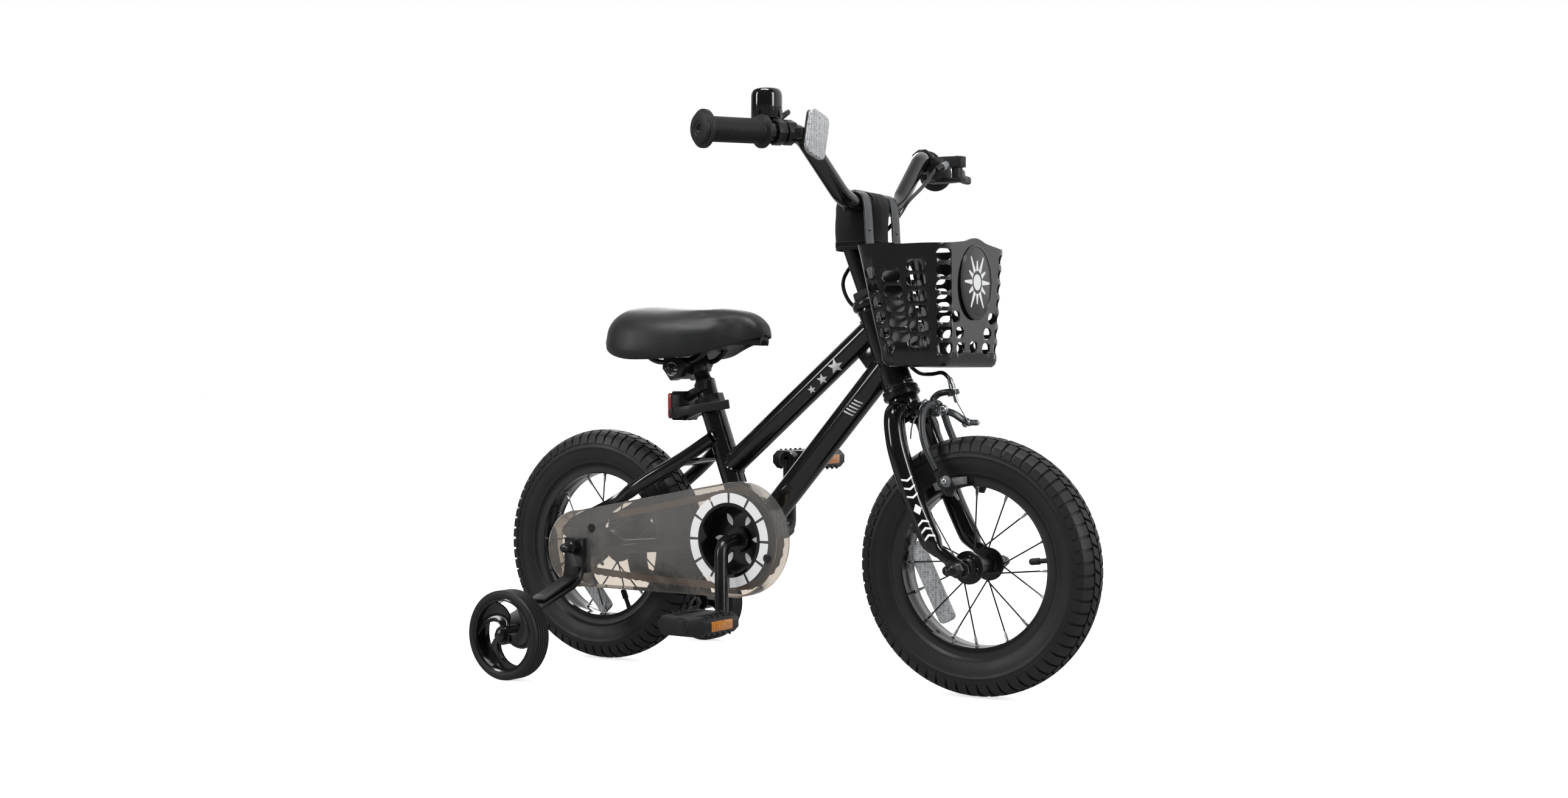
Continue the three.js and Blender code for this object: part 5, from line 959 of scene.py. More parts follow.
def frame_tubes():
    """The welded frame: its tubes, stays, dropouts, gusset and bridge, with the beads where they meet."""
    made = Piece("gloss_black")
    made.add(turned(HEAD_TUBE, HEAD_FOOT, HEAD_UP, 64, closed=True))
    for start, end, radius in (TOP, DOWN):
        made.add(rod(start, end, radius, 56))
    made.add(turned(SEAT_TUBE, SEAT_LOW, SEAT_UP, 56, closed=True))
    made.add(turned(CRANK_SHELL, SHELL, Y, 56, closed=True))
    made.add(weld(TOP[0], TOP[1], TOP_RADIUS, SEAT_LOW, SEAT_UP, SEAT_RADIUS))
    made.add(weld(TOP[1], TOP[0], TOP_RADIUS, HEAD_FOOT, HEAD_UP, HEAD_RADIUS))
    made.add(weld(DOWN[1], DOWN[0], DOWN_RADIUS, HEAD_FOOT, HEAD_UP, HEAD_RADIUS))
    made.add(weld(DOWN[0], DOWN[1], DOWN_RADIUS, SHELL, Y, SHELL_RADIUS))
    made.add(weld(SEAT_LOW, SEAT_HIGH, SEAT_RADIUS, SHELL, Y, SHELL_RADIUS))
    made.add(slab(GUSSET, *GUSSET_SPAN, "y", ease=1.0))
    for side in (-1, 1):
        path, upper = stay(SEAT_STAY, side, SEAT_STAY_FADE)
        made.add(upper)
        made.add(stay(CHAIN_STAY, side, CHAIN_STAY_FADE)[1])
        made.add(slab(DROPOUT, *mirrored(DROPOUT_SPAN, side), "y", ease=0.9))
        made.add(weld(path[0], path[4], STAY_RADIUS + 0.2, SEAT_LOW, SEAT_UP, SEAT_RADIUS, 1.4, 48))
    made.add(block(BRIDGE["size"], BRIDGE["at"], Matrix.Rotation(BRIDGE["lean"], 3, "Y"), BRIDGE["ease"]))
    made.done("frame_tubes", "frame_body", "frame")


PRINT_DEPTH = 0.16
STARS = [(168, 5.6), (188, 7.4), (213, 10.5)]
BARS = {"from": 218, "pitch": 5.0, "count": 5, "growth": 0.4}
BAR = [(-0.9, -6.5), (0.9, -6.5), (3.9, 6.5), (2.1, 6.5)]
CHEVRON = [(-1.2, 0), (-4.4, 7), (-2.0, 7), (1.6, 0), (-2.0, -7), (-4.4, -7)]
DIAMOND = [(7, 0), (0, 5.2), (-7, 0), (0, -5.2)]
FORK_PRINT_RADIUS = 13.05
STAR_TURN, BAR_TURN, FORK_PRINT_TURN = 0.5, 0.35, -0.5


def wrapped(outline, tube, along, turn):
    """An outline laid as a thin print round the right side of a straight tube."""
    start, end, radius = tube
    axis = (end - start).normalized()
    across = -Y
    up = axis.cross(across).normalized()
    part = bmesh.new()
    part.faces.new([part.verts.new((u, v, 0)) for u, v in outline])
    bmesh.ops.triangulate(part, faces=part.faces)
    bmesh.ops.subdivide_edges(part, edges=part.edges, cuts=3, use_grid_fill=True)
    skin = bmesh.ops.extrude_face_region(part, geom=list(part.faces))["geom"]
    bmesh.ops.translate(part, vec=Z * PRINT_DEPTH, verts=points_of(skin))
    for v in part.verts:
        angle = turn + v.co.y / radius
        out = across * math.cos(angle) + up * math.sin(angle)
        v.co = start + axis * (along + v.co.x) + out * (radius + v.co.z)
    return clean(part, 1e-4)


def star(size):
    """A plain star of five points."""
    return [polar(size * (1 if k % 2 == 0 else 0.42), TURN * k / 10 + 0.2) for k in range(10)]


def decals():
    """Stars on the top tube, slanted bars on the down tube, and chevrons about a diamond on the fork."""
    made = Piece("print_white")
    for along, size in STARS:
        made.add(wrapped(star(size), TOP, along, STAR_TURN))
    for k in range(BARS["count"]):
        shift, growth = k * BARS["pitch"], k * BARS["growth"]
        bar = [(u + shift, v + (growth if v < 0 else 0)) for u, v in BAR]
        made.add(wrapped(bar, DOWN, BARS["from"], BAR_TURN))
    made.done("frame_decals", "frame_body", slot="gloss_black")
    prints = Piece("print_white")
    leg = smooth_path(flip(FORK_LEG, -1), 9)
    for spots, outline in (((27, 29, 31), CHEVRON), ((34,), DIAMOND),
                           ((37, 39, 41), turned_flat(CHEVRON, TURN / 2))):
        for spot in spots:
            a, b = leg[spot - 1], leg[spot + 1]
            prints.add(wrapped(outline, (a, b, FORK_PRINT_RADIUS), (b - a).length / 2, FORK_PRINT_TURN))
    prints.done("fork_decals", "steering", slot="gloss_black")


LOWER_CUP = [
    (15.6, -6.5), (21.6, -6.5), (23, -5.2), (23, -1.6), (21.6, -0.8), (21.6, 0.4), (22.6, 1.2), (22.2, 4.6),
    (20.2, 6), (15.6, 6)]
UPPER_CUP = [
    (15.6, 112.3), (20.6, 112.3), (22.4, 113.8), (23, 115.4), (23, 119.4), (21.8, 121.5), (15.6, 121.5)]
LOCK_WASHER = [(11.6, 121.8), (20.6, 121.8), (20.8, 122.6), (20.8, 123.8), (19, 124.6), (11.6, 124.6)]
LOCKNUT = [(11.6, 124.7), (19.2, 124.7), (20.2, 125.8), (20.2, 132.6), (18.8, 134), (11.6, 134)]


def headset():
    """Both cups, and the locknut over its washer."""
    for name, profile in (("lower", LOWER_CUP), ("upper", UPPER_CUP)):
        cup = Piece("black_steel")
        cup.add(turned(profile, HEAD_FOOT, HEAD_UP, 56, closed=True))
        cup.done(f"headset_{name}_cup_turned", "frame_body", f"headset_{name}_cup")
    lock = Piece("black_steel")
    for profile, sides in ((LOCK_WASHER, 56), (LOCKNUT, 6)):
        lock.add(turned(profile, HEAD_FOOT, HEAD_UP, sides, closed=True))
    lock.done("headset_locknut_hex", "steering", "headset_locknut")


STEERER = [(11.5, -22), (14.2, -22), (14.2, 121.3), (11.5, 121.3)]
CROWN = [(0, -24), (15, -24), (17.4, -22.4), (19, -19.6), (19, -8.4), (18.2, -6.8), (11.5, -6.8)]
CROWN_BLOCK = {"size": (24, 26, 20), "at": (194, 0, 341), "ease": 4.0}
CROWN_AT, LEG_RADIUS, LEG_TIP, LEG_FADE = -14, 13, 4.0, (185, 9 / 19)
FORK_END_SPAN, FORK_EYE_AT = (45, 50.2), (265, 0, 152)
FORK_EYE = [(2.7, 46.4), (5.6, 46.4), (6.0, 46.9), (6.0, 49.7), (5.6, 50.2), (2.7, 50.2)]


def fork():
    """Steerer, crown and two legs that thin into their slotted ends, each with a threaded eye."""
    made = Piece("gloss_black")
    made.add(turned(STEERER, HEAD_FOOT, HEAD_UP, 40, closed=True))
    made.add(turned(CROWN, HEAD_FOOT, HEAD_UP, 48))
    start, slope = LEG_FADE
    for side in (-1, 1):
        corners = flip(FORK_LEG, side)
        path = smooth_path(corners, 9)
        made.add(sweep(path, [max(LEG_TIP, LEG_RADIUS - slope * max(0, start - p.z)) for p in path], 36))
        made.add(slab(FORK_END, *mirrored(FORK_END_SPAN, side), "y", ease=0.9))
        made.add(turned(FORK_EYE, FORK_EYE_AT, Y * side, 28, closed=True))
        made.add(weld(corners[0], corners[1], LEG_RADIUS + 0.2, head_at(CROWN_AT), HEAD_UP, HEAD_RADIUS, 1.6,
                      56))
    made.add(block(CROWN_BLOCK["size"], CROWN_BLOCK["at"], None, CROWN_BLOCK["ease"]))
    made.done("fork_legs", "steering", "fork")


# Bar and what is on it

BAR_CORNERS = [
    (76.6, -272.4, 658.9), (123.2, -145, 664.9), (133, -61, 592), (133, 61, 592), (123.2, 145, 664.9),
    (76.6, 272.4, 658.9)]
GRIP_IN, GRIP_OUT = Vector((104.7, 195.7, 662.5)), Vector((75.1, 276.7, 658.7))


BAR_BENDS, BAR_RADIUS, BAR_MIDDLE = [15, 21, 21, 15], 11, Vector((133, 0, 592))
QUILL = [(0, 60), (11, 60), (11, 196), (12.4, 199), (12.4, 205), (9, 208), (0, 208)]
QUILL_HEAD, QUILL_TOP, STEM_RADIUS = 196, 205, 12.2
BAR_CLAMP = [(11.3, -18), (15, -18), (15.5, -17.2), (15.5, 17.2), (15, 18), (11.3, 18)]


def handlebar():
    """The bent bar, and the quill stem with its forward arm, clamp and bolt."""
    made = Piece("gloss_black")
    made.add(sweep(rounded_path(BAR_CORNERS, BAR_BENDS, 12), BAR_RADIUS, 40))
    made.done("handlebar_tube", "steering", "handlebar")
    stem = Piece("black_steel", "zinc")
    stem.add(turned(QUILL, HEAD_FOOT, HEAD_UP, 40))
    stem.add(rod(head_at(QUILL_HEAD), BAR_MIDDLE, STEM_RADIUS, 36))
    stem.add(turned(BAR_CLAMP, BAR_MIDDLE, Y, 40, closed=True))
    stem.add(nut(head_at(QUILL_TOP), HEAD_UP, 6, 3))
    stem.done("stem_quill", "steering", "stem")


GRIP_FLANGE = [(11.3, 0), (18.6, 0), (19.5, 1), (19.5, 4), (18.4, 5), (14.6, 6.2)]
GRIP_RIB = [(14.5, 0), (14.5, 0.55), (13.95, 0.7), (13.95, 0.85)]
GRIP_END = [
    (14.6, -6.4), (20.6, -5.2), (22, -4), (22, -0.6), (21, 0), (18, 1), (17.6, 4), (16, 4.8), (9, 5.0),
    (8.2, 4.2), (5, 4.2), (4.6, 3.4), (3.4, 1.6), (0, 1.4)]
GRIP_RIB_FROM, GRIP_RIB_PITCH, GRIP_RIB_ROOM = 7.2, 2.1, 14.6


def grip(name):
    """A ribbed grip with an inner flange and a thick end."""
    side = SIDES[name]
    foot = Vector((GRIP_IN.x, GRIP_IN.y * side, GRIP_IN.z))
    tip = Vector((GRIP_OUT.x, GRIP_OUT.y * side, GRIP_OUT.z))
    reach = (tip - foot).length
    profile = list(GRIP_FLANGE)
    for k in range(int((reach - GRIP_RIB_ROOM) / GRIP_RIB_PITCH)):
        profile += [(r, GRIP_RIB_FROM + (k + share) * GRIP_RIB_PITCH) for r, share in GRIP_RIB]
    profile += [(r, reach + s) for r, s in GRIP_END]
    made = Piece("grip_rubber")
    made.add(turned(profile, foot, tip - foot, 56))
    made.done(f"grip_{name}_ribbed", "steering", f"grip_{name}")


PAD = {"middle": 120.3, "half": 31.4, "depth": 22.3, "shoulder": 588, "rise": 24, "draw": 4.5, "hem": 543.5,
       "free_from": 550, "free_to": 560}
PAD_LEVELS = [
    (545, -3.2), (538.5, -2.4), (536.6, -1.2), (536.4, -0.5), (537, 0), (541, 0.1), (549, -0.3), (558, 0),
    (568, 0.3), (578, 0.2), (588, 0), (596, 0), (602, 0), (606.5, 0), (609.5, -0.4), (611.4, -1.4)]
PAD_MOUTH = {"radius": 12.4, "side": 22.0, "roll": 1.7, "steps": 40}
STITCH = {"zigzag": 2.6, "seam": 3.0, "thread": 0.34, "seam_thread": 0.4}


def pad_section(z, grow=0.0):
    """The pad's outline at a height: wide over the stem, drawn in over the bar, with soft folds."""
    rise = max(0.0, (z - PAD["shoulder"]) / PAD["rise"])
    wide = PAD["half"] * math.sqrt(max(0.02, 1 - rise ** 2.2)) + grow
    deep = PAD["depth"] - PAD["draw"] * rise ** 3 + grow
    points = []
    for k in range(72):
        c, s = polar(1, TURN * k / 72)
        broad = noise.noise(Vector((c * 1.5, s * 1.5, z * 0.05)))
        fold = 1.1 * broad + 0.5 * noise.noise(Vector((c * 4, s * 4, z * 0.1)))
        x = wide * math.copysign(abs(c) ** 0.62, c)
        y = deep * math.copysign(abs(s) ** 0.5, s)
        points.append(Vector((PAD["middle"] + x + fold * c, y + min(0, fold) * s, z)))
    return points


def pad(settings):
    """The soft wrap over the middle of the bar and the stem, with a stitched hem and rolled bar openings."""
    made = Piece("pad_cloth", "thread")
    body = clean(lofted([pad_section(z, grow) for z, grow in PAD_LEVELS]), 1e-4)
    made.add(swollen(body, settings.pad_swell / MM, lambda p: ramp(p.z, PAD["free_from"], PAD["free_to"])))
    for side in (-1, 1):
        steps = PAD_MOUTH["steps"]
        spots = [polar(PAD_MOUTH["radius"], TURN * k / steps, (BAR_MIDDLE.x, BAR_MIDDLE.z))
                 for k in range(steps)]
        mouth = [(x, side * PAD_MOUTH["side"], z) for x, z in spots]
        made.add(sweep(mouth, PAD_MOUTH["roll"], 12, looped=True))
    outline = smooth_path(pad_section(PAD["hem"], 0.1), 3, looped=True)
    zigzag = [p + Z * (STITCH["zigzag"] if k % 2 else -STITCH["zigzag"]) for k, p in enumerate(outline)]
    made.add(sweep(zigzag, STITCH["thread"], 5, looped=True), 1)
    for level in (-STITCH["seam"], STITCH["seam"]):
        made.add(sweep([p + Z * level for p in outline[::2]], STITCH["seam_thread"], 5, looped=True), 1)
    obj = made.done("handlebar_pad_wrap", "steering", "handlebar_pad")


BELL_FOOT = [(16.9, 0), (18.2, 0), (18.5, 0.7)]
BELL = {"waist": 18.4, "waist_share": 0.68, "crown": 13.4, "round": 5, "crown_share": 0.7,
        "round_share": 0.26, "wall": 1.6, "inner": 12.4, "inner_round": 4.4, "inner_share": 0.28}


def bell():
    """The clamp base, the domed cup and the thumb striker."""
    made = Piece("black_plastic")
    made.add(refined("bell_base", 0.4))
    made.done("bell_base_moulded", "steering", "bell_base")
    lo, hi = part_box("bell_cup")
    foot = Vector(((lo.x + hi.x) / 2 / MM, (lo.y + hi.y) / 2 / MM, lo.z / MM))
    depth = (hi.z - lo.z) / MM
    arcs = [TURN / 4 * k / 8 for k in range(9)]
    outer = [(BELL["crown"] + BELL["round"] * math.cos(a),
              depth * (BELL["crown_share"] + BELL["round_share"] * math.sin(a))) for a in arcs]
    rise = depth * BELL["inner_share"] - BELL["wall"]
    inner = [(BELL["inner"] + BELL["inner_round"] * math.cos(a),
              depth * BELL["waist_share"] + rise * math.sin(a)) for a in reversed(arcs)]
    waist = [(BELL["waist"], depth * BELL["waist_share"])]
    profile = BELL_FOOT + waist + outer + [(0, depth), (0, depth - BELL["wall"])] + inner
    cup = Piece("gloss_black")
    cup.add(turned(profile, foot, Z, 56, closed=True))
    cup.done("bell_dome", "steering", "bell_cup")
    striker = Piece("black_plastic")
    striker.add(refined("bell_striker", 0.3))
    striker.done("bell_thumb_striker", "striker_body", "bell_striker")


FRONT_LENS = {
    "lean": math.radians(-14), "face": (41, 54, 9, 8), "face_span": (-1.2, 4.0), "back": (40, 53, 8.5, 8),
    "back_span": (-4.0, -1.0)}


def front_reflector():
    """The front lens in its backing, leaned as in the photo, and its arm."""
    lo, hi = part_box("front_reflector")
    lean = Matrix.Translation((lo + hi) / 2 / MM) @ Matrix.Rotation(FRONT_LENS["lean"], 4, "X")
    made = Piece("clear_plastic", "black_plastic")
    face = slab(rounded_box(*FRONT_LENS["face"]), *FRONT_LENS["face_span"], "x", ease=1.4, segments=3)
    back = slab(rounded_box(*FRONT_LENS["back"]), *FRONT_LENS["back_span"], "x", ease=0.8)
    made.add(place(face, lean))
    made.add(place(back, lean), 1)
    made.done("front_reflector_prisms", "steering", "front_reflector")
    arm = Piece("black_plastic")
    arm.add(refined("front_reflector_bracket", 0.5))
    arm.done("front_reflector_arm", "steering", "front_reflector_bracket")


LEVER_PATH = [(166, 166), (160, 190), (147, 215), (137, 240), (134, 262)]
LEVER = {"level": 646.1, "section": (9.0, 12.6, 2.6), "thinning": 0.18, "tip_shares": (0.76, 0.62)}
LEVER_EYE = [(3.2, 639.8), (7, 639.8), (7, 652.3), (3.2, 652.3)]
LEVER_PIVOT = Vector((166, 166, 0))
PIVOT_SCREW = [(0, 0), (3.4, 0), (3.2, 1.2), (1.2, 1.4), (1.0, 0.6), (0, 0.6)]
SCREW_FOOT = 667
ADJUSTER = (Vector((157, 160, 658)), Vector((149.6, 138.5, 648.1)))
ADJUSTER_KNOB = {"from": 4, "radius": 5.0, "length": 9.0, "teeth": 14}
ADJUSTER_TIP = [(1.4, 13), (3.6, 13), (3.6, 22.4), (1.4, 23.2)]


def brake_lever():
    """The clamp with its barrel adjuster and pivot screw, and the curved blade."""
    mount = Piece("black_plastic", "zinc")
    mount.add(refined("brake_lever_mount", 0.6))
    start, end = ADJUSTER
    along = (end - start).normalized()
    knob = ADJUSTER_KNOB
    mount.add(knurled(start + along * knob["from"], along, knob["radius"], knob["length"], knob["teeth"]), 1)
    mount.add(turned(ADJUSTER_TIP, start, along, 24, closed=True), 1)
    mount.add(turned(PIVOT_SCREW, LEVER_PIVOT + Z * SCREW_FOOT, Z, 24), 1)
    mount.done("brake_lever_clamp", "steering", "brake_lever_mount")
    blade_piece = Piece("black_plastic")
    path = smooth_path([(x, y, LEVER["level"]) for x, y in LEVER_PATH], 8)
    widths = [1.0 - LEVER["thinning"] * k / len(path) for k in range(len(path))]
    widths[-2:] = LEVER["tip_shares"]
    blade_piece.add(sweep(path, widths, section=flat_section(*LEVER["section"]), side=X))
    blade_piece.add(turned(LEVER_EYE, LEVER_PIVOT, Z, 32, closed=True))
    blade_piece.done("brake_lever_blade", "lever_body", "brake_lever")


BASKET_BRACKET = [
    (119.8, 583), (119.4, 592), (123.4, 601.6), (133, 605.6), (142.6, 601.6), (146.6, 592), (148.6, 575),
    (151.5, 540), (155.1, 531), (161.6, 500)]


HOOK = {"side": 33.2, "section": (18.0, 3.0, 1.3), "rivets": [(151.3, 559), (153.3, 537.5)]}
RIVET = [(2.6, -0.2), (2.2, 0.5), (1.2, 0.9), (0, 1.0)]


def basket_brackets():
    """Flat hooks that hang over the bar, each riveted to the basket twice."""
    for name, side in SIDES.items():
        y = side * HOOK["side"]
        made = Piece("grey_steel")
        path = smooth_path([(x, y, z) for x, z in BASKET_BRACKET], 6)
        made.add(sweep(path, 1.0, section=flat_section(*HOOK["section"]), side=Y))
        for x, z in HOOK["rivets"]:
            made.add(turned(RIVET, (x, y, z), (1, 0, 0.08), 16))
        made.done(f"basket_hook_{name}", "steering", f"basket_bracket_{name}")


# Basket

BASKET_FOOT = {"back": 187, "front": 274, "half": 80, "corner": 24, "z": 392}
BASKET_RIM = {"back": 157, "front": 278, "half": 92, "corner": 27, "z": 538}
SIDE_WINDOWS = [
    (17.5, [(182.3, 503), (186, 485), (190, 467.8), (194.5, 450.5), (199.7, 432.8), (204.9, 415.7)]),
    (25.5, [(211.5, 498), (214.1, 480.3), (216.4, 462.6), (219, 444.8), (222, 427.1)]),
    (26.5, [(245, 510), (245.2, 492.4), (245.4, 474.4), (245.6, 456.6), (246, 438.7), (246, 420.6)])]
CORNER_ROWS = [522, 503.5, 486, 468.3, 450, 431.7, 413.2]
FRONT_WINDOWS = [(47, 450.5), (36, 432), (0, 415.5), (33, 414)]
BACK_ROWS = [503, 485, 467.5, 450, 432.5, 415]


BASKET_LEVELS = [
    (0.0, 14), (0.0, 5), (0.02, 1.5), (0.055, 0), (0.12, 0), (0.2, 0), (0.3, 0), (0.4, 0), (0.5, 0),
    (0.6, 0), (0.7, 0), (0.8, 0), (0.9, 0), (0.95, 0), (0.985, 0), (1.0, 0)]
CORNER_STEPS, WALL_STEPS = 10, 34
RIM_RISE = {"from": 0.9, "crown": 3, "back_share": 0.4, "arch_half": 62, "soft": 2.5}
PLATE = {"z": 492.5, "half": (40.5, 45.2), "span": (277.4, 279.4), "groove": (37.6, 42.2),
         "groove_radius": 0.55, "print_span": (279.4, 279.75)}
ARCH = {"foot": 493, "height": 51.5, "half": 47}
SUN = {"disc": 9.6, "rays": 12, "foot": (12.6, 2.9), "tips": (32, 24), "tip_half": 1.1, "stretch": 1.08}
WINDOW_DEPTH = 16
CORNER_WINDOW = {"angle": math.radians(21), "width": 24, "depth": 26, "tall": 1.04}
FRONT_WINDOW = {"width": 20.0, "tall": 1.05}
BACK_WINDOW = {"width": 33, "columns": (-46, 46)}
FLOOR_SLOT = {"box": (59, 10, 4.9, 5), "span": (384, 402), "x": 232.5, "rows": (-52, -26, 0, 26, 52)}
EASE = {"width": 0.7, "angle": math.radians(38)}


def basket_at(share):
    """The basket's plan sizes at a share of its height."""
    return {key: low + (BASKET_RIM[key] - low) * share for key, low in BASKET_FOOT.items()}


def share_at(z):
    return (z - BASKET_FOOT["z"]) / (BASKET_RIM["z"] - BASKET_FOOT["z"])


def rim_height(p, plan, share):
    """How high the wall stands at a point near the rim: a slight crown, and the arch behind the plate."""
    lift = (share - RIM_RISE["from"]) / (1 - RIM_RISE["from"])
    crown = RIM_RISE["crown"] * (1 if p.x > (plan["back"] + plan["front"]) / 2 else RIM_RISE["back_share"])
    z = plan["z"] + lift * crown * math.cos(TURN / 2 * min(1, abs(p.y) / plan["half"]))
    if p.x > plan["front"] - 2 and abs(p.y) < RIM_RISE["arch_half"]:
        top = ARCH["foot"] + ARCH["height"] * math.sqrt(max(0.0, 1 - (p.y / ARCH["half"]) ** 2))
        over = min(40.0, (top - z) / RIM_RISE["soft"])
        z += lift * RIM_RISE["soft"] * math.log1p(math.exp(over))
    return z


def basket_ring(share, inset):
    """Points round the basket at a share of its height, drawn in by an inset."""
    plan = basket_at(share)
    for key, sign in (("back", 1), ("front", -1), ("half", -1)):
        plan[key] += sign * inset
    r = max(plan["corner"] - inset, 2)
    front, back, half = plan["front"] - r, plan["back"] + r, plan["half"] - r
    middles = [(front, half), (back, half), (back, -half), (front, -half)]
    points = []
    for k, middle in enumerate(middles):
        arc = [Vector((*polar(r, TURN / 4 * (k + i / CORNER_STEPS), middle), 0))
               for i in range(CORNER_STEPS + 1)]
        onward = Vector((*polar(r, TURN / 4 * (k + 1), middles[(k + 1) % 4]), 0))
        points += arc + [arc[-1].lerp(onward, i / WALL_STEPS) for i in range(1, WALL_STEPS)]
    for p in points:
        p.z = rim_height(p, plan, share) if share > RIM_RISE["from"] else plan["z"]
    return points


def wall_at(kind, u, z):
    """A spot on the middle of a wall with its outward direction, by position along it and height."""
    plan = basket_at(share_at(z))
    if kind == "front":
        return Vector((plan["front"], u, z)), X
    if kind == "back":
        return Vector((plan["back"], u, z)), -X
    side = SIDES[kind]
    return Vector((u, side * plan["half"], z)), Y * side


def corner_at(side, z):
    """A spot on a front corner with its outward direction."""
    plan = basket_at(share_at(z))
    r = plan["corner"]
    out = Vector((*polar(1, CORNER_WINDOW["angle"] * side), 0))
    return Vector((plan["front"] - r, (plan["half"] - r) * side, z)) + out * r, out


def window(spot, out, width, height, depth=WINDOW_DEPTH):
    """A cutter with round ends that stands across a wall."""
    cutter = slab(rounded_box(width, height, height / 2 - 0.05, 5), -depth / 2, depth / 2, "x", ease=0)
    return place(cutter, Matrix.Translation(spot) @ X.rotation_difference(out).to_matrix().to_4x4())


def basket_windows(tall):
    """All the cutters: sides, front corners, front, back and floor."""
    cutters = []
    for side in SIDES:
        for width, spots in SIDE_WINDOWS:
            cutters += [window(*wall_at(side, u, z), width, tall) for u, z in spots]
    corner, front = CORNER_WINDOW, FRONT_WINDOW
    for z in CORNER_ROWS:
        for side in (-1, 1):
            high = tall * corner["tall"]
            cutters.append(window(*corner_at(side, z), corner["width"], high, corner["depth"]))
    for y, z in FRONT_WINDOWS:
        for side in ((-1, 1) if y else (1,)):
            cutters.append(window(*wall_at("front", y * side, z), front["width"], tall * front["tall"]))
    for column in BACK_WINDOW["columns"]:
        cutters += [window(*wall_at("back", column, z), BACK_WINDOW["width"], tall) for z in BACK_ROWS]
    for y in FLOOR_SLOT["rows"]:
        slot = slab(rounded_box(*FLOOR_SLOT["box"]), *FLOOR_SLOT["span"], "z", ease=0)
        cutters.append(place(slot, Matrix.Translation((FLOOR_SLOT["x"], y, 0))))
    whole = bmesh.new()
    for cutter in cutters:
        poured(whole, cutter)
    return whole


def laid_out(name, part):
    """A passing object of a part, for a modifier to work on."""
    mesh = bpy.data.meshes.new(name)
    part.to_mesh(mesh)
    part.free()
    made = bpy.data.objects.new(name, mesh)
    bpy.context.scene.collection.objects.link(made)
    return made


def basket_shell(settings):
    """The moulded wall and floor, cut by the windows, with eased edges."""
    shell = lofted([basket_ring(share, inset) for share, inset in BASKET_LEVELS], filled=1)
    bmesh.ops.recalc_face_normals(shell, faces=shell.faces)
    bmesh.ops.solidify(shell, geom=list(shell.faces), thickness=settings.wall / MM)
    clean(shell, 1e-3)
    tool = laid_out("basket_cutters", basket_windows(settings.window_height / MM))
    wall = laid_out("basket_wall", shell)
    cut = wall.modifiers.new("windows", "BOOLEAN")
    cut.operation, cut.object, cut.solver = "DIFFERENCE", tool, "MANIFOLD"
    ease = wall.modifiers.new("ease", "BEVEL")
    ease.width, ease.segments = EASE["width"], 2
    ease.limit_method, ease.angle_limit = "ANGLE", EASE["angle"]
    ease.use_clamp_overlap = True
    bpy.context.view_layer.update()
    graph = bpy.context.evaluated_depsgraph_get()
    shaped = bpy.data.meshes.new_from_object(wall.evaluated_get(graph))
    body = bmesh.new()
    body.from_mesh(shaped)
    for obj in (tool, wall):
        bpy.data.objects.remove(obj)
    return body


def basket(settings):
    """The basket with its oval plate, on which a plain sun is printed: a disc with tapered rays."""
    made = Piece("gloss_plastic", "plate_plastic", "print_white")
    made.add(basket_shell(settings))
    up = Matrix.Translation((0, 0, PLATE["z"]))
    made.add(place(slab(oval(*PLATE["half"], 64), *PLATE["span"], "x", ease=0.9), up), 1)
    front = PLATE["span"][1]
    groove = [(front, y, PLATE["z"] + z) for y, z in oval(*PLATE["groove"], 64)]
    made.add(sweep(groove, PLATE["groove_radius"], 8, looped=True), 1)
    made.add(place(slab(oval(SUN["disc"], SUN["disc"], 40), *PLATE["print_span"], "x", ease=0), up), 2)
    foot, foot_half = SUN["foot"]
    for k in range(SUN["rays"]):
        tip, half = SUN["tips"][k % 2], SUN["tip_half"]
        ray = turned_flat([(foot, -foot_half), (tip, -half), (tip, half), (foot, foot_half)],
                          TURN * k / SUN["rays"])
        ray = [(u, v * SUN["stretch"]) for u, v in ray]
        made.add(place(slab(ray, *PLATE["print_span"], "x", ease=0), up), 2)
    made.done("basket_lattice", "steering", "basket", crease=40)


# Brake

CALIPER_PIVOT = Vector((0, 0, 341))
CALIPER = {
    "right": {"boss": (221.4, 227.4),
              "arm": [(224.4, -4, 343), (224.4, -20, 347), (224, -33, 336), (226, -39, 318),
                      (233, -41.5, 295), (247, -41.5, 270)],
              "more": [(224.4, 4, 341), (240, 14, 336), (250, 22, 328), (256, 26, 325)]},
    "left": {"boss": (213.2, 219.2),
             "arm": [(216.2, 4, 343), (216.2, 20, 347), (217, 33, 336), (221, 39, 318),
                     (231, 41.5, 295), (247, 41.5, 270)],
             "more": [(216.2, 3, 345), (216.4, 9, 354), (222, 11.5, 359.5), (231, 12, 361.5),
                      (241, 10, 362.5)]},
}
ARM_SECTION, REACH_SECTION, PAD_PLATE_SPAN = (6.2, 9.6, 2.2), (5.6, 8.6, 2.0), (39, 43.4)
CABLE_STOP = [(4.7, 0), (7.0, 0), (7.5, 0.6), (7.5, 4.8), (7.0, 5.3), (4.7, 5.3)]
CABLE_STOP_AT, CABLE_STOP_WAY = (241.5, 10, 363.5), (1.7, 0, -5)
CLAMP_NUT_AT, CLAMP_BOLT_AT = Vector((248, 26, 325)), Vector((254.5, 26, 325))
CLAMP_BOLT = [(0, 0), (4.8, 0), (4.8, 3), (3.9, 3.4), (3.9, 12.8), (3.0, 14), (0, 14.4)]
SHOE_AT = Vector((261, 0, 257))
SHOE = {"nut": (43.8, 4.9, 4.4), "cap": (48, 4.2, 5.2), "washer": (2.6, 6.8, 43.5, 44.1)}
CENTRE_BOLT = {
    "rod": (191, 238, 2.9), "washer": (3.2, 7.6, 227.8, 229.0), "nut": (229.4, 6.4, 4.2),
    "cap": (233.4, 5.6, 6.6, 28), "knob": (208, 6.6, 4.6, 16)}
SPRING_X = 209.6
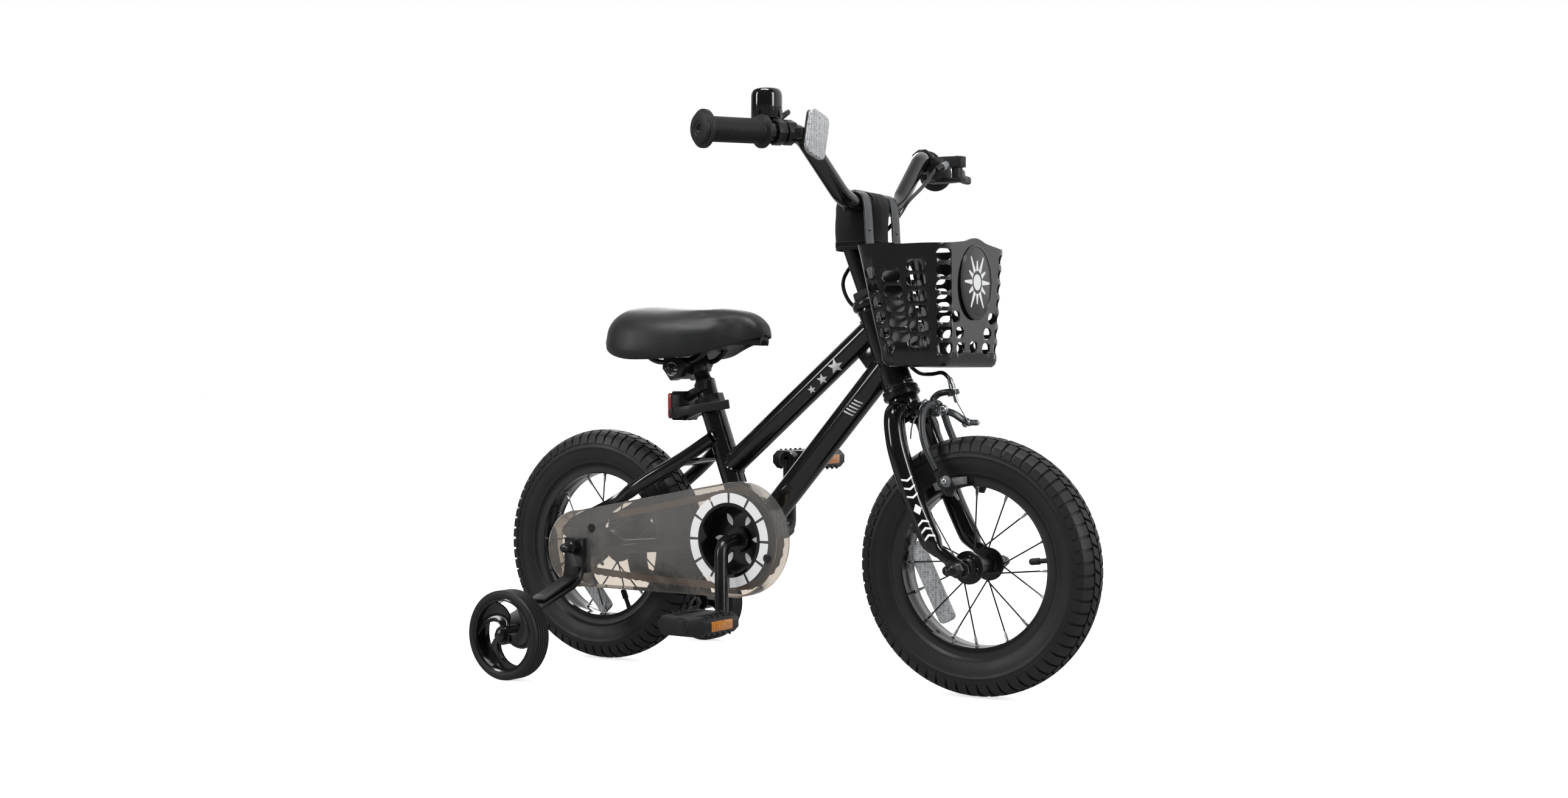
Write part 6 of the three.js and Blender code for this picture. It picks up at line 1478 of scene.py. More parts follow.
SPRING_POINTS = [(-37, 306), (-33, 322), (-19, 337), (0, 352.5), (19, 337), (33, 322), (37, 306)]
PAD_PLATE = [(243, 276), (255, 272), (262, 268), (272, 248), (268, 239), (260, 240), (250, 252), (245, 264)]
PAD_SLOT = [(254.5, 262), (260.5, 265.5), (267, 251.5), (261, 248)]


def caliper_arm(name):
    """One forged arm: its drop to the shoe, its reach to the cable, and what holds the cable there."""
    plan = CALIPER[name]
    arm = Piece("grey_steel", "black_steel", "zinc")
    arm.add(sweep(smooth_path(plan["arm"], 8), 1.0, section=flat_section(*ARM_SECTION), side=X))
    arm.add(sweep(smooth_path(plan["more"], 8), 1.0, section=flat_section(*REACH_SECTION), side=X))
    low, high = plan["boss"]
    boss = [(3.6, low), (8.4, low), (9, low + 0.6), (9, high - 0.6), (8.4, high), (3.6, high)]
    arm.add(turned(boss, CALIPER_PIVOT, X, 36, closed=True))
    span = mirrored(PAD_PLATE_SPAN, SIDES[name])
    arm.add(slab(PAD_PLATE, *span, "y", holes=[PAD_SLOT], ease=0.4), 1)
    if name == "left":
        arm.add(turned(CABLE_STOP, CABLE_STOP_AT, CABLE_STOP_WAY, 32, closed=True))
    else:
        arm.add(nut(CLAMP_NUT_AT, X, 5.2, 5), 2)
        arm.add(turned(CLAMP_BOLT, CLAMP_BOLT_AT, X, 28), 2)
    arm.done(f"caliper_arm_{name}_forged", f"caliper_{name}_body", f"caliper_arm_{name}")


def brake_shoe(name):
    """The rubber block with the nut, cap and washer that hold it in the arm's slot."""
    along = Y * SIDES[name]
    shoe = Piece("brake_rubber", "zinc")
    shoe.add(refined(f"brake_pad_{name}", 0.7))
    foot, across, depth = SHOE["nut"]
    shoe.add(nut(SHOE_AT + along * foot, along, across, depth), 1)
    foot, radius, length = SHOE["cap"]
    shoe.add(domed(SHOE_AT + along * foot, along, radius, length, 24), 1)
    shoe.add(turned(ring_profile(*SHOE["washer"]), SHOE_AT, along, 28, closed=True), 1)
    shoe.done(f"brake_pad_{name}_shoe", f"caliper_{name}_body", f"brake_pad_{name}")


def caliper():
    """Both arms with their shoes, the centre bolt that they share, and the return spring."""
    for name in SIDES:
        caliper_arm(name)
        brake_shoe(name)
    bolt = Piece("zinc")
    start, end, radius = CENTRE_BOLT["rod"]
    bolt.add(rod(CALIPER_PIVOT + X * start, CALIPER_PIVOT + X * end, radius, 20))
    bolt.add(turned(ring_profile(*CENTRE_BOLT["washer"]), CALIPER_PIVOT, X, 32, closed=True))
    for key, shape in (("nut", nut), ("cap", domed), ("knob", knurled)):
        foot, *sizes = CENTRE_BOLT[key]
        bolt.add(shape(CALIPER_PIVOT + X * foot, X, *sizes))
    bolt.done("caliper_centre_bolt", "steering", "caliper_bolt")
    spring = Piece("zinc")
    spring.add(sweep(smooth_path([(SPRING_X, y, z) for y, z in SPRING_POINTS], 10), 1.0, 12))
    spring.done("caliper_return_spring", "steering", "caliper_spring")


CABLE_POINTS = [
    (149.2, 137.4, 647.6), (150, 100, 622), (150.5, 62, 600), (147, 46, 582), (133, 36, 562), (112, 28, 544),
    (97, 16, 522), (90, 5, 498), (95, 13, 474), (112, 28, 459), (138, 37, 448), (154, 37, 428),
    (161, 34, 405), (184, 28, 386), (206, 20, 383.5), (226, 14, 385), (238, 10, 377)]


CABLE_RADIUS, WIRE_RADIUS = 2.4, 0.8
NOODLE = (Vector((237.6, 10, 377.6)), Vector((247, 10, 349.5)))
NOODLE_HEAD = [(0, -1), (3.2, -1), (3.4, 6.5), (2.9, 7), (0, 7)]
NOODLE_KNOB = {"from": 7, "radius": 4.0, "length": 5.5, "teeth": 12}
NOODLE_ROD = {"from": 12, "radius": 2.6}
WIRE_END, WIRE_TUCK = (256, 22, 326), 2


def cable():
    """The outer along its route, the adjuster that it ends in, and the bare wire to the clamp."""
    made = Piece("gloss_plastic", "zinc")
    made.add(sweep(smooth_path(CABLE_POINTS, 8), CABLE_RADIUS, 20))
    top, foot = NOODLE
    reach = (foot - top).length
    along = (foot - top).normalized()
    knob, low, radius = NOODLE_KNOB, NOODLE_ROD["from"], NOODLE_ROD["radius"]
    made.add(turned(NOODLE_HEAD, top, along, 24), 1)
    made.add(knurled(top + along * knob["from"], along, knob["radius"], knob["length"], knob["teeth"]), 1)
    made.add(turned([(0, low), (radius, low), (radius, reach), (0, reach)], top, along, 20), 1)
    made.add(rod(foot - along * WIRE_TUCK, WIRE_END, WIRE_RADIUS, 10), 1)
    made.done("brake_cable_run", "steering", "brake_cable")


# Drive

CASE_FRONT, CASE_REAR, CASE_REAR_AT = 73, 51, (-281.5, 152.5)


SHELL_SPOT = (SHELL.x, SHELL.z)
CASE = {"face": -63.0, "depth": 28.6, "ease": 3.2, "eye": 44.6, "corner": math.radians(60)}
CASE_LIP = [(43, -63.6), (46.6, -63.6), (47.2, -62.8), (45.2, -61.2), (45.2, -40), (43.4, -40)]
DASHES = {"count": 12, "inner": 47.4, "outer": 59.6, "share": (0.06, 0.94), "span": (-63.35, -63.02)}
CASE_SCREW = [(0, 0), (5.4, 0), (5.4, -0.9), (4.4, -1.7), (0, -2.0)]
CASE_SCREWS_AT = [(-258, 181), (21, 155)]


def case_outline(steps=40):
    """The case's outline: two circles and the lines that touch them both."""
    front, rear = Vector(SHELL_SPOT), Vector(CASE_REAR_AT)
    gap = front - rear
    base = math.atan2(gap.y, gap.x)
    lean = math.acos((CASE_FRONT - CASE_REAR) / gap.length)
    points = [polar(CASE_FRONT, base - lean + 2 * lean * k / steps, front) for k in range(steps + 1)]
    return points + [polar(CASE_REAR, base + lean + (TURN - 2 * lean) * k / steps, rear)
                     for k in range(steps + 1)]


def case_shell(wall):
    """The case's face with its round eye, drawn back into a skirt and given a wall; its back stays open."""
    shell = bmesh.new()
    eye = [polar(CASE["eye"], -TURN * k / 72, SHELL_SPOT) for k in range(72)]
    rim_edges, eye_edges = [ring_of(shell, [(u, CASE["face"], v) for u, v in loop])
                            for loop in (case_outline(), eye)]
    bmesh.ops.triangle_fill(shell, use_beauty=True, use_dissolve=False, edges=rim_edges + eye_edges)
    skirt = bmesh.ops.extrude_edge_only(shell, edges=rim_edges)["geom"]
    bmesh.ops.translate(shell, vec=Y * CASE["depth"], verts=points_of(skirt))
    bmesh.ops.recalc_face_normals(shell, faces=shell.faces)
    face = next(f for f in shell.faces if abs(f.normal.y) > 0.9)
    if face.normal.y > 0:
        bmesh.ops.reverse_faces(shell, faces=shell.faces)
    sharp = [e for e in shell.edges if e.is_manifold and e.calc_face_angle(0) > CASE["corner"]]
    bmesh.ops.bevel(shell, geom=sharp, offset=CASE["ease"], offset_type="OFFSET", segments=4, profile=0.5,
                    affect="EDGES", clamp_overlap=True, material=-1)
    bmesh.ops.solidify(shell, geom=list(shell.faces), thickness=wall)
    return clean(shell, 1e-4)


def chain_case(settings):
    """The smoky case with its dark lip, a printed ring of dashes and two screws."""
    made = Piece("smoke_plastic", "gloss_plastic", "print_white", "black_steel")
    made.add(case_shell(settings.case_wall / MM))
    made.add(turned(CASE_LIP, (SHELL.x, 0, SHELL.z), Y, 72, closed=True), 1)
    for k in range(DASHES["count"]):
        start, end = [TURN * (k + share) / DASHES["count"] for share in DASHES["share"]]
        arcs = [start + (end - start) * i / 6 for i in range(7)]
        dash = [polar(DASHES["inner"], a, SHELL_SPOT) for a in arcs]
        dash += [polar(DASHES["outer"], a, SHELL_SPOT) for a in reversed(arcs)]
        made.add(slab(dash, *DASHES["span"], "y", ease=0), 2)
    for x, z in CASE_SCREWS_AT:
        made.add(turned(CASE_SCREW, (x, CASE["face"], z), Y, 28), 3)
    made.done("chain_case_shell", "frame_body", "chain_case", slot="smoke_plastic")


CRANK = {"reach": 95.8, "radius": 8.5, "bend": 14, "tip": 91, "shoulder": 80, "lean": 6, "straight": 64}
CRANK_EYE = [(4.9, 84), (11, 84), (12, 85), (12, 97), (11, 98), (4.9, 98)]
CRANK_CONES = [
    [(0, -47), (15.4, -47), (17, -46), (17, -41.2), (15.4, -40.2), (0, -40.2)],
    [(0, 36), (13, 36), (14, 37), (14, 41), (12, 43), (0, 43)]]
PEDAL_SPINDLE = [(0, 98), (7.4, 98), (7.4, 102.6), (5, 103.2), (5, 168), (0, 168)]
RING_DISC = [(17.4, -39.5), (41.6, -39.5), (42.2, -39.2), (17.4, -39.1)]
PETAL = {"count": 6, "from": 19.5, "length": 17.5, "half": 3.6, "span": (-39.8, -39.45)}


def crank():
    """The bar bent from one piece, with its cones, eyes and pedal spindles."""
    middle = Vector((SHELL.x, 0, SHELL.z))
    lo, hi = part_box("pedal_right")
    pedal = (lo + hi) / 2 / MM
    way = (Vector((pedal.x, 0, pedal.z)) - middle).normalized()
    corners = [middle + way * CRANK["reach"] - Y * CRANK["tip"],
               middle + way * CRANK["lean"] - Y * CRANK["shoulder"], middle - Y * CRANK["straight"],
               middle + Y * CRANK["straight"], middle - way * CRANK["lean"] + Y * CRANK["shoulder"],
               middle - way * CRANK["reach"] + Y * CRANK["tip"]]
    made = Piece("black_steel")
    made.add(sweep(rounded_path(corners, CRANK["bend"], 8), CRANK["radius"], 32))
    for side in (-1, 1):
        tip = middle - way * side * CRANK["reach"]
        made.add(turned(CRANK_EYE, tip, Y * side, 36, closed=True))
        made.add(turned(PEDAL_SPINDLE, tip, Y * side, 24))
    for profile in CRANK_CONES:
        made.add(turned(profile, middle, Y, 40))
    made.done("crank_bent_bar", "crankset", "crank")


def petal():
    """One petal, pointed at both ends."""
    edge = [(PETAL["from"] + PETAL["length"] * i / 12, PETAL["half"] * math.sin(math.pi * i / 12) ** 0.8)
            for i in range(13)]
    return edge + [(u, -v) for u, v in reversed(edge[1:-1])]


def chainring():
    """The toothed ring, its pressed disc and six printed petals."""
    disc = Piece("black_steel", "print_white")
    disc.add(refined("chainring", 0.25, 1))
    disc.add(turned(RING_DISC, (SHELL.x, 0, SHELL.z), Y, 64, closed=True))
    for k in range(PETAL["count"]):
        outline = turned_flat(petal(), TURN * k / PETAL["count"], SHELL_SPOT)
        disc.add(slab(outline, *PETAL["span"], "y", ease=0), 1)
    disc.done("chainring_toothed", "crankset", "chainring")


PEDAL_LENS = {"box": (44, 12, 1.6, 3), "span": (-0.9, 0.9), "at": 34.4}
STUD = [(0, 0), (1.9, 0), (1.7, 1.6), (1.0, 2.1), (0, 2.2)]
STUDS = {"count": 5, "margin": 12, "at": 29.5, "level": 11.6}
PEDAL_CAP = [(0, 1.4), (7.4, 1.4), (8.6, 1.0), (10.6, 0.9), (11.0, 0.2), (11.0, -3), (0, -3)]


def pedal(name):
    """A platform pedal with its end lenses, rows of studs and outer cap."""
    made = Piece("black_plastic", "amber_plastic", "black_steel")
    made.add(refined(f"pedal_{name}", 0.7))
    lo, hi = [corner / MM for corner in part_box(f"pedal_{name}")]
    middle = (lo + hi) / 2
    row = (hi.y - lo.y - 2 * STUDS["margin"]) / (STUDS["count"] - 1)
    for end in (-1, 1):
        face = slab(rounded_box(*PEDAL_LENS["box"]), *PEDAL_LENS["span"], "x", ease=0.4)
        made.add(place(face, Matrix.Translation(middle + X * end * PEDAL_LENS["at"])), 1)
        for k in range(STUDS["count"]):
            for level in (-1, 1):
                foot = (middle.x + end * STUDS["at"], lo.y + STUDS["margin"] + k * row,
                        middle.z + level * STUDS["level"])
                made.add(turned(STUD, foot, Z * level, 12))
    side = SIDES[name]
    made.add(turned(PEDAL_CAP, (middle.x, lo.y if side < 0 else hi.y, middle.z), Y * side, 40))
    made.done(f"pedal_{name}_moulded", f"pedal_{name}_body", f"pedal_{name}")


# Seat

SADDLE = [
    (-268.5, 20, 446, 432), (-264, 44, 456, 424), (-252, 61, 464.5, 417), (-232, 72, 470.5, 410),
    (-205, 77, 471.2, 405.5), (-176, 75, 469.2, 405), (-146, 68, 467.2, 406), (-114, 52, 466.6, 409.5),
    (-84, 36, 467.3, 417), (-58, 27, 466, 424), (-36, 22, 460, 429), (-23, 16, 450, 431.5),
    (-18.6, 8, 441, 433)]
RAIL_POINTS = [
    (-206, 427), (-192, 407), (-180, 401.5), (-166, 400), (-132, 400), (-118, 402), (-104, 412), (-92, 427)]


SHORTER = (Matrix.Translation((-20.6, 0, 0)) @ Matrix.Diagonal((0.912, 1, 1, 1))
           @ Matrix.Translation((18.6, 0, 0)))
SKIRT_TUCK = [(0.93, -1.6), (0.84, 0.6)]
SADDLE_SOFT_FROM, SADDLE_FREE_FROM, SADDLE_FREE_TO = 420, 432, 452
RAIL = {"side": 22.3, "radius": 3.4}


def saddle_section(x, half, top, foot, steps=18):
    """Points round the saddle at one station: over the top, and tucked in under both skirts."""
    points = []
    for k in range(steps + 1):
        c, s = polar(1, math.pi * k / steps)
        points.append((half * math.copysign(abs(c) ** 0.74, c), foot + (top - foot) * abs(s) ** 0.62))
    y, z = points[-1]
    tuck = [(y * share, z + drop) for share, drop in SKIRT_TUCK]
    return [(x, u, v) for u, v in points + tuck + [(-u, v) for u, v in reversed(tuck)]]


def saddle(settings):
    """The padded cover, lofted along its stations and swollen a little, over its shell and wire rails."""
    spine = smooth_path([SHORTER @ Vector((x, half, 0)) for x, half, *_ in SADDLE], 3)
    tops = smooth_path([(x, top, foot) for x, _, top, foot in SADDLE], 3)
    cover = clean(lofted([saddle_section(a.x, a.y, b.y, b.z) for a, b in zip(spine, tops)]), 1e-3)
    for v in cover.verts:
        soft = noise.noise(v.co * 0.022) * 0.9 + noise.noise(v.co * 0.06) * 0.3
        v.co.z += soft if v.co.z > SADDLE_SOFT_FROM else 0
    bmesh.ops.subdivide_edges(cover, edges=cover.edges, cuts=1, use_grid_fill=True, smooth=0.6)
    made = Piece("saddle_vinyl")
    swell = settings.saddle_swell / MM
    made.add(swollen(cover, swell, lambda p: ramp(p.z, SADDLE_FREE_FROM, SADDLE_FREE_TO)))
    obj = made.done("saddle_cover_padded", "seat", "saddle_cover", crease=60)
    base = Piece("black_plastic")
    base.add(place(refined("saddle_base", 0.3), SHORTER))
    base.done("saddle_base_moulded", "seat", "saddle_base")
    rails = Piece("black_steel")
    for side in (-1, 1):
        path = smooth_path([(x, side * RAIL["side"], z) for x, z in RAIL_POINTS], 8)
        rails.add(sweep(path, RAIL["radius"], 20))
    rails.done("saddle_rail_wires", "seat", "saddle_rails")


POST = [(0, -92), (12.4, -92), (13.5, -90), (13.5, 24), (13, 26), (10.4, 30), (10, 36), (10, 62), (0, 62)]
CLAMP_AT = Vector((-150, 0, 391))
CLAMP_ENDS = {"nut": (30.6, 6.6, 4.2), "cap": (34.6, 3.9, 3.2), "washer": (4.2, 9.2, 29.8, 30.9)}
NEARER = Matrix.Translation((-118, 0, 0)) @ Matrix.Diagonal((0.7, 1, 1, 1)) @ Matrix.Translation((118, 0, 0))
REAR_LENS = {"box": (40, 34, 4, 4), "span": (-184, -172.5), "z": 343}


def seat_fittings():
    """The post, the saddle's clamp, the collar with its quick release, and the rear reflector."""
    post = Piece("black_steel")
    post.add(turned(POST, SEAT_HIGH, SEAT_UP, 48))
    post.done("seat_post_turned", "seat", "seat_post")
    clamp = Piece("black_steel", "zinc")
    clamp.add(refined("saddle_clamp", 0.5))
    for side in (-1, 1):
        along = Y * side
        foot, across, depth = CLAMP_ENDS["nut"]
        clamp.add(nut(CLAMP_AT + along * foot, along, across, depth), 1)
        foot, radius, length = CLAMP_ENDS["cap"]
        clamp.add(domed(CLAMP_AT + along * foot, along, radius, length, 20), 1)
        clamp.add(turned(ring_profile(*CLAMP_ENDS["washer"]), CLAMP_AT, along, 32, closed=True), 1)
    clamp.done("saddle_clamp_stamped", "seat", "saddle_clamp")
    collar = Piece("black_steel")
    collar.add(refined("seat_collar", 0.6))
    collar.done("seat_collar_clamp", "frame_body", "seat_collar")
    quick = Piece("black_plastic")
    quick.add(refined("seat_quick_release", 1.4, 3))
    quick.done("quick_release_lever", "quick_release_body", "seat_quick_release")
    lamp = Piece("black_plastic", "red_plastic")
    lamp.add(place(refined("rear_reflector", 0.9), NEARER))
    lens = slab(rounded_box(*REAR_LENS["box"]), *REAR_LENS["span"], "x", ease=0.8)
    lamp.add(place(lens, NEARER @ Matrix.Translation((0, 0, REAR_LENS["z"]))), 1)
    lamp.done("rear_reflector_housing", "seat", "rear_reflector")


# Training wheels

TRAINER = Vector((-269, 214, 56.4))


TRAINER_TYRE = [(46.6, -12.8), (48.4, -13.8), (52.6, -14), (55, -13), (56.2, -11.4)]
TRAINER_GROOVE = [(56.4, -1.55), (56.4, -0.75), (54.6, -0.45), (54.6, 0.45), (56.4, 0.75), (56.4, 1.55)]
TRAINER_GROOVES = {"count": 5, "pitch": 4.2}
TRAINER_RIM = [
    (46.9, -12.6), (46.9, 12.6), (45.6, 13.2), (43.4, 12.4), (42.8, 9), (42.8, -9), (43.4, -12.4),
    (45.6, -13.2)]
TRAINER_HUB = [(5.6, -13.5), (10.6, -13.5), (12, -12), (12, 12), (10.6, 13.5), (5.6, 13.5)]
BLADES, BLADE_START = 3, 0.09 * TURN
BLADE = {"inner": 9, "length": 35, "foot": math.radians(46), "spread": math.radians(26),
         "swirl": math.radians(62), "dish": 9.0, "draw": 3.5, "tilt": 3.4, "hollow": 2.2, "thick": 2.6}


def training_wheel(name):
    """The grooved tyre, and the moulded wheel with its swirled blades."""
    side = SIDES[name]
    centre = Vector((TRAINER.x, TRAINER.y * side, TRAINER.z))
    tread_line = []
    for k in range(TRAINER_GROOVES["count"]):
        y = TRAINER_GROOVES["pitch"] * (k - (TRAINER_GROOVES["count"] - 1) / 2)
        tread_line += [(r, y + v) for r, v in TRAINER_GROOVE]
    profile = TRAINER_TYRE + tread_line + [(r, -v) for r, v in reversed(TRAINER_TYRE)]
    tyre_piece = Piece("tyre_rubber")
    tyre_piece.add(turned(profile, centre, Y, 96, closed=True))
    tyre_piece.done(f"training_tyre_{name}_grooved", f"training_wheel_{name}_body", f"training_tyre_{name}")
    wheel = Piece("gloss_plastic")
    wheel.add(turned(TRAINER_RIM, centre, Y, 72, closed=True))
    wheel.add(turned(TRAINER_HUB, centre, Y, 40, closed=True))
    for k in range(BLADES):
        turn = Matrix.Rotation(TURN * k / BLADES + BLADE_START, 4, "Y")
        wheel.add(place(blade(side), Matrix.Translation(centre) @ turn))
    wheel.done(f"training_wheel_{name}_moulded", f"training_wheel_{name}_body", f"training_wheel_{name}")


def blade(side):
    """One swirled blade, narrow at the hub and broad at the rim, with a raised leading edge."""
    part = bmesh.new()
    bmesh.ops.create_grid(part, x_segments=14, y_segments=8, size=0.5)
    for v in part.verts:
        t, w = v.co.x + 0.5, v.co.y
        radius = BLADE["inner"] + BLADE["length"] * t
        angle = BLADE["swirl"] * t ** 1.3 + w * (BLADE["foot"] + BLADE["spread"] * t)
        dish = BLADE["dish"] - BLADE["draw"] * math.sin(math.pi * t) + BLADE["tilt"] * w
        dish -= BLADE["hollow"] * (1 - (2 * w) ** 2)
        v.co = Vector((radius * math.cos(angle), side * dish, radius * math.sin(angle)))
    bmesh.ops.recalc_face_normals(part, faces=part.faces)
    bmesh.ops.solidify(part, geom=list(part.faces), thickness=BLADE["thick"])
    return eased(clean(part, 1e-3), 0.5, 2, 50)


TRAINER_ROD = [(0, 183), (4.9, 183), (4.9, 229), (0, 229)]
TRAINER_BOLT_HEAD = [(0, 229.1), (7.0, 229.1), (8.0, 230.2), (7.6, 232.0), (5.4, 233.4), (0, 234)]
TRAINER_BOLT = {"nut": (183, 8.2, 6.8), "washer": (5.2, 9.4, 228.1, 229.2)}


def training_bracket(name):
    """The pressed bracket, and the bolt that the training wheel turns on."""
    made = Piece("black_steel")
    made.add(refined(f"training_bracket_{name}", 0.7))
    made.done(f"training_bracket_{name}_pressed", "frame_body", f"training_bracket_{name}")
    foot, along = Vector((TRAINER.x, 0, TRAINER.z)), Y * SIDES[name]
    start, across, depth = TRAINER_BOLT["nut"]
    bolt = Piece("black_steel")
    bolt.add(turned(TRAINER_ROD, foot, along, 24))
    bolt.add(nut(foot + along * start, along, across, depth))
    bolt.add(turned(ring_profile(*TRAINER_BOLT["washer"]), foot, along, 32, closed=True))
    bolt.add(turned(TRAINER_BOLT_HEAD, foot, along, 32))
    bolt.done(f"training_bolt_{name}_screw", "frame_body", f"training_bolt_{name}")


# Stage

CAMERA = {"at": (1.2648, -1.9371, 0.3725), "forward": (-0.5451, 0.8383, -0.0087), "lens": 41.66,
          "sensor": 36.0, "far": 200}
FLOOR_SIZE = 60
BACKDROP = {"light": 0.62, "shine": (-0.05, 0.45, 0.07, 0.85)}
# Each lamp: name, place, what it faces, width, height, power.
LAMPS = [
    ("top", (0.2, -0.9, 2.6), (0.0, 0.0, 0.35), 1.5, 0.5, 40.0),
    ("front", (2.7, -0.5, 1.3), (0.1, 0.0, 0.4), 0.6, 1.5, 24.0),
    ("right", (-1.9, -2.3, 1.5), (0.0, 0.0, 0.3), 0.4, 1.5, 22.0),
    ("back", (-1.8, 2.2, 1.7), (0.0, 0.0, 0.4), 0.8, 1.5, 16.0),
]


def studio_floor():
    bpy.ops.mesh.primitive_plane_add(size=FLOOR_SIZE)
    floor = bpy.context.object
    floor.name = "studio_floor"
    floor.data.materials.append(look("floor"))


def studio_object(name, data, spot, way):
    """A camera or lamp at a spot, looking along a direction."""
    made = bpy.data.objects.new(name, data)
    made.location = spot
    made.rotation_euler = way.to_track_quat("-Z", "Y").to_euler()
    bpy.context.scene.collection.objects.link(made)
    return made


def studio_camera():
    data = bpy.data.cameras.new("camera")
    data.lens, data.sensor_width, data.clip_end = CAMERA["lens"], CAMERA["sensor"], CAMERA["far"]
    bpy.context.scene.camera = studio_object("camera", data, CAMERA["at"], Vector(CAMERA["forward"]))


def studio_lamps():
    for name, spot, target, width, height, power in LAMPS:
        lamp = bpy.data.lights.new("lamp_" + name, "AREA")
        lamp.shape, lamp.size, lamp.size_y, lamp.energy = "RECTANGLE", width, height, power
        studio_object("lamp_" + name, lamp, spot, Vector(target) - Vector(spot))


def studio_world():
    """White where it is seen, softer as a light, and in glossy things bright only towards the bike's left."""
    world = bpy.data.worlds.new("studio")
    bpy.context.scene.world = world
    world.use_nodes = True
    tree = world.node_tree
    tree.nodes.clear()
    start = Value(tree, None)
    shine = start.node("LightPath", None, "Is Glossy Ray")
    behind = start.node("TexCoord", None, "Generated").axis("Y").fit(*BACKDROP["shine"])
    level = seen_rays(start).fit(0.0, 1.0, BACKDROP["light"], 1.0) * (1.0 - shine) + shine * behind
    background = tree.nodes.new("ShaderNodeBackground")
    background.inputs["Color"].default_value = (1.0, 1.0, 1.0, 1.0)
    tree.links.new(level.end, background.inputs["Strength"])
    output = tree.nodes.new("ShaderNodeOutputWorld")
    tree.links.new(background.outputs[0], output.inputs["Surface"])


def stage():
    """The floor, camera, lamps and background."""
    studio_floor()
    studio_camera()
    studio_lamps()
    studio_world()
    bpy.context.scene.view_settings.view_transform = "Standard"


def dress_nodes():
    """Gives each CAD node the procedural look of its slot."""
    for key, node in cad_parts.items():
        held = node.data.materials[0].name.split(".")[0] if node.data.materials else "black_steel"
        name = held if held in LOOKS else "black_steel"
        node.data.materials.clear()
        node.data.materials.append(look("chain_steel" if key == "chain" else name))


# Add-on

class WheelSettings(bpy.types.PropertyGroup):
    lug_height: bpy.props.FloatProperty(
        name="Lug height", description="Height of the tread above the casing", default=0.0029, min=0.0,
        max=0.006, subtype="DISTANCE", unit="LENGTH")
    spoke_radius: bpy.props.FloatProperty(
        name="Spoke radius", description="Half the thickness of a spoke", default=0.001, min=0.0005,
        max=0.0025, subtype="DISTANCE", unit="LENGTH")


class BasketSettings(bpy.types.PropertyGroup):
    wall: bpy.props.FloatProperty(
        name="Wall", description="Thickness of the basket's walls", default=0.0026, min=0.001, max=0.006,
        subtype="DISTANCE", unit="LENGTH")
    window_height: bpy.props.FloatProperty(
        name="Window height", description="Height of the windows in the walls", default=0.0132, min=0.006,
        max=0.016, subtype="DISTANCE", unit="LENGTH")


class DriveSettings(bpy.types.PropertyGroup):
    case_wall: bpy.props.FloatProperty(
        name="Case wall", description="Thickness of the chain case", default=0.0018, min=0.001, max=0.004,
        subtype="DISTANCE", unit="LENGTH")


class SoftSettings(bpy.types.PropertyGroup):
    saddle_swell: bpy.props.FloatProperty(
        name="Saddle swell", description="How far the saddle's cover may puff out", default=0.0024, min=0.0,
        max=0.006, subtype="DISTANCE", unit="LENGTH")
    pad_swell: bpy.props.FloatProperty(
        name="Pad swell", description="How far the bar's pad may puff out", default=0.0022, min=0.0,
        max=0.006, subtype="DISTANCE", unit="LENGTH")


class FinishSettings(bpy.types.PropertyGroup):
    paint: bpy.props.FloatVectorProperty(
        name="Paint", description="Colour of the frame, the fork and the bar",
        default=(0.006, 0.006, 0.0066), min=0.0, max=1.0, subtype="COLOR")
    saddle: bpy.props.FloatVectorProperty(
        name="Saddle", description="Colour of the saddle's cover", default=(0.017, 0.0178, 0.0195),
        min=0.0, max=1.0, subtype="COLOR")


class BuildWheels(bpy.types.Operator):
    """Builds the two main wheels: tyres, rims, spokes, hubs, axles, valves and reflectors"""
    bl_idname = "bike.wheels"
    bl_label = "Wheels"

    def execute(self, context):
        settings = context.scene.bike_wheels
        for end in ("front", "rear"):
            tyre(end, settings)
            rim(end)
            spokes(end, settings)
            valve(end)
            hub(end)
            wheel_reflector(end)
            axle(end)
        return {"FINISHED"}


class BuildFrame(bpy.types.Operator):
    """Builds the frame with its welds and decals, the headset and the fork"""
    bl_idname = "bike.frame"
    bl_label = "Frame and fork"

    def execute(self, context):
        frame_tubes()
        decals()
        headset()
        fork()
        return {"FINISHED"}


class BuildCockpit(bpy.types.Operator):
    """Builds the handlebar, stem, grips, pad, bell, reflector and brake lever"""
    bl_idname = "bike.cockpit"
    bl_label = "Handlebar"

    def execute(self, context):
        handlebar()
        for name in SIDES:
            grip(name)
        pad(context.scene.bike_soft)
        bell()
        front_reflector()
        brake_lever()
        return {"FINISHED"}


class BuildBasket(bpy.types.Operator):
    """Builds the basket with its windows, plate and hooks"""
    bl_idname = "bike.basket"
    bl_label = "Basket"

    def execute(self, context):
        basket(context.scene.bike_basket)
        basket_brackets()
        return {"FINISHED"}


class BuildBrake(bpy.types.Operator):
    """Builds the caliper, its pads and spring, and the cable"""
    bl_idname = "bike.brake"
    bl_label = "Brake"

    def execute(self, context):
        caliper()
        cable()
        return {"FINISHED"}


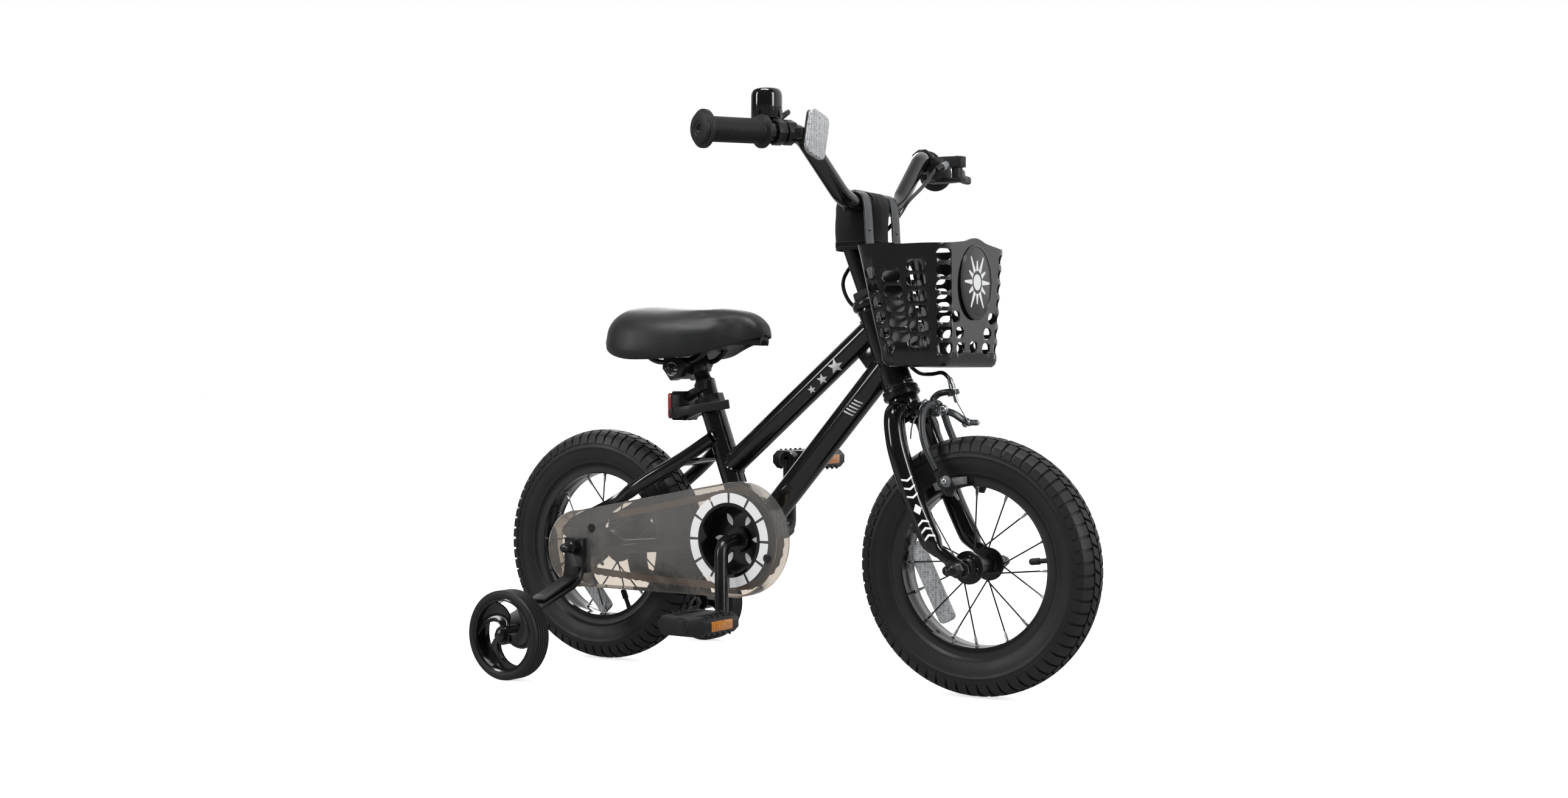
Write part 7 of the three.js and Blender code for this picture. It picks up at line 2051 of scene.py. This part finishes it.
class BuildDrive(bpy.types.Operator):
    """Builds the chain case, crank, chainring and pedals"""
    bl_idname = "bike.drive"
    bl_label = "Drive"

    def execute(self, context):
        chain_case(context.scene.bike_drive)
        crank()
        chainring()
        for name in SIDES:
            pedal(name)
        return {"FINISHED"}


class BuildSeat(bpy.types.Operator):
    """Builds the saddle, its rails, clamp and post, the collar, quick release and rear reflector"""
    bl_idname = "bike.seat"
    bl_label = "Seat"

    def execute(self, context):
        saddle(context.scene.bike_soft)
        seat_fittings()
        return {"FINISHED"}


class BuildTrainers(bpy.types.Operator):
    """Builds the training wheels and their brackets"""
    bl_idname = "bike.trainers"
    bl_label = "Training wheels"

    def execute(self, context):
        for piece in (training_wheel, training_bracket):
            for name in SIDES:
                piece(name)
        return {"FINISHED"}


class BuildStage(bpy.types.Operator):
    """Sets the floor, camera, lamps and background"""
    bl_idname = "bike.stage"
    bl_label = "Stage"

    def execute(self, context):
        dress_nodes()
        stage()
        return {"FINISHED"}


class BikePanel(bpy.types.Panel):
    """The bike's pieces and their sizes"""
    bl_idname = "VIEW3D_PT_bike"
    bl_label = "Kids bike"
    bl_space_type = "VIEW_3D"
    bl_region_type = "UI"
    bl_category = "Bike"

    def draw(self, context):
        for group in GROUPS:
            held = getattr(context.scene, group)
            for key in held.__annotations__:
                self.layout.prop(held, key)
        for operator in OPERATORS:
            self.layout.operator(operator.bl_idname)


GROUPS = {"bike_wheels": WheelSettings, "bike_basket": BasketSettings, "bike_drive": DriveSettings,
          "bike_soft": SoftSettings, "bike_finish": FinishSettings}
OPERATORS = (
    BuildStage, BuildWheels, BuildFrame, BuildCockpit, BuildBasket, BuildBrake, BuildDrive, BuildSeat,
    BuildTrainers)


def register():
    for made in (*GROUPS.values(), *OPERATORS, BikePanel):
        bpy.utils.register_class(made)
    for name, group in GROUPS.items():
        setattr(bpy.types.Scene, name, bpy.props.PointerProperty(type=group))


def unregister():
    for name in GROUPS:
        delattr(bpy.types.Scene, name)
    for made in (BikePanel, *reversed(OPERATORS), *reversed(GROUPS.values())):
        bpy.utils.unregister_class(made)


def main():
    register()
    for operator in OPERATORS:
        group, name = operator.bl_idname.split(".")
        getattr(getattr(bpy.ops, group), name)()


if __name__ == "__main__":
    main()
